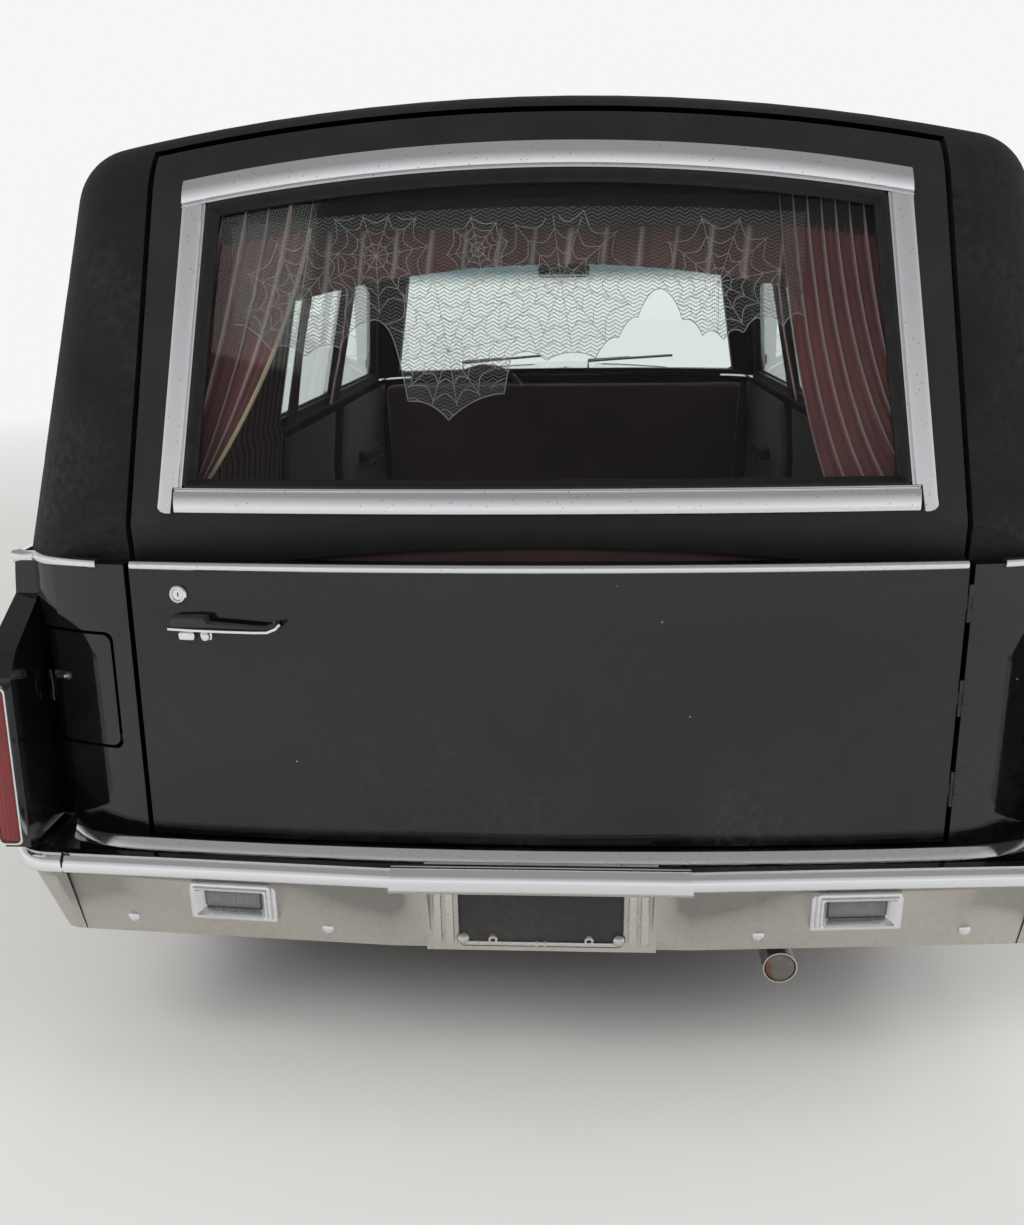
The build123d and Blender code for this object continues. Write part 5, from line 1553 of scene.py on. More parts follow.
@dataclass
class RearBumper:
    """The rear bumper's fittings."""

    overlay_half: float = 0.267
    top: float = 0.514
    shoulder: float = 0.472
    screw_x: float = 0.089
    plate_y: float = -3.146
    plate_low: float = 0.332
    plate_h: float = 0.152

    def build(self) -> None:
        """Makes the overlay, the recess and the lamps."""
        self.crowned_bars()
        self.overlay()
        self.recess()
        self.plate_fittings()
        self.backup_lamps()
        self.end_seams()

    def inset(self, z: float) -> float:
        """How far the bar's crowned face lies inside its foremost line at a height."""
        above, below = max(0.0, z - 0.487) / 0.027, max(0.0, 0.479 - z) / 0.010
        return 0.015 * above**2 + 0.0025 * below**2

    def crowned_bars(self) -> None:
        """Both bumpers again, their bars crowned so that the upper half leans back."""
        for name, end in (("bumper_rear", -1), ("bumper_front", 1)):
            shape = Shape()
            shape.bm.from_mesh(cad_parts[name].data)
            bmesh.ops.remove_doubles(shape.bm, verts=shape.bm.verts[:], dist=1e-5)
            for cut in range(10):
                z = 0.4735 + 0.0045 * cut
                bmesh.ops.bisect_plane(
                    shape.bm, geom=shape.bm.verts[:] + shape.bm.edges[:] + shape.bm.faces[:],
                    plane_co=(0, 0, z), plane_no=(0, 0, 1),
                )
            shape.bm.normal_update()
            for vert in shape.bm.verts:
                way = Vector((vert.normal.x, vert.normal.y, 0.0))
                outer = way.dot(Vector((vert.co.x * 0.4, vert.co.y - end * 2.4, 0.0))) > 0.2 * way.length
                if vert.co.z > 0.4715 and way.length > 0.3 and outer:
                    vert.co -= way.normalized() * self.inset(vert.co.z)
            shape.finish(f"{name}_dressed", Finish.BUMPER, stands_for=[name], angle=24, solid=False)

    def overlay(self) -> None:
        """The thicker middle of the bar."""
        heights = [self.shoulder - 0.006 + (self.top + 0.0075 - self.shoulder) * i / 12 for i in range(13)]
        section = [(heights[0], 0.014)] + [(z, self.inset(z) - 0.0014) for z in heights] + [
            (heights[-1] - 0.004, 0.026)
        ]
        rows = []
        for step in range(29):
            share = 2 * step / 28 - 1
            rows.append([
                ((self.overlay_half + (self.top - z) * 0.12) * share, -3.200 + back, z)
                for z, back in section
            ])
        Shape().grid(rows, wrap=True, caps=True).finish("bumper_overlay", Finish.BUMPER, angle=24)

    def recess(self) -> None:
        """Ridged upright panels each side of the plate."""
        rib = Shape().block(Place.facing((0, 0, 0), (0, -1, 0)), 0.0075, 0.0700, -0.002, 0.0056, 0.0018)
        repeat = Repeat()
        rows = [
            repeat.row(
                rib.copy(), Finish.DULL_CHROME, 2, (side * 0.1690, self.plate_y - 0.001, 0.408),
                (side * 0.0225, 0, 0),
            )
            for side in (-1, 1)
        ]
        repeat.piece("plate_recess_ribs", Body.MAIN, Finish.DULL_CHROME, rows)

    def plate_fittings(self) -> None:
        """The blank plate's rolled edge, its screws, and the small covers and tabs under it."""
        middle = self.plate_low + self.plate_h / 2
        spot = Place.facing((0, self.plate_y - 0.003, middle), (0, -1, 0))
        edge = Shape().stack(spot, [
            (0.1525, 0.0760, 0.011, -0.0005), (0.1525, 0.0760, 0.011, 0.0022),
            (0.1505, 0.0740, 0.010, 0.0030), (0.1485, 0.0720, 0.009, 0.0020),
            (0.1480, 0.0715, 0.009, -0.0005),
        ], caps=False)
        edge.finish("plate_edge", Finish.PLATE)
        screw = Shape().turned(Place.facing((0, 0, 0), (0, -1, 0)), [
            (0.0, 0.0030), (0.0030, 0.0030), (0.0055, 0.0022), (0.0066, 0.0004), (0.0066, -0.0020),
        ], 20)
        repeat = Repeat()
        rows = []
        for made, rise in ((screw.copy(), 0.056), (screw, -0.056)):
            start = (-self.screw_x, self.plate_y - 0.0032, middle + rise)
            rows.append(repeat.row(made, Finish.DULL_STEEL, 2, start, (2 * self.screw_x, 0, 0)))
        repeat.piece("plate_screws", Body.MAIN, Finish.DULL_STEEL, rows)
        covers = Shape()
        for x, z, r in (
            (-0.144, 0.348, 0.0125), (0.144, 0.348, 0.0125), (-0.0075, 0.338, 0.0065),
            (0.0075, 0.338, 0.0065),
        ):
            spot = Place.facing((x, self.plate_y - 0.0035, z), (0, -1, 0))
            covers.turned(spot, [
                (0.0, r * 0.8), (r * 0.45, r * 0.72), (r * 0.82, r * 0.45), (r, 0.0012), (r, -0.003),
            ], 28)
        for x in (-self.screw_x, self.screw_x):
            spot = Place.facing((x, self.plate_y - 0.0030, 0.345), (0, -1, 0))
            covers.stack(spot, [
                (0.0085, 0.0095, 0.0085, -0.001), (0.0085, 0.0095, 0.0085, 0.0030),
                (0.0075, 0.0085, 0.0075, 0.0040), (0.0042, 0.0045, 0.0040, 0.0036),
                (0.0040, 0.0043, 0.0038, -0.001),
            ], caps=False)
        covers.block(
            Place.facing((0, self.plate_y - 0.0030, 0.3385), (0, -1, 0)), 0.1480, 0.0042, -0.001, 0.0040,
            0.0014,
        )
        covers.finish("plate_covers", Finish.DULL_CHROME)

    def backup_lamps(self) -> None:
        """Boxed bezels under the bar, each with a recessed clear lens."""
        bezel, lens = Shape(), Shape()
        for side in (-1, 1):
            spot = Place.facing((side * 0.570, -3.1500, 0.4245), (side * 0.077, -1, 0))
            bezel.stack(spot, [
                (0.0830, 0.0430, 0.004, -0.018), (0.0830, 0.0430, 0.004, 0.0050),
                (0.0818, 0.0418, 0.004, 0.0066), (0.0770, 0.0370, 0.004, 0.0072),
                (0.0760, 0.0360, 0.004, 0.0150), (0.0748, 0.0348, 0.004, 0.0164),
                (0.0710, 0.0310, 0.004, 0.0170), (0.0700, 0.0300, 0.004, 0.0225),
                (0.0680, 0.0280, 0.004, 0.0235), (0.0660, 0.0260, 0.004, 0.0225),
                (0.0520, 0.0170, 0.003, 0.0020), (0.0520, 0.0170, 0.003, -0.018),
            ], caps=False)
            lens.stack(spot, [
                (0.0518, 0.0168, 0.003, -0.016), (0.0518, 0.0168, 0.003, 0.0040),
                (0.0480, 0.0135, 0.003, 0.0060), (0.0250, 0.0070, 0.003, 0.0070),
            ])
        bezel.finish("backup_lamp_bezels", Finish.CHROME, angle=30)
        lens.finish("backup_lamp_lenses", Finish.CLEAR_LENS, stands_for=["backup_lamps"])

    def end_seams(self) -> None:
        """The seam where each end cap meets the bar, and a bolt beside it."""
        skin, seam, bolts = Skin("bumper_rear"), Shape(), Shape()
        for side in (-1, 1):
            zs = [0.322 + (self.top - 0.322) * i / 16 for i in range(17)]
            path, outs = skin.trace([(side * 0.885, -3.6, z) for z in zs], (0, 1, 0))
            seam.sweep(path, outs, mirrored([(-0.0011, -0.002), (-0.0011, 0.0006)]))
            for x, z in ((0.40, 0.355), (0.78, 0.360)):
                spot = skin.place((side * x, -3.6, z), (0, 1, 0))
                if spot:
                    bolts.turned(spot, [
                        (0.0, 0.0066), (0.0060, 0.0060), (0.0105, 0.0036), (0.0125, 0.0006), (0.0125, -0.002),
                    ], 28)
        seam.finish("bumper_end_seams", Finish.GASKET)
        bolts.finish("bumper_bolts", Finish.CHROME)


def lay_flat(piece: bpy.types.Object, size: Callable[[Vector], tuple[float, float]]) -> None:
    """Gives a sheet its own flat coordinates, in metres.

    Args:
        piece: The sheet.
        size: Turns a point into its place on the flat cloth.
    """
    layer = piece.data.uv_layers.new(name="flat")
    for loop in piece.data.loops:
        layer.data[loop.index].uv = size(piece.data.vertices[loop.vertex_index].co)


def mix(a: float, b: float, share: float) -> float:
    """A value between two others."""
    return a + (b - a) * share


class Pleats:
    """Uneven pleats along a gathered cloth."""

    def __init__(self, count: int, seed: int) -> None:
        """Draws how far each pleat leans.

        Args:
            count: Pleats along the cloth.
            seed: Fixes the draw.
        """
        pick = random.Random(seed)
        self.count = count
        self.lean = [0.28 * (pick.random() - 0.5) for _ in range(count + 2)]

    def at(self, share: float) -> tuple[float, float]:
        """The fold's depth and how near its ridge a place is, both from 0 to 1."""
        place = share * self.count
        place += self.lean[int(place)] * math.sin(math.pi * (place % 1.0))
        near = min(place % 1.0, 1 - place % 1.0)
        slack = 0.30 * math.sin(math.pi * place) ** 2 + 0.10 * math.sin(2 * math.tau * place + 0.6)
        return math.exp(-((near / 0.09) ** 2)) + slack, math.exp(-((near / 0.055) ** 2))


def hang_cloth(
    name: str, rows: Sequence[Sequence[Sequence[float]]], ridges: Sequence[float], body: str,
) -> bpy.types.Object:
    """Ends a gathered maroon cloth as a piece of the car.

    Args:
        name: The piece's name.
        rows: Its points, from the top row down.
        ridges: How near a fold's ridge each point is.
        body: The body that it rides on.

    Returns:
        The sheet.
    """
    shape = Shape().grid(rows)
    # Each point's nearness to a fold's ridge, which the maroon cloth paints paler as a highlight.
    layer = shape.bm.verts.layers.float.new("ridge")
    for vert, ridge in zip(shape.bm.verts, ridges):
        vert[layer] = ridge
    piece = shape.finish(name, Finish.MAROON, body, angle=75, solid=False)
    return piece


@dataclass(frozen=True)
class Drape:
    """A pleated sheet tied back to one side of the tail window."""

    name: str
    sign: int
    top: tuple[float, float]
    foot: float
    tied: float
    tie_top: float
    bend: tuple[float, float]
    pleats: int
    depth: float = 0.012
    high: float = 1.640
    low: float = 1.168

    def spot(self, u: float, down: float) -> Vector:
        """A place on the fold line u, as (across, height): it falls, then sweeps to the side or the sill."""
        pane, split = Pane(), 1 - self.tied
        start = Vector((mix(*self.top, u), self.high))
        if u < split:
            end = Vector((mix(self.foot, pane.side(self.low) - 0.004, u / split), self.low))
        else:
            height = mix(self.low, self.tie_top, (u - split) / self.tied)
            end = Vector((pane.side(height) + 0.004, height))
        turn = Vector((start.x + self.bend[0], mix(start.y, end.y, self.bend[1])))
        return start * (1 - down) ** 2 + turn * 2 * down * (1 - down) + end * down**2

    def build(self) -> None:
        """Hangs the drape inside the tail window."""
        pleats, rows, ridges, count = Pleats(self.pleats, len(self.name)), [], [], self.pleats * 14
        for step in range(37):
            row = []
            for i in range(count + 1):
                place = self.spot(i / count, step / 36)
                fold, ridge = pleats.at(i / count)
                x = self.sign * place.x
                row.append(
                    (x, tail_y(x, place.y) + 0.068 - self.depth * fold * mix(1.0, 0.6, step / 36), place.y)
                )
                ridges.append(ridge)
            rows.append(row)
        hang_cloth(self.name, rows, ridges, Body.TAIL)


@dataclass
class TailDrapes:
    """The drapes, valance and lace inside the tail window."""

    span: tuple[float, float] = (-0.540, 0.445)
    board_half: float = 0.585
    board_h: float = 0.098
    valance_x: tuple[float, float] = (-0.560, 0.605)
    lace_top: float = 1.615
    thread: float = 0.0006
    notch: float = 0.050
    notch_start: float = 0.165
    left_drape: Drape = Drape("tail_drape_left", -1, (0.395, 0.590), 0.600, 0.55, 1.45, (0.040, 0.50), 5)
    right_drape: Drape = Drape("tail_drape_right", 1, (0.400, 0.588), 0.492, 0.52, 1.43, (0.030, 0.65), 8)
    cusps: tuple[tuple[float, float], ...] = (
        (-0.540, 1.430), (-0.475, 1.388), (-0.413, 1.376), (-0.352, 1.390), (-0.300, 1.432), (-0.262, 1.412),
        (-0.232, 1.300), (-0.161, 1.270), (-0.064, 1.312), (-0.050, 1.374), (0.008, 1.366), (0.093, 1.370),
        (0.132, 1.402), (0.165, 1.434), (0.240, 1.428), (0.275, 1.404), (0.310, 1.396), (0.345, 1.406),
        (0.375, 1.428), (0.410, 1.416), (0.445, 1.434),
    )
    webs: tuple[tuple[float, float, float, int], ...] = (
        (-0.286, 1.540, 0.095, 11), (0.033, 1.494, 0.125, 12), (-0.161, 1.385, 0.125, 12),
        (0.300, 1.490, 0.110, 11), (-0.420, 1.470, 0.105, 10), (-0.110, 1.548, 0.055, 8),
    )

    def build(self) -> None:
        """Makes the board, the drapes, the valance and the lace."""
        self.rail()
        self.left_drape.build()
        self.right_drape.build()
        self.edge_band()
        self.valance()
        self.lace()

    def rail(self) -> None:
        """The dark board over the window that the cloths hang from."""
        pane, rows = Pane(), []
        for i in range(41):
            x = self.board_half * (2 * i / 40 - 1)
            top = min(pane.arch(x, 0.03), pane.corner(0.03, 0.03)[1] + 0.03)
            low, y = top - self.board_h, tail_y(x, top - 0.03) + 0.060
            rows.append([
                (x, y - 0.012, low), (x, y + 0.020, low - 0.002), (x, y + 0.024, low + 0.004),
                (x, y + 0.034, top - 0.006), (x, y + 0.004, top - 0.004), (x, y, top - 0.008),
                (x, y - 0.006, top - 0.050), (x, y - 0.0085, top - 0.053), (x, y - 0.0075, top - 0.057),
            ])
        Shape().grid(rows, wrap=True, caps=True).finish("tail_curtain_rail", Finish.BOARD, Body.TAIL)

    def edge_band(self) -> None:
        """The cream band along the left drape's free edge."""
        spots = [self.left_drape.spot(0.0, i / 36) for i in range(4, 37)]
        path = [Vector((-p.x, tail_y(-p.x, p.y) + 0.0645, p.y)) for p in spots]
        outs = [tail_out(p.x, p.z) for p in path]
        band = Shape().sweep(path, outs, mirrored([(-0.0038, -0.0008), (-0.0030, 0.0010), (0.0, 0.0016)]))
        band.finish("tail_drape_band", Finish.CREAM, Body.TAIL)

    def valance(self) -> None:
        """The short pleated cloth across the top, its lower edge arched."""
        pleats, rows, ridges = Pleats(19, 11), [], []
        start, wide = self.valance_x[0], self.valance_x[1] - self.valance_x[0]
        for step in range(15):
            row, down = [], step / 14
            for i in range(305):
                x = start + wide * i / 304 - 0.010 * down
                z = mix(Pane().arch(x, 0) - 0.060, 1.523 - 0.26 * (x - 0.02) ** 2, down)
                fold, ridge = pleats.at(i / 304)
                row.append((x, tail_y(x, z) + 0.108 - mix(0.004, 0.016, down) * fold, z))
                ridges.append(ridge * min(1.0, down * 6))
            rows.append(row)
        hang_cloth("tail_valance", rows, ridges, Body.TAIL)

    def hem(self, x: float) -> float:
        """The lace's lower edge at a place across: arcs that rise between its points."""
        for (a, low), (b, high) in zip(self.cusps, self.cusps[1:]):
            if x <= b:
                break
        t = max(0.0, min(1.0, (x - a) / (b - a)))
        rise = self.notch if abs(a - self.notch_start) < 0.001 else 0.012
        return mix(low, high, t) + rise * math.sin(math.pi * t) ** 0.7

    def lace_point(self, x: float, z: float, proud: float = 0.0) -> Point:
        """A point on the lace, which ripples gently."""
        ripple = 0.0035 * math.sin(x * 41.0) + 0.002 * math.sin(x * 97.0 + 1.3)
        return (x, tail_y(x, z) + 0.046 + ripple - proud, z)

    def lace(self) -> None:
        """The open net with its pointed hem and its rounds of heavier thread."""
        rows, count = [], 330
        xs = [mix(*self.span, i / count) for i in range(count + 1)]
        for step in range(19):
            rows.append(
                [self.lace_point(x, mix(self.lace_top - 0.08 * x * x, self.hem(x), step / 18)) for x in xs]
            )
        net = Shape().grid(rows).finish("tail_lace_net", Finish.LACE, Body.TAIL, angle=75, solid=False)
        lay_flat(net, lambda p: (p.x, p.z))
        threads = Shape().tube([self.lace_point(x, self.hem(x), 0.0004) for x in xs], self.thread * 1.2, 5)
        for web in self.webs:
            self.web(threads, *web)
        lace = threads.finish("tail_lace_threads", Finish.THREAD, Body.TAIL, angle=75)

    def web(self, threads: Shape, x: float, z: float, reach: float, spokes: int) -> None:
        """One round of the lace: spokes from its middle, joined by arcs that sag inwards.

        Args:
            threads: The shape that takes the threads.
            x: Its middle across.
            z: Its middle's height.
            reach: Its radius.
            spokes: How many spokes.
        """
        pick = random.Random(round(x * 1000))
        turns = [math.tau * (i + 0.24 * (pick.random() - 0.5)) / spokes + 0.16 for i in range(spokes)]
        turns.append(turns[0] + math.tau)
        lines = [[(angle, reach * i / 8) for i in range(9)] for angle in turns[:-1]]
        for share in (0.24, 0.46, 0.70, 0.96):
            lines.append([
                (mix(a, b, t / 5), reach * share * (1 - 0.20 * math.sin(math.pi * t / 5)))
                for a, b in zip(turns, turns[1:]) for t in range(5)
            ])
            lines[-1].append(lines[-1][0])
        for line in lines:
            spots = [(x + far * math.cos(angle), z + far * math.sin(angle)) for angle, far in line]
            run = []
            for a, b in [*spots, (9.0, 9.0)]:
                if self.span[0] < a < self.span[1] and self.hem(a) - 0.002 < b < self.lace_top - 0.004:
                    run.append(self.lace_point(a, b, 0.0004))
                    continue
                if len(run) > 1:
                    threads.tube(run, self.thread, 4)
                run = []


def side_of(right: bool) -> tuple[str, int]:
    """A side's name and the sign of its X."""
    return ("right", 1) if right else ("left", -1)


def glass_x(z: float) -> float:
    """How far out the side glass lies at a height."""
    return GLASS_X - GLASS_LEAN * (z - WAIST_Z)


@dataclass
class Cushion:
    """One stuffed part of the bench: an outline seen from the side, carried across the cabin."""

    name: str
    outline: tuple[tuple[float, float], ...]
    half: float
    channels: tuple[float, ...]
    stands_for: tuple[str, ...] = ()
    swell: float = 0.022
    voxel: float = 0.017
    top: Point = (0.0, 0.0, 1.0)

    def build(self) -> bpy.types.Object:
        """Makes the cushion, swells it as cloth, and draws its channels in."""
        rows = []
        for step in range(-20, 21):
            x = self.half * math.sin(math.pi / 2 * step / 20)
            shy = 0.030 * (1 - math.sqrt(max(0.0, 1 - (step / 20) ** 8)))
            middle = Vector(
                (sum(p[0] for p in self.outline), sum(p[1] for p in self.outline))
            ) / len(self.outline)
            row = []
            for y, z in rounded_path(self.outline, 0.045, steps=4):
                spot = Vector((y, z))
                spot += (middle - spot).normalized() * shy
                row.append((x, spot.x, spot.y))
            rows.append(row)
        shape = Shape().grid(rows, wrap=True, caps=True)
        mesh = shape.mesh()
        mesh = self.swollen(mesh)
        for vert in mesh.vertices:
            self.draw_in(vert)
        piece = place_mesh(mesh, self.name, Finish.SEAT, Body.MAIN, self.stands_for, 180.0)
        return piece

    def swollen(self, mesh: bpy.types.Mesh) -> bpy.types.Mesh:
        """The cloth simulation: pressure from inside, each point held near its start."""
        pad = bpy.data.objects.new(f"{self.name}_pad", mesh)
        bpy.context.collection.objects.link(pad)
        remesh = pad.modifiers.new("even", "REMESH")
        remesh.mode, remesh.voxel_size = "VOXEL", self.voxel
        mesh = self.applied(pad)
        start = [vert.co.copy() for vert in mesh.vertices]
        cloth = pad.modifiers.new("stuffing", "CLOTH")
        cloth.settings.use_pressure = True
        cloth.settings.uniform_pressure_force = 4.0
        cloth.settings.effector_weights.gravity = 0.0
        cloth.settings.quality = 4
        for number in range(1, 21):
            bpy.context.scene.frame_set(number)
        mesh = self.applied(pad)
        bpy.context.scene.frame_set(1)
        for vert, first in zip(mesh.vertices, start):
            move = vert.co - first
            if move.length > self.swell:
                vert.co = first + move.normalized() * self.swell
        smooth = pad.modifiers.new("soft", "SUBSURF")
        smooth.levels = smooth.render_levels = 1
        mesh = self.applied(pad)
        bpy.data.objects.remove(pad)
        return mesh

    def applied(self, pad: bpy.types.Object) -> bpy.types.Mesh:
        """The pad's mesh with its modifiers applied, which are then removed."""
        graph = bpy.context.evaluated_depsgraph_get()
        mesh = bpy.data.meshes.new_from_object(pad.evaluated_get(graph))
        pad.modifiers.clear()
        pad.data = mesh
        return mesh

    def draw_in(self, vert: bpy.types.MeshVertex) -> None:
        """Pulls a point in where a sewn channel runs."""
        up = Vector(self.top)
        if vert.normal.dot(up) < 0.25:
            return
        depth = 0.0
        for x in self.channels:
            depth += 0.012 * math.exp(-(((vert.co.x - x) / 0.010) ** 2))
        vert.co -= up * depth * min(1.0, (vert.normal.dot(up) - 0.25) * 2.5)


def edge_of(rows: list[list[Point]]) -> list[Point]:
    """Gives the points around the edge of a grid, in order."""
    return [
        *rows[0], *[row[-1] for row in rows[1:]], *reversed(rows[-1][:-1]),
        *[row[0] for row in reversed(rows[1:-1])],
    ]


@dataclass
class Cabin:
    """The lining, the bench, the boards inside the doors and the dash's fittings."""

    liner_y: tuple[float, float] = (-2.74, 0.46)
    drape_start: float = -1.235
    drape_long: float = 1.600
    drape_top: float = 1.600
    bench_half: float = 0.752
    bow: float = 0.400
    board_z: tuple[float, float] = (0.44, 1.00)
    strip_xs: tuple[float, ...] = (-0.48, -0.16, 0.16, 0.48)
    dash_y: float = 0.9195
    dial_z: float = 0.852

    def build(self) -> None:
        """Makes every piece of the cabin."""
        self.headliner()
        self.quarter_drapes()
        self.bench()
        for right in (True, False):
            self.door_board("front", right, (-0.06, 1.04))
            self.door_board("side", right, (-1.11, -0.25))
            self.side_curtain(right)
        self.dash_fittings()
        self.mirror_and_visors()
        self.load_bay()

    def headliner(self) -> None:
        """The cloth stretched under the roof over hidden bows."""
        skin, rows = Skin("body_upper"), []
        low, high = self.liner_y
        for step in range(81):
            y = low + (high - low) * step / 80
            dip = 0.006 + 0.006 * abs(math.sin(math.pi * (y - low) / self.bow)) ** 0.6
            row = []
            for i in range(41):
                angle = math.radians(57.5 * (2 * i / 40 - 1))
                found = skin.hit((0, y, 1.22), (math.sin(angle), 0, math.cos(angle)))
                if not found:
                    row = []
                    break
                row.append(found[0] + found[1] * dip)
            if row:
                rows.append(row)
        piece = Shape().grid(rows).finish("headliner", Finish.LINER, angle=60, solid=False)

    def quarter_drapes(self) -> None:
        """Pleated cloth on the closed quarters' inner walls."""
        skin = Skin("body_upper", "body_lower")
        for right in (True, False):
            side, sign = side_of(right)
            rows, ridges, pleats = [], [], Pleats(26, 5)
            for step in range(20):
                z, row = self.drape_top - 0.041 * step, []
                for i in range(261):
                    y = self.drape_start - self.drape_long * i / 260
                    found = skin.hit((0.1 * sign, y, z), (sign, 0, 0))
                    fold, ridge = pleats.at(i / 260)
                    row.append((sign * ((abs(found[0].x) if found else 0.9) - 0.016 - 0.007 * fold), y, z))
                    ridges.append(ridge)
                rows.append(row)
            hang_cloth(f"quarter_drape_{side}", rows, ridges, Body.MAIN)

    def bench(self) -> None:
        """The bench's cushion and back, with piping."""
        seams = (-0.60, -0.45, -0.30, -0.15, 0.0, 0.15, 0.30, 0.45, 0.60)
        Cushion(
            "seat_cushion", ((0.105, 0.490), (0.575, 0.490), (0.580, 0.585), (0.545, 0.612), (0.140, 0.578)),
            self.bench_half, seams, ("seat",),
        ).build()
        Cushion(
            "seat_back", ((0.045, 0.520), (0.112, 0.600), (0.005, 1.105), (-0.080, 1.105), (-0.015, 0.560)),
            self.bench_half, seams, top=(0.0, 0.97, 0.22),
        ).build()
        base = Shape().block(
            Place.facing((0, 0.33, 0.352), (0, 0, 1), (0, 1, 0)), 0.70, 0.235, 0.0, 0.135, 0.006,
        )
        base.finish("seat_base", Finish.CARPET)
        piping = Shape()
        for y, z in ((0.607, 0.596), (0.150, 0.606)):
            piping.tube([(-0.735 + 1.47 * i / 30, y - 0.012, z) for i in range(31)], 0.004, 6)
        piping.tube([(-0.735 + 1.47 * i / 30, 0.012, 1.128) for i in range(31)], 0.004, 6)
        piping.finish("seat_piping", Finish.GASKET)

    def door_board(self, kind: str, right: bool, reach: tuple[float, float]) -> None:
        """The trim board inside a door, with a pad, an armrest and a crank."""
        (side, sign), rows = side_of(right), []
        skin = Skin(f"door_{kind}_{side}")
        (low, high), (foot, head) = reach, self.board_z
        for step in range(15):
            z = foot + (head - foot) * step / 14
            row = []
            for i in range(25):
                y = low + (high - low) * i / 24
                found = skin.hit((0.2 * sign, y, z), (sign, 0, 0))
                wall = abs(found[0].x) if found else 0.91
                rim = min(1.0, min(y - low, high - y, z - foot, head - z) / 0.02)
                groove = 0.004 * math.exp(-(((z - 0.80) / 0.008) ** 2))
                row.append((sign * (wall - 0.003 - 0.010 * math.sqrt(max(0.0, rim)) + groove), y, z))
            rows.append(row)
        back = [[(p[0] + sign * 0.0125, p[1], p[2]) for p in row] for row in rows]
        board = Shape()
        board.grid(rows)
        board.grid(list(reversed(back)))
        board.grid([edge_of(rows), edge_of(back)], wrap=True)
        body = f"{kind}_door_{side}"
        board.finish(f"{kind}_door_board_{side}", Finish.SEAT, body)
        wall = abs(rows[7][12][0])
        rest = Shape()
        middle = (low + high) / 2
        rest.stack(Place.facing((sign * wall, middle - 0.05, 0.74), (-sign, 0, 0)), [
            (0.17, 0.026, 0.020, 0.0), (0.17, 0.026, 0.020, 0.034), (0.165, 0.021, 0.018, 0.042),
            (0.150, 0.010, 0.009, 0.045),
        ])
        rest.finish(f"{kind}_door_armrest_{side}", Finish.GASKET, body)
        crank = Shape()
        spot = Place.facing((sign * (wall + 0.002), middle + 0.16, 0.66), (-sign, 0, 0))
        crank.turned(spot, [(0.0, 0.012), (0.010, 0.011), (0.018, 0.006), (0.020, 0.0), (0.020, -0.003)], 24)
        crank.tube([spot.at(0, 0, 0.012), spot.at(0.04, 0.01, 0.016), spot.at(0.085, 0.02, 0.016)], 0.005, 8)
        crank.turned(Place.facing(spot.at(0.085, 0.02, 0.014), spot.out), [
            (0.0, 0.026), (0.007, 0.024), (0.010, 0.016), (0.008, 0.0), (0.0, -0.001),
        ], 16)
        crank.finish(f"{kind}_door_crank_{side}", Finish.CHROME, body)

    def side_curtain(self, right: bool) -> None:
        """The gathered curtains at both ends of a side door's window."""
        side, sign = side_of(right)
        for end, (start, stop) in (("front", (-0.250, -0.405)), ("rear", (-0.985, -1.125))):
            rows, ridges, pleats = [], [], Pleats(6, 3)
            for step in range(21):
                down = step / 20
                z = 1.545 - 0.500 * down
                wide = (stop - start) * (0.62 + 0.38 * abs(2 * down - 1) ** 1.5)
                first = start if end == "front" else stop - wide
                row = []
                for i in range(71):
                    fold, ridge = pleats.at(i / 70)
                    row.append((sign * (glass_x(z) - 0.062 - 0.009 * fold), first + wide * (i / 70), z))
                    ridges.append(ridge)
                rows.append(row)
            name, board = f"side_curtain_{end}_{side}", f"side_door_board_{side}"
            hang_cloth(name, rows, ridges, f"side_door_{side}")

    def dash_fittings(self) -> None:
        """Dials, radio, air slats and the column's lever."""
        way = (0, -0.976, -0.217)
        bright, dark = Shape(), Shape()
        for x, half in ((-0.38, 0.155), (0.42, 0.200)):
            spot = Place.facing((x, self.dash_y, self.dial_z), way)
            bright.stack(spot, [
                (half, 0.062, 0.012, -0.002), (half, 0.062, 0.012, 0.0070),
                (half - 0.003, 0.059, 0.010, 0.0090), (half - 0.006, 0.056, 0.009, 0.0070),
                (half - 0.006, 0.056, 0.009, -0.002),
            ], caps=False)
        for x in (-0.465, -0.38, -0.295):
            spot = Place.facing((x, self.dash_y, self.dial_z), way)
            bright.turned(spot, [
                (0.036, 0.0), (0.036, 0.0055), (0.034, 0.0070), (0.031, 0.0055), (0.031, 0.0),
            ], 32, close=True)
            dark.turned(spot, [(0.0, 0.0020), (0.030, 0.0016), (0.031, -0.002)], 32)
            for degrees in range(-120, 121, 30):
                angle = math.radians(degrees + 90)
                tick = Place.facing(
                    spot.at(0.026 * math.cos(angle), 0.026 * math.sin(angle), 0.0018), spot.out,
                )
                bright.stack(tick, [(0.0007, 0.0007, 0.0003, 0.0), (0.0007, 0.0007, 0.0003, 0.0006)], steps=2)
        radio = Place.facing((0.0, self.dash_y, self.dial_z), way)
        bright.stack(radio, [
            (0.105, 0.040, 0.006, -0.002), (0.105, 0.040, 0.006, 0.006), (0.102, 0.037, 0.005, 0.007),
            (0.098, 0.033, 0.005, 0.003), (0.098, 0.033, 0.005, -0.002),
        ], caps=False)
        dark.block(Place.facing(radio.at(0, 0.006), way), 0.062, 0.018, -0.001, 0.003, 0.001)
        for x in (-0.084, 0.084):
            bright.turned(Place.facing(radio.at(x, 0.0), way), [
                (0.0, 0.017), (0.0085, 0.016), (0.0105, 0.012), (0.0105, 0.0), (0.0105, -0.001),
            ], 20)
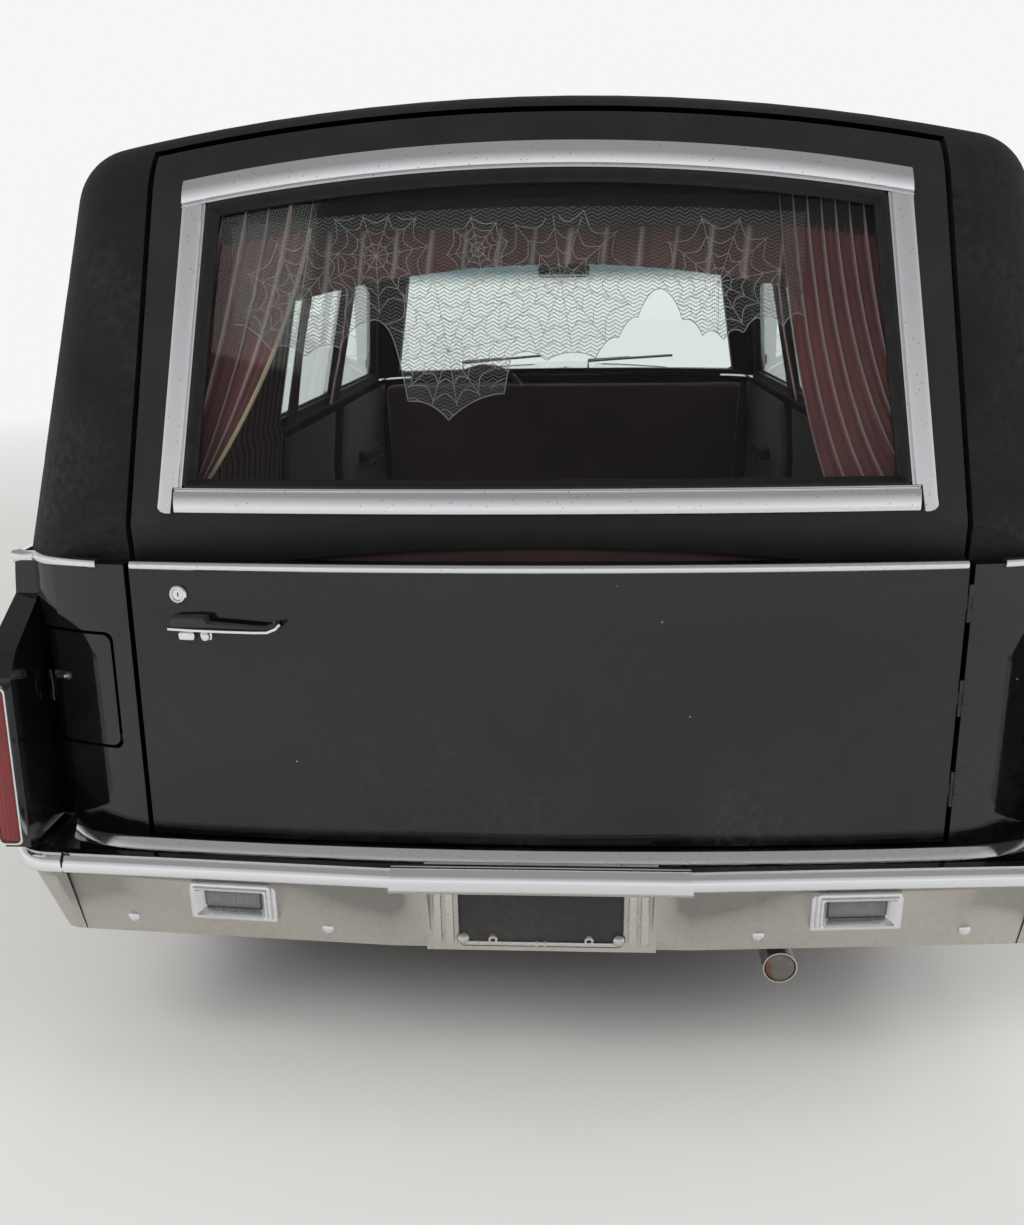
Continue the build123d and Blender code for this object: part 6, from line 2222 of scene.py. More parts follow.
        button = Shape().block(Place.facing((0, 0, 0), way), 0.009, 0.0045, -0.002, 0.006, 0.001)
        keys = Repeat().row(button, Finish.PLASTIC, 5, radio.at(-0.046, -0.024), (0.023, 0, 0))
        Repeat().piece("radio_buttons", Body.MAIN, Finish.PLASTIC, [keys])
        slat = Shape().block(Place.facing((0, 0, 0), (0, -0.80, -0.60)), 0.062, 0.004, -0.002, 0.003, 0.0008)
        rows = []
        for x in (-0.70, 0.72):
            rows.append(Repeat().row(slat.copy(), Finish.PLASTIC, 5, (x, 0.918, 0.832), (0, -0.002, 0.011)))
        Repeat().piece("air_slats", Body.MAIN, Finish.PLASTIC, rows)
        bright.tube([(-0.395, 0.80, 0.880), (-0.44, 0.775, 0.900), (-0.53, 0.765, 0.918)], 0.0045, 8)
        bright.finish("dash_bright_trim", Finish.CHROME)
        dark.finish("dash_dials", Finish.GASKET)
        pedals = Shape()
        for x, wide, z in ((-0.30, 0.045, 0.52), (-0.13, 0.028, 0.47)):
            pedals.block(Place.facing((x, 1.02, z), (0, -0.85, 0.53)), wide, 0.035, 0.0, 0.014, 0.003)
            pedals.tube([(x, 1.03, z + 0.01), (x, 1.12, z + 0.12), (x, 1.16, z + 0.18)], 0.008, 8)
        pedals.finish("pedals", Finish.GASKET)

    def mirror_and_visors(self) -> None:
        """The inner mirror on its stalk and the two visors."""
        mirror = Shape()
        mirror.stack(Place.facing((0.0, 0.655, 1.530), (0, -1, -0.12)), [
            (0.118, 0.026, 0.020, -0.012), (0.120, 0.028, 0.022, 0.0), (0.118, 0.026, 0.020, 0.003),
            (0.112, 0.021, 0.018, 0.002),
        ])
        mirror.tube([(0, 0.668, 1.534), (0, 0.690, 1.560), (0, 0.700, 1.590)], 0.005, 8)
        mirror.finish("cabin_mirror", Finish.CHROME)
        visors = Shape()
        for x in (-0.34, 0.34):
            visors.stack(Place.facing((x, 0.565, 1.600), (0, -0.35, -0.94), (0, 1, 0)), [
                (0.235, 0.060, 0.020, -0.008), (0.240, 0.065, 0.022, 0.0), (0.235, 0.060, 0.020, 0.008),
            ])
        visors.finish("sun_visors", Finish.LINER)

    def load_bay(self) -> None:
        """Strips on the deck, the rollers' end brackets and the threshold."""
        strip = Shape()
        for x in self.strip_xs:
            path = [(x, -2.90 + 2.42 * i / 12, 0.5805) for i in range(13)]
            strip.sweep(
                path, [(0, 0, 1)] * 13, mirrored([(-0.011, -0.001), (-0.010, 0.0018), (-0.004, 0.0030)]),
            )
        sill = [
            (-0.655 + 1.31 * i / 24, -2.975 + tail_bow(-0.655 + 1.31 * i / 24), 0.5805) for i in range(25)
        ]
        strip.sweep(sill, [(0, 0, 1)] * 25, mirrored([(-0.024, -0.001), (-0.023, 0.0022), (-0.014, 0.0045)]))
        strip.finish("deck_strips", Finish.STEEL)
        screw = Shape().turned(Place.facing((0, 0, 0), (0, 0, 1), (0, 1, 0)), [
            (0.0, 0.0016), (0.003, 0.0014), (0.0046, 0.0002), (0.0046, -0.001),
        ], 12)
        rows = []
        for x in self.strip_xs:
            rows.append(Repeat().row(screw.copy(), Finish.STEEL, 9, (x, -2.86, 0.5835), (0, 0.29, 0)))
        Repeat().piece("deck_screws", Body.MAIN, Finish.STEEL, rows)
        bracket = Shape()
        for i in range(5):
            y = -1.775 + 0.54 * (i - 2)
            for x in (-0.288, 0.288):
                bracket.block(
                    Place.facing((x, y, 0.5965), (0, 0, 1), (0, 1, 0)), 0.0035, 0.020, -0.0155, 0.018, 0.001,
                )
        bracket.finish("roller_brackets", Finish.STEEL)
        mat = Shape()
        rows = []
        for i in range(31):
            x = -0.86 + 1.72 * i / 30
            row = []
            for j in range(31):
                y = -0.40 + 1.58 * j / 30
                tunnel = 0.112 if abs(x) < 0.195 and y > 0.205 else 0.0
                row.append((x, y, 0.3505 + tunnel + 0.0015 * math.sin(40 * x) * math.sin(37 * y)))
            rows.append(row)
        mat.grid(rows)
        mat.finish("cabin_mat", Finish.CARPET, angle=80, solid=False)


@dataclass(frozen=True)
class SideOpening:
    """One side door's place and outlines, as (Y, Z) points."""

    kind: str
    window: tuple[tuple[float, float], ...]
    span: tuple[float, float]
    handle_y: float


FRONT_OPENING = SideOpening(
    "front", ((0.805, 1.068), (0.452, 1.452), (0.165, 1.516), (-0.088, 1.538), (-0.088, 1.068)),
    (-0.126, 1.116), 0.045,
)
SIDE_OPENING = SideOpening(
    "side", ((-0.230, 1.068), (-0.230, 1.538), (-1.138, 1.538), (-1.138, 1.068)), (-1.176, -0.192), -1.075,
)


def belt_half(y: float) -> float:
    """Half the car's width at the belt."""
    if y < -2.3:
        return 0.972 + 0.013 * (y + 3.165) / 0.865
    if y < COWL_Y:
        return HALF_WIDTH
    return HALF_WIDTH - 0.067 * (y - COWL_Y) / FENDER_RUN


def belt_height(y: float) -> float:
    """The belt's height along the car."""
    return BELT if y < COWL_Y else BELT - 0.108 * (y - COWL_Y) / FENDER_RUN


@dataclass
class SideTrim:
    """Strips, window trims, handles and mirrors along both sides."""

    strip_w: float = 0.0155
    strip_h: float = 0.0055
    cowl_end: float = 1.132
    corner_y: float = -2.80

    def build(self) -> None:
        """Makes both sides."""
        self.quarter_strips()
        self.fender_strips()
        for right in (True, False):
            for opening in (FRONT_OPENING, SIDE_OPENING):
                self.door_pieces(opening, right)
            self.drip_rail(right)
            self.mirror(right)
        self.rocker()
        self.arch_lips()
        self.side_lamps()
        self.iron_details()

    def quarter_strips(self) -> None:
        """The belt strip on each quarter, from the tail door round to the side door."""
        skin, strip = Skin("body_lower"), Shape()
        path, outs = [], []
        for step in range(41):
            angle = math.radians(-91 + 91 * step / 40)
            origin = (0.80 + 0.9 * math.cos(angle), self.corner_y + 0.9 * math.sin(angle), BELT - 0.012)
            found = skin.hit(origin, (-math.cos(angle), -math.sin(angle), 0))
            if found and found[0].x > 0.7485:
                path.append(Vector((found[0].x, found[0].y, BELT)))
                outs.append(Vector((found[1].x, found[1].y, 0)).normalized())
        for step in range(1, 25):
            y = self.corner_y + (-1.192 - self.corner_y) * step / 24
            path.append(Vector((belt_half(y), y, BELT)))
            outs.append(Vector((1, 0, 0)))
        outs = [sum(outs[max(0, i - 1): i + 2], Vector()).normalized() for i in range(len(outs))]
        strip.sweep(path, outs, crown(self.strip_w, self.strip_h, 0.014)).both_sides()
        strip.finish("quarter_belt_strips", Finish.CHROME)

    def fender_strips(self) -> None:
        """The belt strip's run down each fender, and its short piece on the cowl."""
        for name, reach in (("fender", (1.296, 3.006)), ("cowl", (self.cowl_end, 1.286))):
            strip, (low, high) = Shape(), reach
            path = []
            for i in range(25):
                y = low + (high - low) * i / 24
                grown = min(1.0, (y - self.cowl_end) / 0.16)
                path.append(Vector((belt_half(y) + 0.0048 * grown, y, belt_height(y) - 0.030 * grown)))
            strip.sweep(
                path, [Vector((1, 0, 0.06))] * len(path),
                crown(self.strip_w * 0.9, self.strip_h * 0.9, 0.006),
            ).both_sides()
            strip.finish(f"{name}_belt_strips", Finish.CHROME)

    def door_pieces(self, opening: SideOpening, right: bool) -> None:
        """One door's belt strip, window trim, handle and lock."""
        side, sign = side_of(right)
        body = f"{opening.kind}_door_{side}"
        low, high = opening.span
        strip = Shape()
        path = [
            Vector((sign * belt_half(y), y, BELT)) for y in [low + (high - low) * i / 12 for i in range(13)]
        ]
        strip.sweep(path, [Vector((sign, 0, 0))] * 13, crown(self.strip_w, self.strip_h, 0.014))
        strip.finish(f"{opening.kind}_door_strip_{side}", Finish.CHROME, body)
        skin = Skin(f"door_{opening.kind}_{side}")
        trim, gasket = Shape(), Shape()
        outline = self.grown(opening.window, 0.0055)
        loop = divided(rounded_path(outline, 0.024), 0.06, closed=True)
        points, outs = skin.side([(p.x, p.y) for p in loop], right)
        if right is not (self.turns(outline) > 0):
            points, outs = points[::-1], outs[::-1]
        profile = [
            (-0.0055, -0.002), (-0.0055, 0.0022), (-0.0035, 0.0046), (0.0, 0.0056), (0.0035, 0.0046),
            (0.0062, 0.0012), (0.0062, -0.016), (0.0050, -0.016), (0.0050, -0.002),
        ]
        trim.sweep(points, outs, profile, closed=True)
        trim.finish(f"{opening.kind}_window_trim_{side}", Finish.CHROME, body)
        outline = self.grown(opening.window, -0.004)
        loop = divided(rounded_path(outline, 0.020), 0.06, closed=True)
        points = [Vector((sign * (glass_x(p.y) - 0.0165), p.x, p.y)) for p in loop]
        outs = [Vector((sign, 0, GLASS_LEAN)).normalized()] * len(points)
        gasket.sweep(points, outs, [
            (-0.0045, -0.006), (-0.0045, 0.004), (0.0040, 0.001), (0.0052, -0.006),
        ], closed=True)
        gasket.finish(f"{opening.kind}_window_gasket_{side}", Finish.GASKET, body)
        self.handle(opening, side, sign, body, skin)

    @staticmethod
    def turns(points: Sequence[tuple[float, float]]) -> float:
        """Twice the outline's area, positive where it runs anticlockwise in (Y, Z)."""
        return sum(a[0] * b[1] - b[0] * a[1] for a, b in zip(points, [*points[1:], points[0]]))

    def grown(self, points: Sequence[tuple[float, float]], grow: float) -> list[tuple[float, float]]:
        """An outline with each side moved outwards."""
        sign, count, made = (1 if self.turns(points) > 0 else -1), len(points), []
        for index in range(count):
            before, here, after = (Vector(points[(index + k) % count]) for k in (-1, 0, 1))
            first, second = (here - before).normalized(), (after - here).normalized()
            a, b = (Vector((way.y, -way.x)) * sign for way in (first, second))
            middle = (a + b).normalized()
            made.append(tuple(here + middle * grow / max(0.4, middle.dot(a))))
        return made

    def handle(self, opening: SideOpening, side: str, sign: int, body: str, skin: Skin) -> None:
        """The door's pull handle over its cup, and the lock under it."""
        spot = skin.place((1.4 * sign, opening.handle_y, 0.945), (-sign, 0, 0))
        if not spot:
            return
        made = Shape()
        made.stack(spot, [
            (0.078, 0.0155, 0.0150, -0.002), (0.078, 0.0155, 0.0150, 0.0012), (0.074, 0.0125, 0.0120, 0.0020),
            (0.062, 0.0090, 0.0085, -0.0020),
        ])
        line = mirrored([(-0.066, 0.004), (-0.050, 0.0100), (-0.020, 0.0135)])
        across = mirrored([(-0.0070, -0.003), (-0.0075, 0.001), (-0.0045, 0.0032)])
        made.grid([[spot.at(x, b, proud + c) for b, c in across] for x, proud in line], wrap=True, caps=True)
        lock = Place.facing(spot.at(0.0, -0.040), spot.out)
        made.turned(lock, [
            (0.0, 0.0028), (0.0060, 0.0030), (0.0072, 0.0048), (0.0098, 0.0042), (0.0112, 0.0006),
            (0.0112, -0.002),
        ], 28)
        made.finish(f"{opening.kind}_door_handle_{side}", Finish.CHROME, body)

    def drip_rail(self, right: bool) -> None:
        """The gutter over the doors, which runs down beside the windshield."""
        skin = Skin("body_upper")
        line = rounded_path([
            (-2.760, 1.596), (-0.120, 1.604), (0.190, 1.585), (0.492, 1.520), (0.845, 1.135),
        ], 0.12, closed=False, steps=8)
        points, outs = skin.side([(p.x, p.y) for p in divided(line, 0.05)], right)
        profile = [
            (-0.0060, -0.003), (-0.0065, 0.0060), (-0.0045, 0.0095), (0.0, 0.0105), (0.0045, 0.0085),
            (0.0062, 0.0040), (0.0062, -0.003),
        ]
        Shape().sweep(points, outs, profile).finish(f"drip_rail_{side_of(right)[0]}", Finish.CHROME)

    def mirror(self, right: bool) -> None:
        """A small bright mirror at the front of each door."""
        side, sign = side_of(right)
        made = Shape()
        spot = Place.facing((sign * 0.976, 1.018, 1.104), (0, -1, 0))
        made.stack(spot, [
            (0.012, 0.010, 0.008, -0.050), (0.028, 0.024, 0.020, -0.038), (0.034, 0.030, 0.022, -0.018),
            (0.036, 0.032, 0.022, 0.0), (0.034, 0.030, 0.020, 0.003), (0.031, 0.027, 0.018, 0.001),
        ])
        made.tube([
            (sign * 0.972, 1.050, 1.088), (sign * 0.970, 1.062, 1.062), (sign * 0.970, 1.066, 1.034),
        ], 0.008, 10)
        made.block(
            Place.facing((sign * 0.970, 1.066, 1.031), (0, 0, 1), (0, 1, 0)), 0.014, 0.030, 0.0, 0.007, 0.002,
        )
        made.finish(f"door_mirror_{side}", Finish.CHROME, f"front_door_{side}")

    def rocker(self) -> None:
        """The bright moulding along the sills, between the wheels."""
        skin, rail = Skin("body_lower"), Shape()
        profile = mirrored(
            [(-0.027, -0.003), (-0.027, 0.0035), (-0.021, 0.0062), (-0.012, 0.0048), (0.0, 0.0058)]
        )
        points, outs = skin.side([(-1.330 + 2.605 * i / 40, 0.307) for i in range(41)])
        rail.sweep(points, outs, profile)
        rail.both_sides()
        rail.finish("rocker_mouldings", Finish.CHROME)

    def arch_lips(self) -> None:
        """A rolled bright lip round each wheel opening."""
        lips = Shape()
        for y, radius, skin, low in (
            (REAR_AXLE, 0.4275, Skin("body_lower"), (-6.0, 186.0)),
            (FRONT_AXLE, 0.4475, Skin("fender_right"), (-4.0, 184.0)),
        ):
            line = []
            for step in range(57):
                angle = math.radians(low[0] + (low[1] - low[0]) * step / 56)
                line.append((y + radius * math.cos(angle), 0.365 + radius * math.sin(angle)))
            points, outs = skin.side(line)
            lips.sweep(points, outs, [
                (-0.0055, -0.002), (-0.0060, 0.0015), (-0.0040, 0.0034), (0.0, 0.0038), (0.0045, 0.0026),
                (0.0055, 0.0), (0.0055, -0.012), (0.0040, -0.012), (0.0040, -0.002),
            ])
        lips.both_sides().finish("wheel_arch_lips", Finish.CHROME)

    def side_lamps(self) -> None:
        """Small marker lamps: red on the quarters and amber on the fenders."""
        for name, y, z, finish, skin in (
            ("rear_marker", -2.900, 0.640, Finish.RED_LENS, Skin("body_lower")),
            ("front_marker", 2.870, 0.600, Finish.AMBER_LENS, Skin("fender_right")),
        ):
            spot = skin.place((1.4, y, z), (-1, 0, 0))
            if not spot:
                continue
            bezel = Shape().stack(spot, [
                (0.062, 0.0200, 0.006, -0.002), (0.062, 0.0200, 0.006, 0.0026),
                (0.0600, 0.0180, 0.005, 0.0036), (0.0565, 0.0145, 0.004, 0.0024),
                (0.0565, 0.0145, 0.004, -0.002),
            ], caps=False)
            bezel.both_sides().finish(f"{name}_bezels", Finish.CHROME)
            lens = Shape().stack(spot, [
                (0.056, 0.014, 0.004, -0.001), (0.056, 0.014, 0.004, 0.0020), (0.0540, 0.0120, 0.003, 0.0030),
            ])
            lens.both_sides().finish(f"{name}_lenses", finish)

    def iron_details(self) -> None:
        """Ribs and a boss on each landau iron's oval."""
        skin, made = Skin("landau_irons"), Shape()
        wide, tall = 0.052, 0.024
        spot = skin.place((1.4, -1.930, 1.310), (-1, 0, 0))
        if spot:
            made.stack(spot, [
                (wide * a, tall * b, tall * b, proud)
                for a, b, proud in (
                    (1, 1, -0.002), (1, 1, 0.0018), (0.93, 0.86, 0.0040), (0.75, 0.62, 0.0028),
                    (0.55, 0.42, 0.0056), (0.2, 0.15, 0.0066),
                )
            ])
        for y, z in ((-1.380, 1.530), (-2.480, 1.090)):
            spot = skin.place((1.4, y, z), (-1, 0, 0))
            if spot:
                made.turned(spot, [
                    (0.0, 0.0064), (0.008, 0.0060), (0.0140, 0.0042), (0.0165, 0.0022), (0.0200, 0.0026),
                    (0.0225, 0.0008), (0.0225, -0.002),
                ], 32)
        made.both_sides().finish("landau_iron_bosses", Finish.CHROME)


@dataclass
class NoseTrim:
    """Lamps, grille, hood and windshield trims at the front."""

    lamp_xs: tuple[float, float] = (0.560, 0.770)
    lamp_z: float = 0.745
    face_y: float = 3.120
    grille_z: float = 0.730

    def build(self) -> None:
        """Makes every piece of the front."""
        self.headlamp_bezels()
        self.grille_surround()
        self.bumper_fittings()
        self.hood_trim()
        self.windshield_trim()
        self.wipers()
        self.cowl_vent()

    def headlamp_bezels(self) -> None:
        """A squared bright bezel with a round opening over each lamp, and its ribbed face."""
        bezel, face = Shape(), Shape()
        for x in self.lamp_xs:
            spot = Place.facing((x, self.face_y, self.lamp_z), (0, 1, 0))
            bezel.stack(spot, [
                (0.1010, 0.1010, 0.016, -0.004), (0.1010, 0.1010, 0.016, 0.0080),
                (0.0990, 0.0990, 0.015, 0.0105), (0.0930, 0.0930, 0.040, 0.0105),
                (0.0840, 0.0840, 0.0840, 0.0060), (0.0800, 0.0800, 0.0800, -0.0060),
                (0.0765, 0.0765, 0.0765, -0.0120), (0.0765, 0.0765, 0.0765, -0.0180),
                (0.0860, 0.0860, 0.0860, -0.0180), (0.0860, 0.0860, 0.0860, -0.004),
            ], caps=False)
            rings = [
                (0.0, -0.0120), (0.018, -0.0125), (0.036, -0.0140), (0.054, -0.0170), (0.066, -0.0205),
                (0.0722, -0.0250), (0.0725, -0.0300),
            ]
            face.turned(spot, rings, 40)
        bezel.both_sides().finish("headlamp_bezels", Finish.CHROME, angle=30)
        face.both_sides().finish("headlamp_faces", Finish.CLEAR_LENS)

    def grille_surround(self) -> None:
        """The bright frame round the grille, with a heavier middle bar and upright posts."""
        spot = Place.facing((0, self.face_y, self.grille_z), (0, 1, 0))
        made = Shape().stack(spot, [
            (0.4360, 0.1460, 0.014, -0.004), (0.4360, 0.1460, 0.014, 0.0090), (0.4330, 0.1430, 0.013, 0.0125),
            (0.4240, 0.1340, 0.010, 0.0125), (0.4190, 0.1290, 0.008, 0.0080), (0.4185, 0.1285, 0.008, -0.014),
            (0.4260, 0.1360, 0.010, -0.014), (0.4260, 0.1360, 0.010, -0.004),
        ], caps=False)
        bar = [(x, self.face_y + 0.007, self.grille_z) for x in [-0.417 + 0.834 * i / 20 for i in range(21)]]
        made.sweep(bar, [(0, 1, 0)] * 21, mirrored([(-0.009, -0.008), (-0.009, -0.001), (-0.006, 0.0035)]))
        post = Shape().block(Place.facing((0, 0, 0), (0, 1, 0)), 0.0022, 0.1280, -0.008, 0.0020, 0.0008)
        repeat = Repeat()
        rows = [
            repeat.row(post, Finish.CHROME, 19, (-0.378, self.face_y + 0.0065, self.grille_z), (0.042, 0, 0))
        ]
        made.finish("grille_surround", Finish.CHROME)
        repeat.piece("grille_posts", Body.MAIN, Finish.CHROME, rows)

    def bumper_fittings(self) -> None:
        """Two upright guards and turn lamps on the front bumper."""
        skin, guards, lens = Skin("bumper_front"), Shape(), Shape()
        guards.stack(Place.facing((0.300, 3.187, 0.440), (0, 1, 0)), [
            (0.030, 0.100, 0.016, -0.030), (0.030, 0.100, 0.016, 0.002), (0.0270, 0.0950, 0.015, 0.0095),
            (0.0200, 0.0850, 0.012, 0.0128),
        ])
        guards.both_sides().finish("front_bumper_guards", Finish.DULL_CHROME)
        pads = Shape()
        pads.stack(Place.facing((0.300, 3.1978, 0.440), (0, 1, 0)), [
            (0.0125, 0.0700, 0.010, -0.002), (0.0125, 0.0700, 0.010, 0.0012), (0.0100, 0.0660, 0.008, 0.0020),
        ])
        pads.both_sides().finish("front_bumper_pads", Finish.GASKET)
        spot = skin.place((0.660, 3.6, 0.452), (0, -1, 0))
        if spot:
            bezel = Shape().stack(spot, [
                (0.094, 0.032, 0.009, -0.002), (0.094, 0.032, 0.009, 0.0040), (0.0915, 0.0295, 0.008, 0.0054),
                (0.0860, 0.0240, 0.006, 0.0036), (0.0860, 0.0240, 0.006, -0.002),
            ], caps=False)
            bezel.both_sides().finish("turn_lamp_bezels", Finish.CHROME)
            lens.stack(spot, [
                (0.0855, 0.0235, 0.006, -0.001), (0.0855, 0.0235, 0.006, 0.0030),
                (0.0820, 0.0200, 0.005, 0.0046),
            ])
            lens.both_sides().finish("turn_lamp_lenses", Finish.AMBER_LENS)

    def hood_trim(self) -> None:
        """The bright strip along the hood's ridge and the lip at its front edge."""
        skin = Skin("hood")
        points, outs = skin.trace([(0, 1.47 + 1.48 * i / 40, 1.5) for i in range(41)], (0, 0, -1))
        profile = mirrored([(-0.0045, -0.002), (-0.0045, 0.0010), (-0.0015, 0.0060)])
        made = Shape().sweep(points, outs, profile)
        points, outs = skin.trace([(-0.66 + 1.32 * i / 40, 2.988, 1.5) for i in range(41)], (0, 0, -1))
        made.sweep(points, outs, mirrored([(-0.009, -0.002), (-0.009, 0.0022), (-0.004, 0.0046)]))
        made.finish("hood_trim", Finish.CHROME, Body.HOOD)

    def windshield_trim(self) -> None:
        """The bright moulding round the windshield."""
        arch = [(0.700 * (1 - 2 * i / 20), 1.556) for i in range(21)]
        sagitta_r = (0.700**2 + 0.044**2) / (2 * 0.044)
        arch = [(x, 1.600 - sagitta_r + math.sqrt(sagitta_r**2 - x * x)) for x, _ in arch]
        outline = [(-0.835, 1.062), (0.835, 1.062), *arch]
        skin, tries = Skin("body_upper"), []
        middle = Vector((0, 1.33))
        for point in divided(rounded_path(outline, 0.03), 0.06, closed=True):
            way = (point - middle)
            tries.append(point + way.normalized() * 0.010)
        found = [skin.hit((p.x, 3.0, p.y), (0, -1, 0)) for p in tries]
        found = [spot for spot in found if spot and spot[0].y > 0.2]
        points, outs = [s[0] for s in found], [s[1] for s in found]
        outs = [(outs[i - 1] + outs[i] + outs[(i + 1) % len(outs)]).normalized() for i in range(len(outs))]
        if len(points) > 20:
            profile = [
                (-0.008, -0.003), (-0.008, 0.0020), (-0.005, 0.0048), (0.0, 0.0056), (0.005, 0.0044),
                (0.009, 0.0005), (0.009, -0.012), (0.0075, -0.012), (0.0075, -0.003),
            ]
            Shape().sweep(points, outs, profile, closed=True).finish(
                "windshield_trim", Finish.CHROME, angle=40,
            )

    def wipers(self) -> None:
        """Two arms with blades, parked low on the glass."""
        skin, made = Skin("windshield"), Shape()
        for x, reach in ((-0.52, 0.40), (0.12, 0.42)):
            tip = [(x + reach * i / 8, 1.095 + 0.030 * i / 8) for i in range(9)]
            points, outs = skin.trace([(a, 3.0, z) for a, z in tip], (0, -1, 0))
            if len(points) < 5:
                continue
            made.sweep(points, outs, mirrored([(-0.005, 0.0015), (-0.006, 0.0080), (-0.0035, 0.0100)]))
            foot = points[0] + outs[0] * 0.006
            pivot = Vector((x - 0.02, min(1.262, foot.y + 0.05), 1.038))
            made.tube([
                pivot, pivot + Vector((0.02, 0.0, 0.022)), foot + outs[0] * 0.008,
                points[4] + outs[4] * 0.012,
            ], 0.0052, 8)
            made.turned(Place.facing(pivot - Vector((0, 0, 0.008)), (0, 0.1, 1), (0, 1, 0)), [
                (0.0, 0.020), (0.008, 0.019), (0.013, 0.012), (0.014, 0.0), (0.014, -0.002),
            ], 20)
        made.finish("wipers", Finish.DULL_CHROME)

    def cowl_vent(self) -> None:
        """Dark blocks across the cowl: painted shade standing for its air slots."""
        skin = Skin("body_lower")
        found = skin.hit((0.0, 1.278, 1.5), (0, 0, -1))
        if not found:
            return
        # Each dark block stands proud of the cowl, painted shade in place of an open slot.
        slot = Shape().block(
            Place.facing((0, 0, 0), (0, 0, 1), (0, 1, 0)), 0.0030, 0.0085, -0.001, 0.0012, 0.0005,
        )
        row = Repeat().row(slot, Finish.GASKET, 61, (-0.60, 1.2790, found[0].z), (0.020, 0, 0))
        Repeat().piece("cowl_air_slots", Body.MAIN, Finish.GASKET, [row])


@dataclass
class Wheels:
    """Tyres with tread and whitewalls, and bright covers, at all four corners."""

    bead_r: float = 0.1963
    outer_r: float = 0.3645
    blocks: int = 76

    def build(self) -> None:
        """Makes the four wheels' pieces."""
        for end, y in (("front", FRONT_AXLE), ("rear", REAR_AXLE)):
            for side, sign in (("right", 1), ("left", -1)):
                self.wheel(f"{end}_{side}", Vector((sign * WHEEL_X, y, TYRE_R)), sign)

    def tyre_profile(self) -> list[tuple[float, float]]:
        """Radius and distance outwards from the wheel's middle, round the tyre's section."""
        outer = [
            (self.bead_r, 0.0775), (0.2000, 0.0845), (0.2060, 0.0905), (0.2120, 0.0915), (0.2220, 0.0965),
            (0.2400, 0.1020), (0.2600, 0.1044), (0.2750, 0.1045), (0.3000, 0.1015), (0.3150, 0.0985),
            (0.3300, 0.0950), (0.3420, 0.0905), (0.3490, 0.0850), (0.3500, 0.0790),
        ]
        tread = [(self.crown_r(x) - 0.0072, x) for x in (0.060, 0.040, 0.020, 0.0, -0.020, -0.040, -0.060)]
        inner = [(r, -x) for r, x in reversed(outer)]
        return [*outer, *tread, *inner]

    def crown_r(self, x: float) -> float:
        """The tread's radius at a distance from the tyre's middle."""
        return self.outer_r - 0.0095 * (x / 0.081) ** 2

    def wheel(self, name: str, hub: Vector, sign: int) -> None:
        """One wheel's tyre, whitewall and cover."""
        body, place = f"wheel_{name}", Place.facing(hub, (sign, 0, 0))
        tyre = Shape().turned(place, self.tyre_profile(), 96, close=True)
        tyre.finish(f"tyre_{name}_carcass", Finish.TYRE, body, [f"tyre_{name}"], 30)
        rows = []
        for first, ribs in (
            (0.0, ((0.0705, 0.0105), (0.0, 0.0155), (-0.0705, 0.0105))),
            (0.5, ((0.0375, 0.0130), (-0.0375, 0.0130))),
        ):
            block = Shape()
            for x, wide in ribs:
                top = self.crown_r(x)
                block.stack(Place.facing((x, 0, 0), (0, 0, 1), (0, 1, 0)), [
                    (wide, 0.0118, 0.0015, top - 0.011), (wide, 0.0118, 0.0015, top),
                ], steps=1)
            rows.append(Repeat().row(
                block, Finish.TYRE, self.blocks, hub, turn=(math.tau / self.blocks, 0, 0),
                first=(first * math.tau / self.blocks, 0, 0),
            ))
        Repeat().piece(f"tyre_{name}_tread", body, Finish.TYRE, rows)
        white = Shape().turned(place, [
            (0.2440, 0.1015), (0.2450, 0.1038), (0.2600, 0.1054), (0.2740, 0.1053), (0.2800, 0.1042),
            (0.2805, 0.1020),
        ], 96, close=True)
        white.finish(f"tyre_{name}_whitewall", Finish.WHITEWALL, body)
        cover = Shape().turned(place, [
            (0.0, 0.0600), (0.1500, 0.0600), (0.1950, 0.0700), (0.1970, 0.0780), (0.1985, 0.0850),
            (0.1930, 0.0895), (0.1820, 0.0880), (0.1760, 0.0800), (0.1500, 0.0770), (0.1200, 0.0820),
            (0.1020, 0.0900), (0.0960, 0.0895), (0.0900, 0.0840), (0.0700, 0.0860), (0.0560, 0.0950),
            (0.0400, 0.1000), (0.0180, 0.1020), (0.0, 0.1025),
        ], 72)
        cover.finish(f"wheel_cover_{name}", Finish.CHROME, body)
        fin = Shape()
        reach = 0.0788 if sign > 0 else -0.0788
        rows = []
        for z, tall in ((0.118, 0.0035), (0.135, 0.0045), (0.155, 0.0055), (0.174, 0.0040)):
            rows.append([
                (reach, -0.0036, z), (reach + sign * tall, -0.0012, z), (reach + sign * tall, 0.0012, z),
                (reach, 0.0036, z),
            ])
        fin.grid(rows, wrap=True, caps=True)
        ring = Repeat().row(fin, Finish.CHROME, 36, hub, turn=(math.tau / 36, 0, 0))
        Repeat().piece(f"wheel_cover_ribs_{name}", body, Finish.CHROME, [ring])


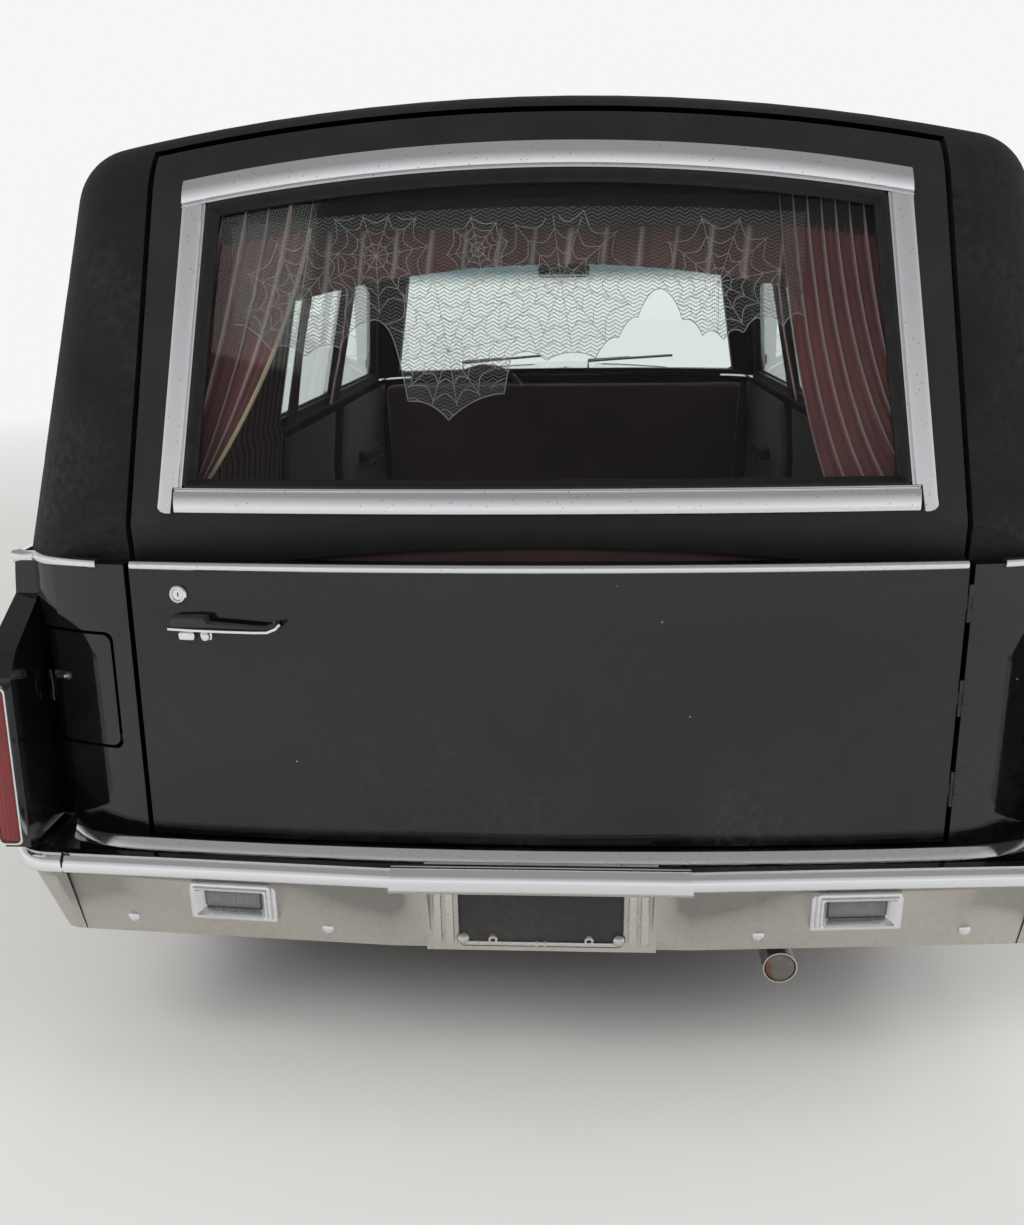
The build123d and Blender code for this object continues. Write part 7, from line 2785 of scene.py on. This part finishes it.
@dataclass
class Underside:
    """Small parts under the car: straps, seams, clamps and the engine's fittings."""

    def build(self) -> None:
        """Makes the tank's straps and seam, the engine's fittings and the axle's fittings."""
        self.tank()
        self.engine()
        self.axle()

    def tank(self) -> None:
        """Straps and a pressed seam round the fuel tank."""
        seam = Shape()
        loop = divided(
            rounded_path([(-0.382, -2.9717), (0.182, -2.9717), (0.182, -2.328), (-0.382, -2.328)], 0.042),
            0.1, closed=True,
        )
        seam.sweep([(p.x, p.y, 0.372) for p in loop], [(0, 0, 1)] * len(loop), [
            (-0.010, -0.0025), (-0.010, 0.0025), (0.002, 0.0025), (0.002, -0.0025),
        ], closed=True)
        for x in (-0.25, 0.05):
            line = divided(
                [(x, -2.9735, 0.438), (x, -2.9735, 0.2975), (x, -2.3265, 0.2975), (x, -2.3265, 0.438)], 0.1,
            )
            outs = []
            for p in line:
                under = p.z <= 0.299 or -2.97 <= p.y <= -2.33
                outs.append(Vector((0, 0, -1)) if under else Vector((0, math.copysign(1, p.y + 2.65), 0)))
            seam.sweep(line, outs, mirrored([(-0.018, -0.001), (-0.018, 0.0016)]))
        seam.finish("tank_straps", Finish.DULL_STEEL)

    def engine(self) -> None:
        """An air cleaner, covers, a fan and a battery on the plain block."""
        made = Shape()
        for x in (-0.185, 0.185):
            made.stack(Place.facing((x, 1.92, 0.900), (x * 0.6, 0, 1), (0, 1, 0)), [
                (0.075, 0.270, 0.020, -0.004), (0.075, 0.270, 0.020, 0.026), (0.066, 0.260, 0.018, 0.036),
            ])
        made.finish("engine_covers", Finish.ENGINE)
        air = Shape().turned(Place.facing((0, 1.86, 0.895), (0, 0, 1), (0, 1, 0)), [
            (0.150, 0.0), (0.172, 0.006), (0.176, 0.020), (0.176, 0.046), (0.168, 0.054), (0.060, 0.058),
            (0.020, 0.062), (0.0, 0.063),
        ], 56)
        air.finish("air_cleaner", Finish.PLASTIC)
        blade = Shape()
        blade.grid([
            [(0.035, 0.012, z), (0.035, -0.014, z), (-0.035, -0.020, z), (-0.035, 0.006, z)]
            for z in (0.040, 0.110, 0.185)
        ], wrap=True, caps=True)
        ring = Repeat().row(blade, Finish.DULL_STEEL, 6, (0, 2.70, 0.640), turn=(0, math.tau / 6, 0))
        Repeat().piece("radiator_fan", Body.MAIN, Finish.DULL_STEEL, [ring])
        hub = Shape().tube([(0, 2.26, 0.64), (0, 2.62, 0.64), (0, 2.715, 0.64)], 0.042, 20)
        hub.finish("fan_hub", Finish.DULL_STEEL)
        fins = Shape().block(Place.facing((0, 0, 0), (0, -1, 0)), 0.384, 0.0016, 0.0, 0.0035, 0.0006)
        row = Repeat().row(fins, Finish.CHASSIS, 40, (0, 2.7795, 0.448), (0, 0, 0.0102))
        Repeat().piece("radiator_fins", Body.MAIN, Finish.CHASSIS, [row])
        box = Shape().block(
            Place.facing((0.470, 2.55, 0.640), (0, 0, 1), (0, 1, 0)), 0.085, 0.130, 0.0, 0.185, 0.006,
        )
        box.finish("battery", Finish.PLASTIC)
        tray = Shape().block(
            Place.facing((0.440, 2.55, 0.632), (0, 0, 1), (0, 1, 0)), 0.120, 0.140, 0.0, 0.008, 0.002,
        )
        tray.block(Place.facing((0.375, 2.55, 0.425), (0, 0, 1), (0, 1, 0)), 0.010, 0.080, 0.0, 0.210, 0.002)
        tray.finish("battery_tray", Finish.CHASSIS)

    def axle(self) -> None:
        """The differential's cover, with its bolts, and the springs' clamps."""
        spot = Place.facing((0, -1.880, 0.365), (0, -1, 0))
        cover = Shape().turned(spot, [
            (0.0, 0.052), (0.050, 0.048), (0.086, 0.030), (0.104, 0.006), (0.118, 0.004), (0.118, -0.006),
        ], 40)
        cover.finish("axle_cover", Finish.CHASSIS)
        bolt = Shape()
        bolt.stack(Place.facing((0, 0, 0.110), (0, -1, 0)), [
            (0.0075, 0.0075, 0.0022, 0.0), (0.0075, 0.0075, 0.0022, 0.0065), (0.0060, 0.0060, 0.0020, 0.0078),
        ], steps=2)
        ring = Repeat().row(bolt, Finish.DULL_STEEL, 10, (0, -1.8838, 0.365), turn=(0, math.tau / 10, 0))
        Repeat().piece("axle_cover_bolts", Body.MAIN, Finish.DULL_STEEL, [ring])
        clamps = Shape()
        for y in (REAR_AXLE - 0.055, REAR_AXLE + 0.055):
            clamps.tube([
                (0.500, y, 0.286), (0.500, y, 0.395), (0.508, y, 0.412), (0.572, y, 0.412), (0.580, y, 0.395),
                (0.580, y, 0.286),
            ], 0.007, 8)
        clamps.block(
            Place.facing((0.540, REAR_AXLE, 0.284), (0, 0, -1), (0, 1, 0)), 0.055, 0.080, 0.0, 0.008, 0.002,
        )
        clamps.both_sides().finish("spring_clamps", Finish.DULL_STEEL)


@dataclass
class Studio:
    """Floor, light and camera."""

    focal_px: float = 1154.8
    centre_px: tuple[float, float] = (512.0, 694.2)
    image_px: tuple[int, int] = (1024, 1225)
    eye: Point = (0.06, -5.01, 1.501)
    pitch: float = 19.8
    yaw: float = 3.3
    roll: float = -0.8
    pale: float = 0.92
    fade: tuple[float, float] = (4.0, 11.0)

    def build(self) -> None:
        """Makes the floor, world, lamps and camera."""
        self.floor()
        self.world()
        for name, place, size, watts in (
            ("key", (-4.5, -7.5, 6.5), 5.0, 420.0),
            ("fill", (6.5, -3.0, 5.0), 6.0, 260.0),
            ("front", (1.0, 8.5, 6.0), 6.0, 330.0),
        ):
            lamp = bpy.data.lights.new(name, "AREA")
            lamp.energy, lamp.size = watts, size
            holder = bpy.data.objects.new(name, lamp)
            holder.location = place
            holder.rotation_euler = (Vector((0, 0, 0.8)) - Vector(place)).to_track_quat("-Z", "Y").to_euler()
            holder.visible_glossy = False
            bpy.context.collection.objects.link(holder)
        self.camera()

    def floor(self) -> None:
        """A wide pale floor that passes into the backdrop with distance."""
        mesh = bpy.data.meshes.new("studio_floor")
        half = 40.0
        mesh.from_pydata(
            [(-half, -half, 0), (half, -half, 0), (half, half, 0), (-half, half, 0)], [], [(0, 1, 2, 3)],
        )
        floor = bpy.data.objects.new("studio_floor", mesh)
        bpy.context.collection.objects.link(floor)
        made = Maker("pale_floor")
        tone = made.graph.blend(made.graph.noise(made.where, 0.7, 4.0), (0.8, 0.79, 0.77), (0.74, 0.73, 0.71))
        path = made.graph.node("LightPath").outputs
        seen = made.graph.math("MAXIMUM", path["Is Glossy Ray"], path["Is Transmission Ray"])
        seen = made.graph.math("MAXIMUM", path["Is Camera Ray"], seen)
        away = made.graph.node("VectorMath", {0: made.where}, operation="LENGTH").outputs["Value"]
        far = made.graph.math("MULTIPLY", made.graph.ramp(away, self.fade[0], self.fade[1], (0.0, 1.0)), seen)
        made.set(
            Base_Color=made.graph.blend(far, tone, (0.0, 0.0, 0.0)), Roughness=0.9, Specular_IOR_Level=0.0,
        )
        made.set(
            Emission_Color=(1.0, 1.0, 1.0), Emission_Strength=made.graph.math("MULTIPLY", far, self.pale),
        )
        mesh.materials.append(made.material)

    def world(self) -> None:
        """Soft light from all round, and a pale backdrop that metal sees fade towards the horizon."""
        world = bpy.data.worlds.new("soft_world")
        bpy.context.scene.world = world
        world.use_nodes = True
        graph = Graph(world.node_tree)
        path = graph.node("LightPath")
        height = graph.node("SeparateXYZ", {0: graph.node("TexCoord").outputs["Generated"]}).outputs["Z"]
        plain = graph.math("MAXIMUM", path.outputs["Is Camera Ray"], path.outputs["Is Transmission Ray"])
        strength = graph.ramp(plain, 0.0, 1.0, (0.5, self.pale))
        sheen = graph.ramp(height, 0.04, 0.55, (0.97, 0.34))
        glossy = path.outputs["Is Glossy Ray"]
        mixed = graph.math(
            "ADD", graph.math("MULTIPLY", strength, graph.math("SUBTRACT", 1.0, glossy)),
            graph.math("MULTIPLY", sheen, glossy),
        )
        backdrop = world.node_tree.nodes["Background"]
        backdrop.inputs["Color"].default_value = (1.0, 1.0, 1.0, 1.0)
        world.node_tree.links.new(mixed, backdrop.inputs["Strength"])

    def camera(self) -> None:
        """The photograph's viewpoint."""
        lens = bpy.data.cameras.new("photo_camera")
        width, height = self.image_px
        lens.sensor_width = 36.0
        lens.lens = self.focal_px / max(width, height) * lens.sensor_width
        lens.shift_x = (width / 2 - self.centre_px[0]) / max(width, height)
        lens.shift_y = (self.centre_px[1] - height / 2) / max(width, height)
        lens.clip_end = 200.0
        camera = bpy.data.objects.new("photo_camera", lens)
        turn = Matrix.Rotation(math.radians(self.yaw), 4, "Z") @ Matrix.Rotation(
            math.radians(90 - self.pitch), 4, "X",
        )
        camera.matrix_world = Matrix.Translation(self.eye) @ turn @ Matrix.Rotation(
            math.radians(self.roll), 4, "Z",
        )
        bpy.context.collection.objects.link(camera)
        bpy.context.scene.camera = camera


def main() -> None:
    """Builds the scene in order."""
    logging.basicConfig(level=logging.INFO, format="%(message)s")
    bpy.context.scene.view_settings.view_transform = "Standard"
    Studio().build()
    dress_nodes()
    for part in (
        TailTrim(), LowerTail(), RearBumper(), TailDrapes(), Cabin(), SideTrim(), NoseTrim(), Wheels(),
        Underside(),
    ):
        LOG.info("making %s", type(part).__name__)
        part.build()


if __name__ == "__main__":
    main()
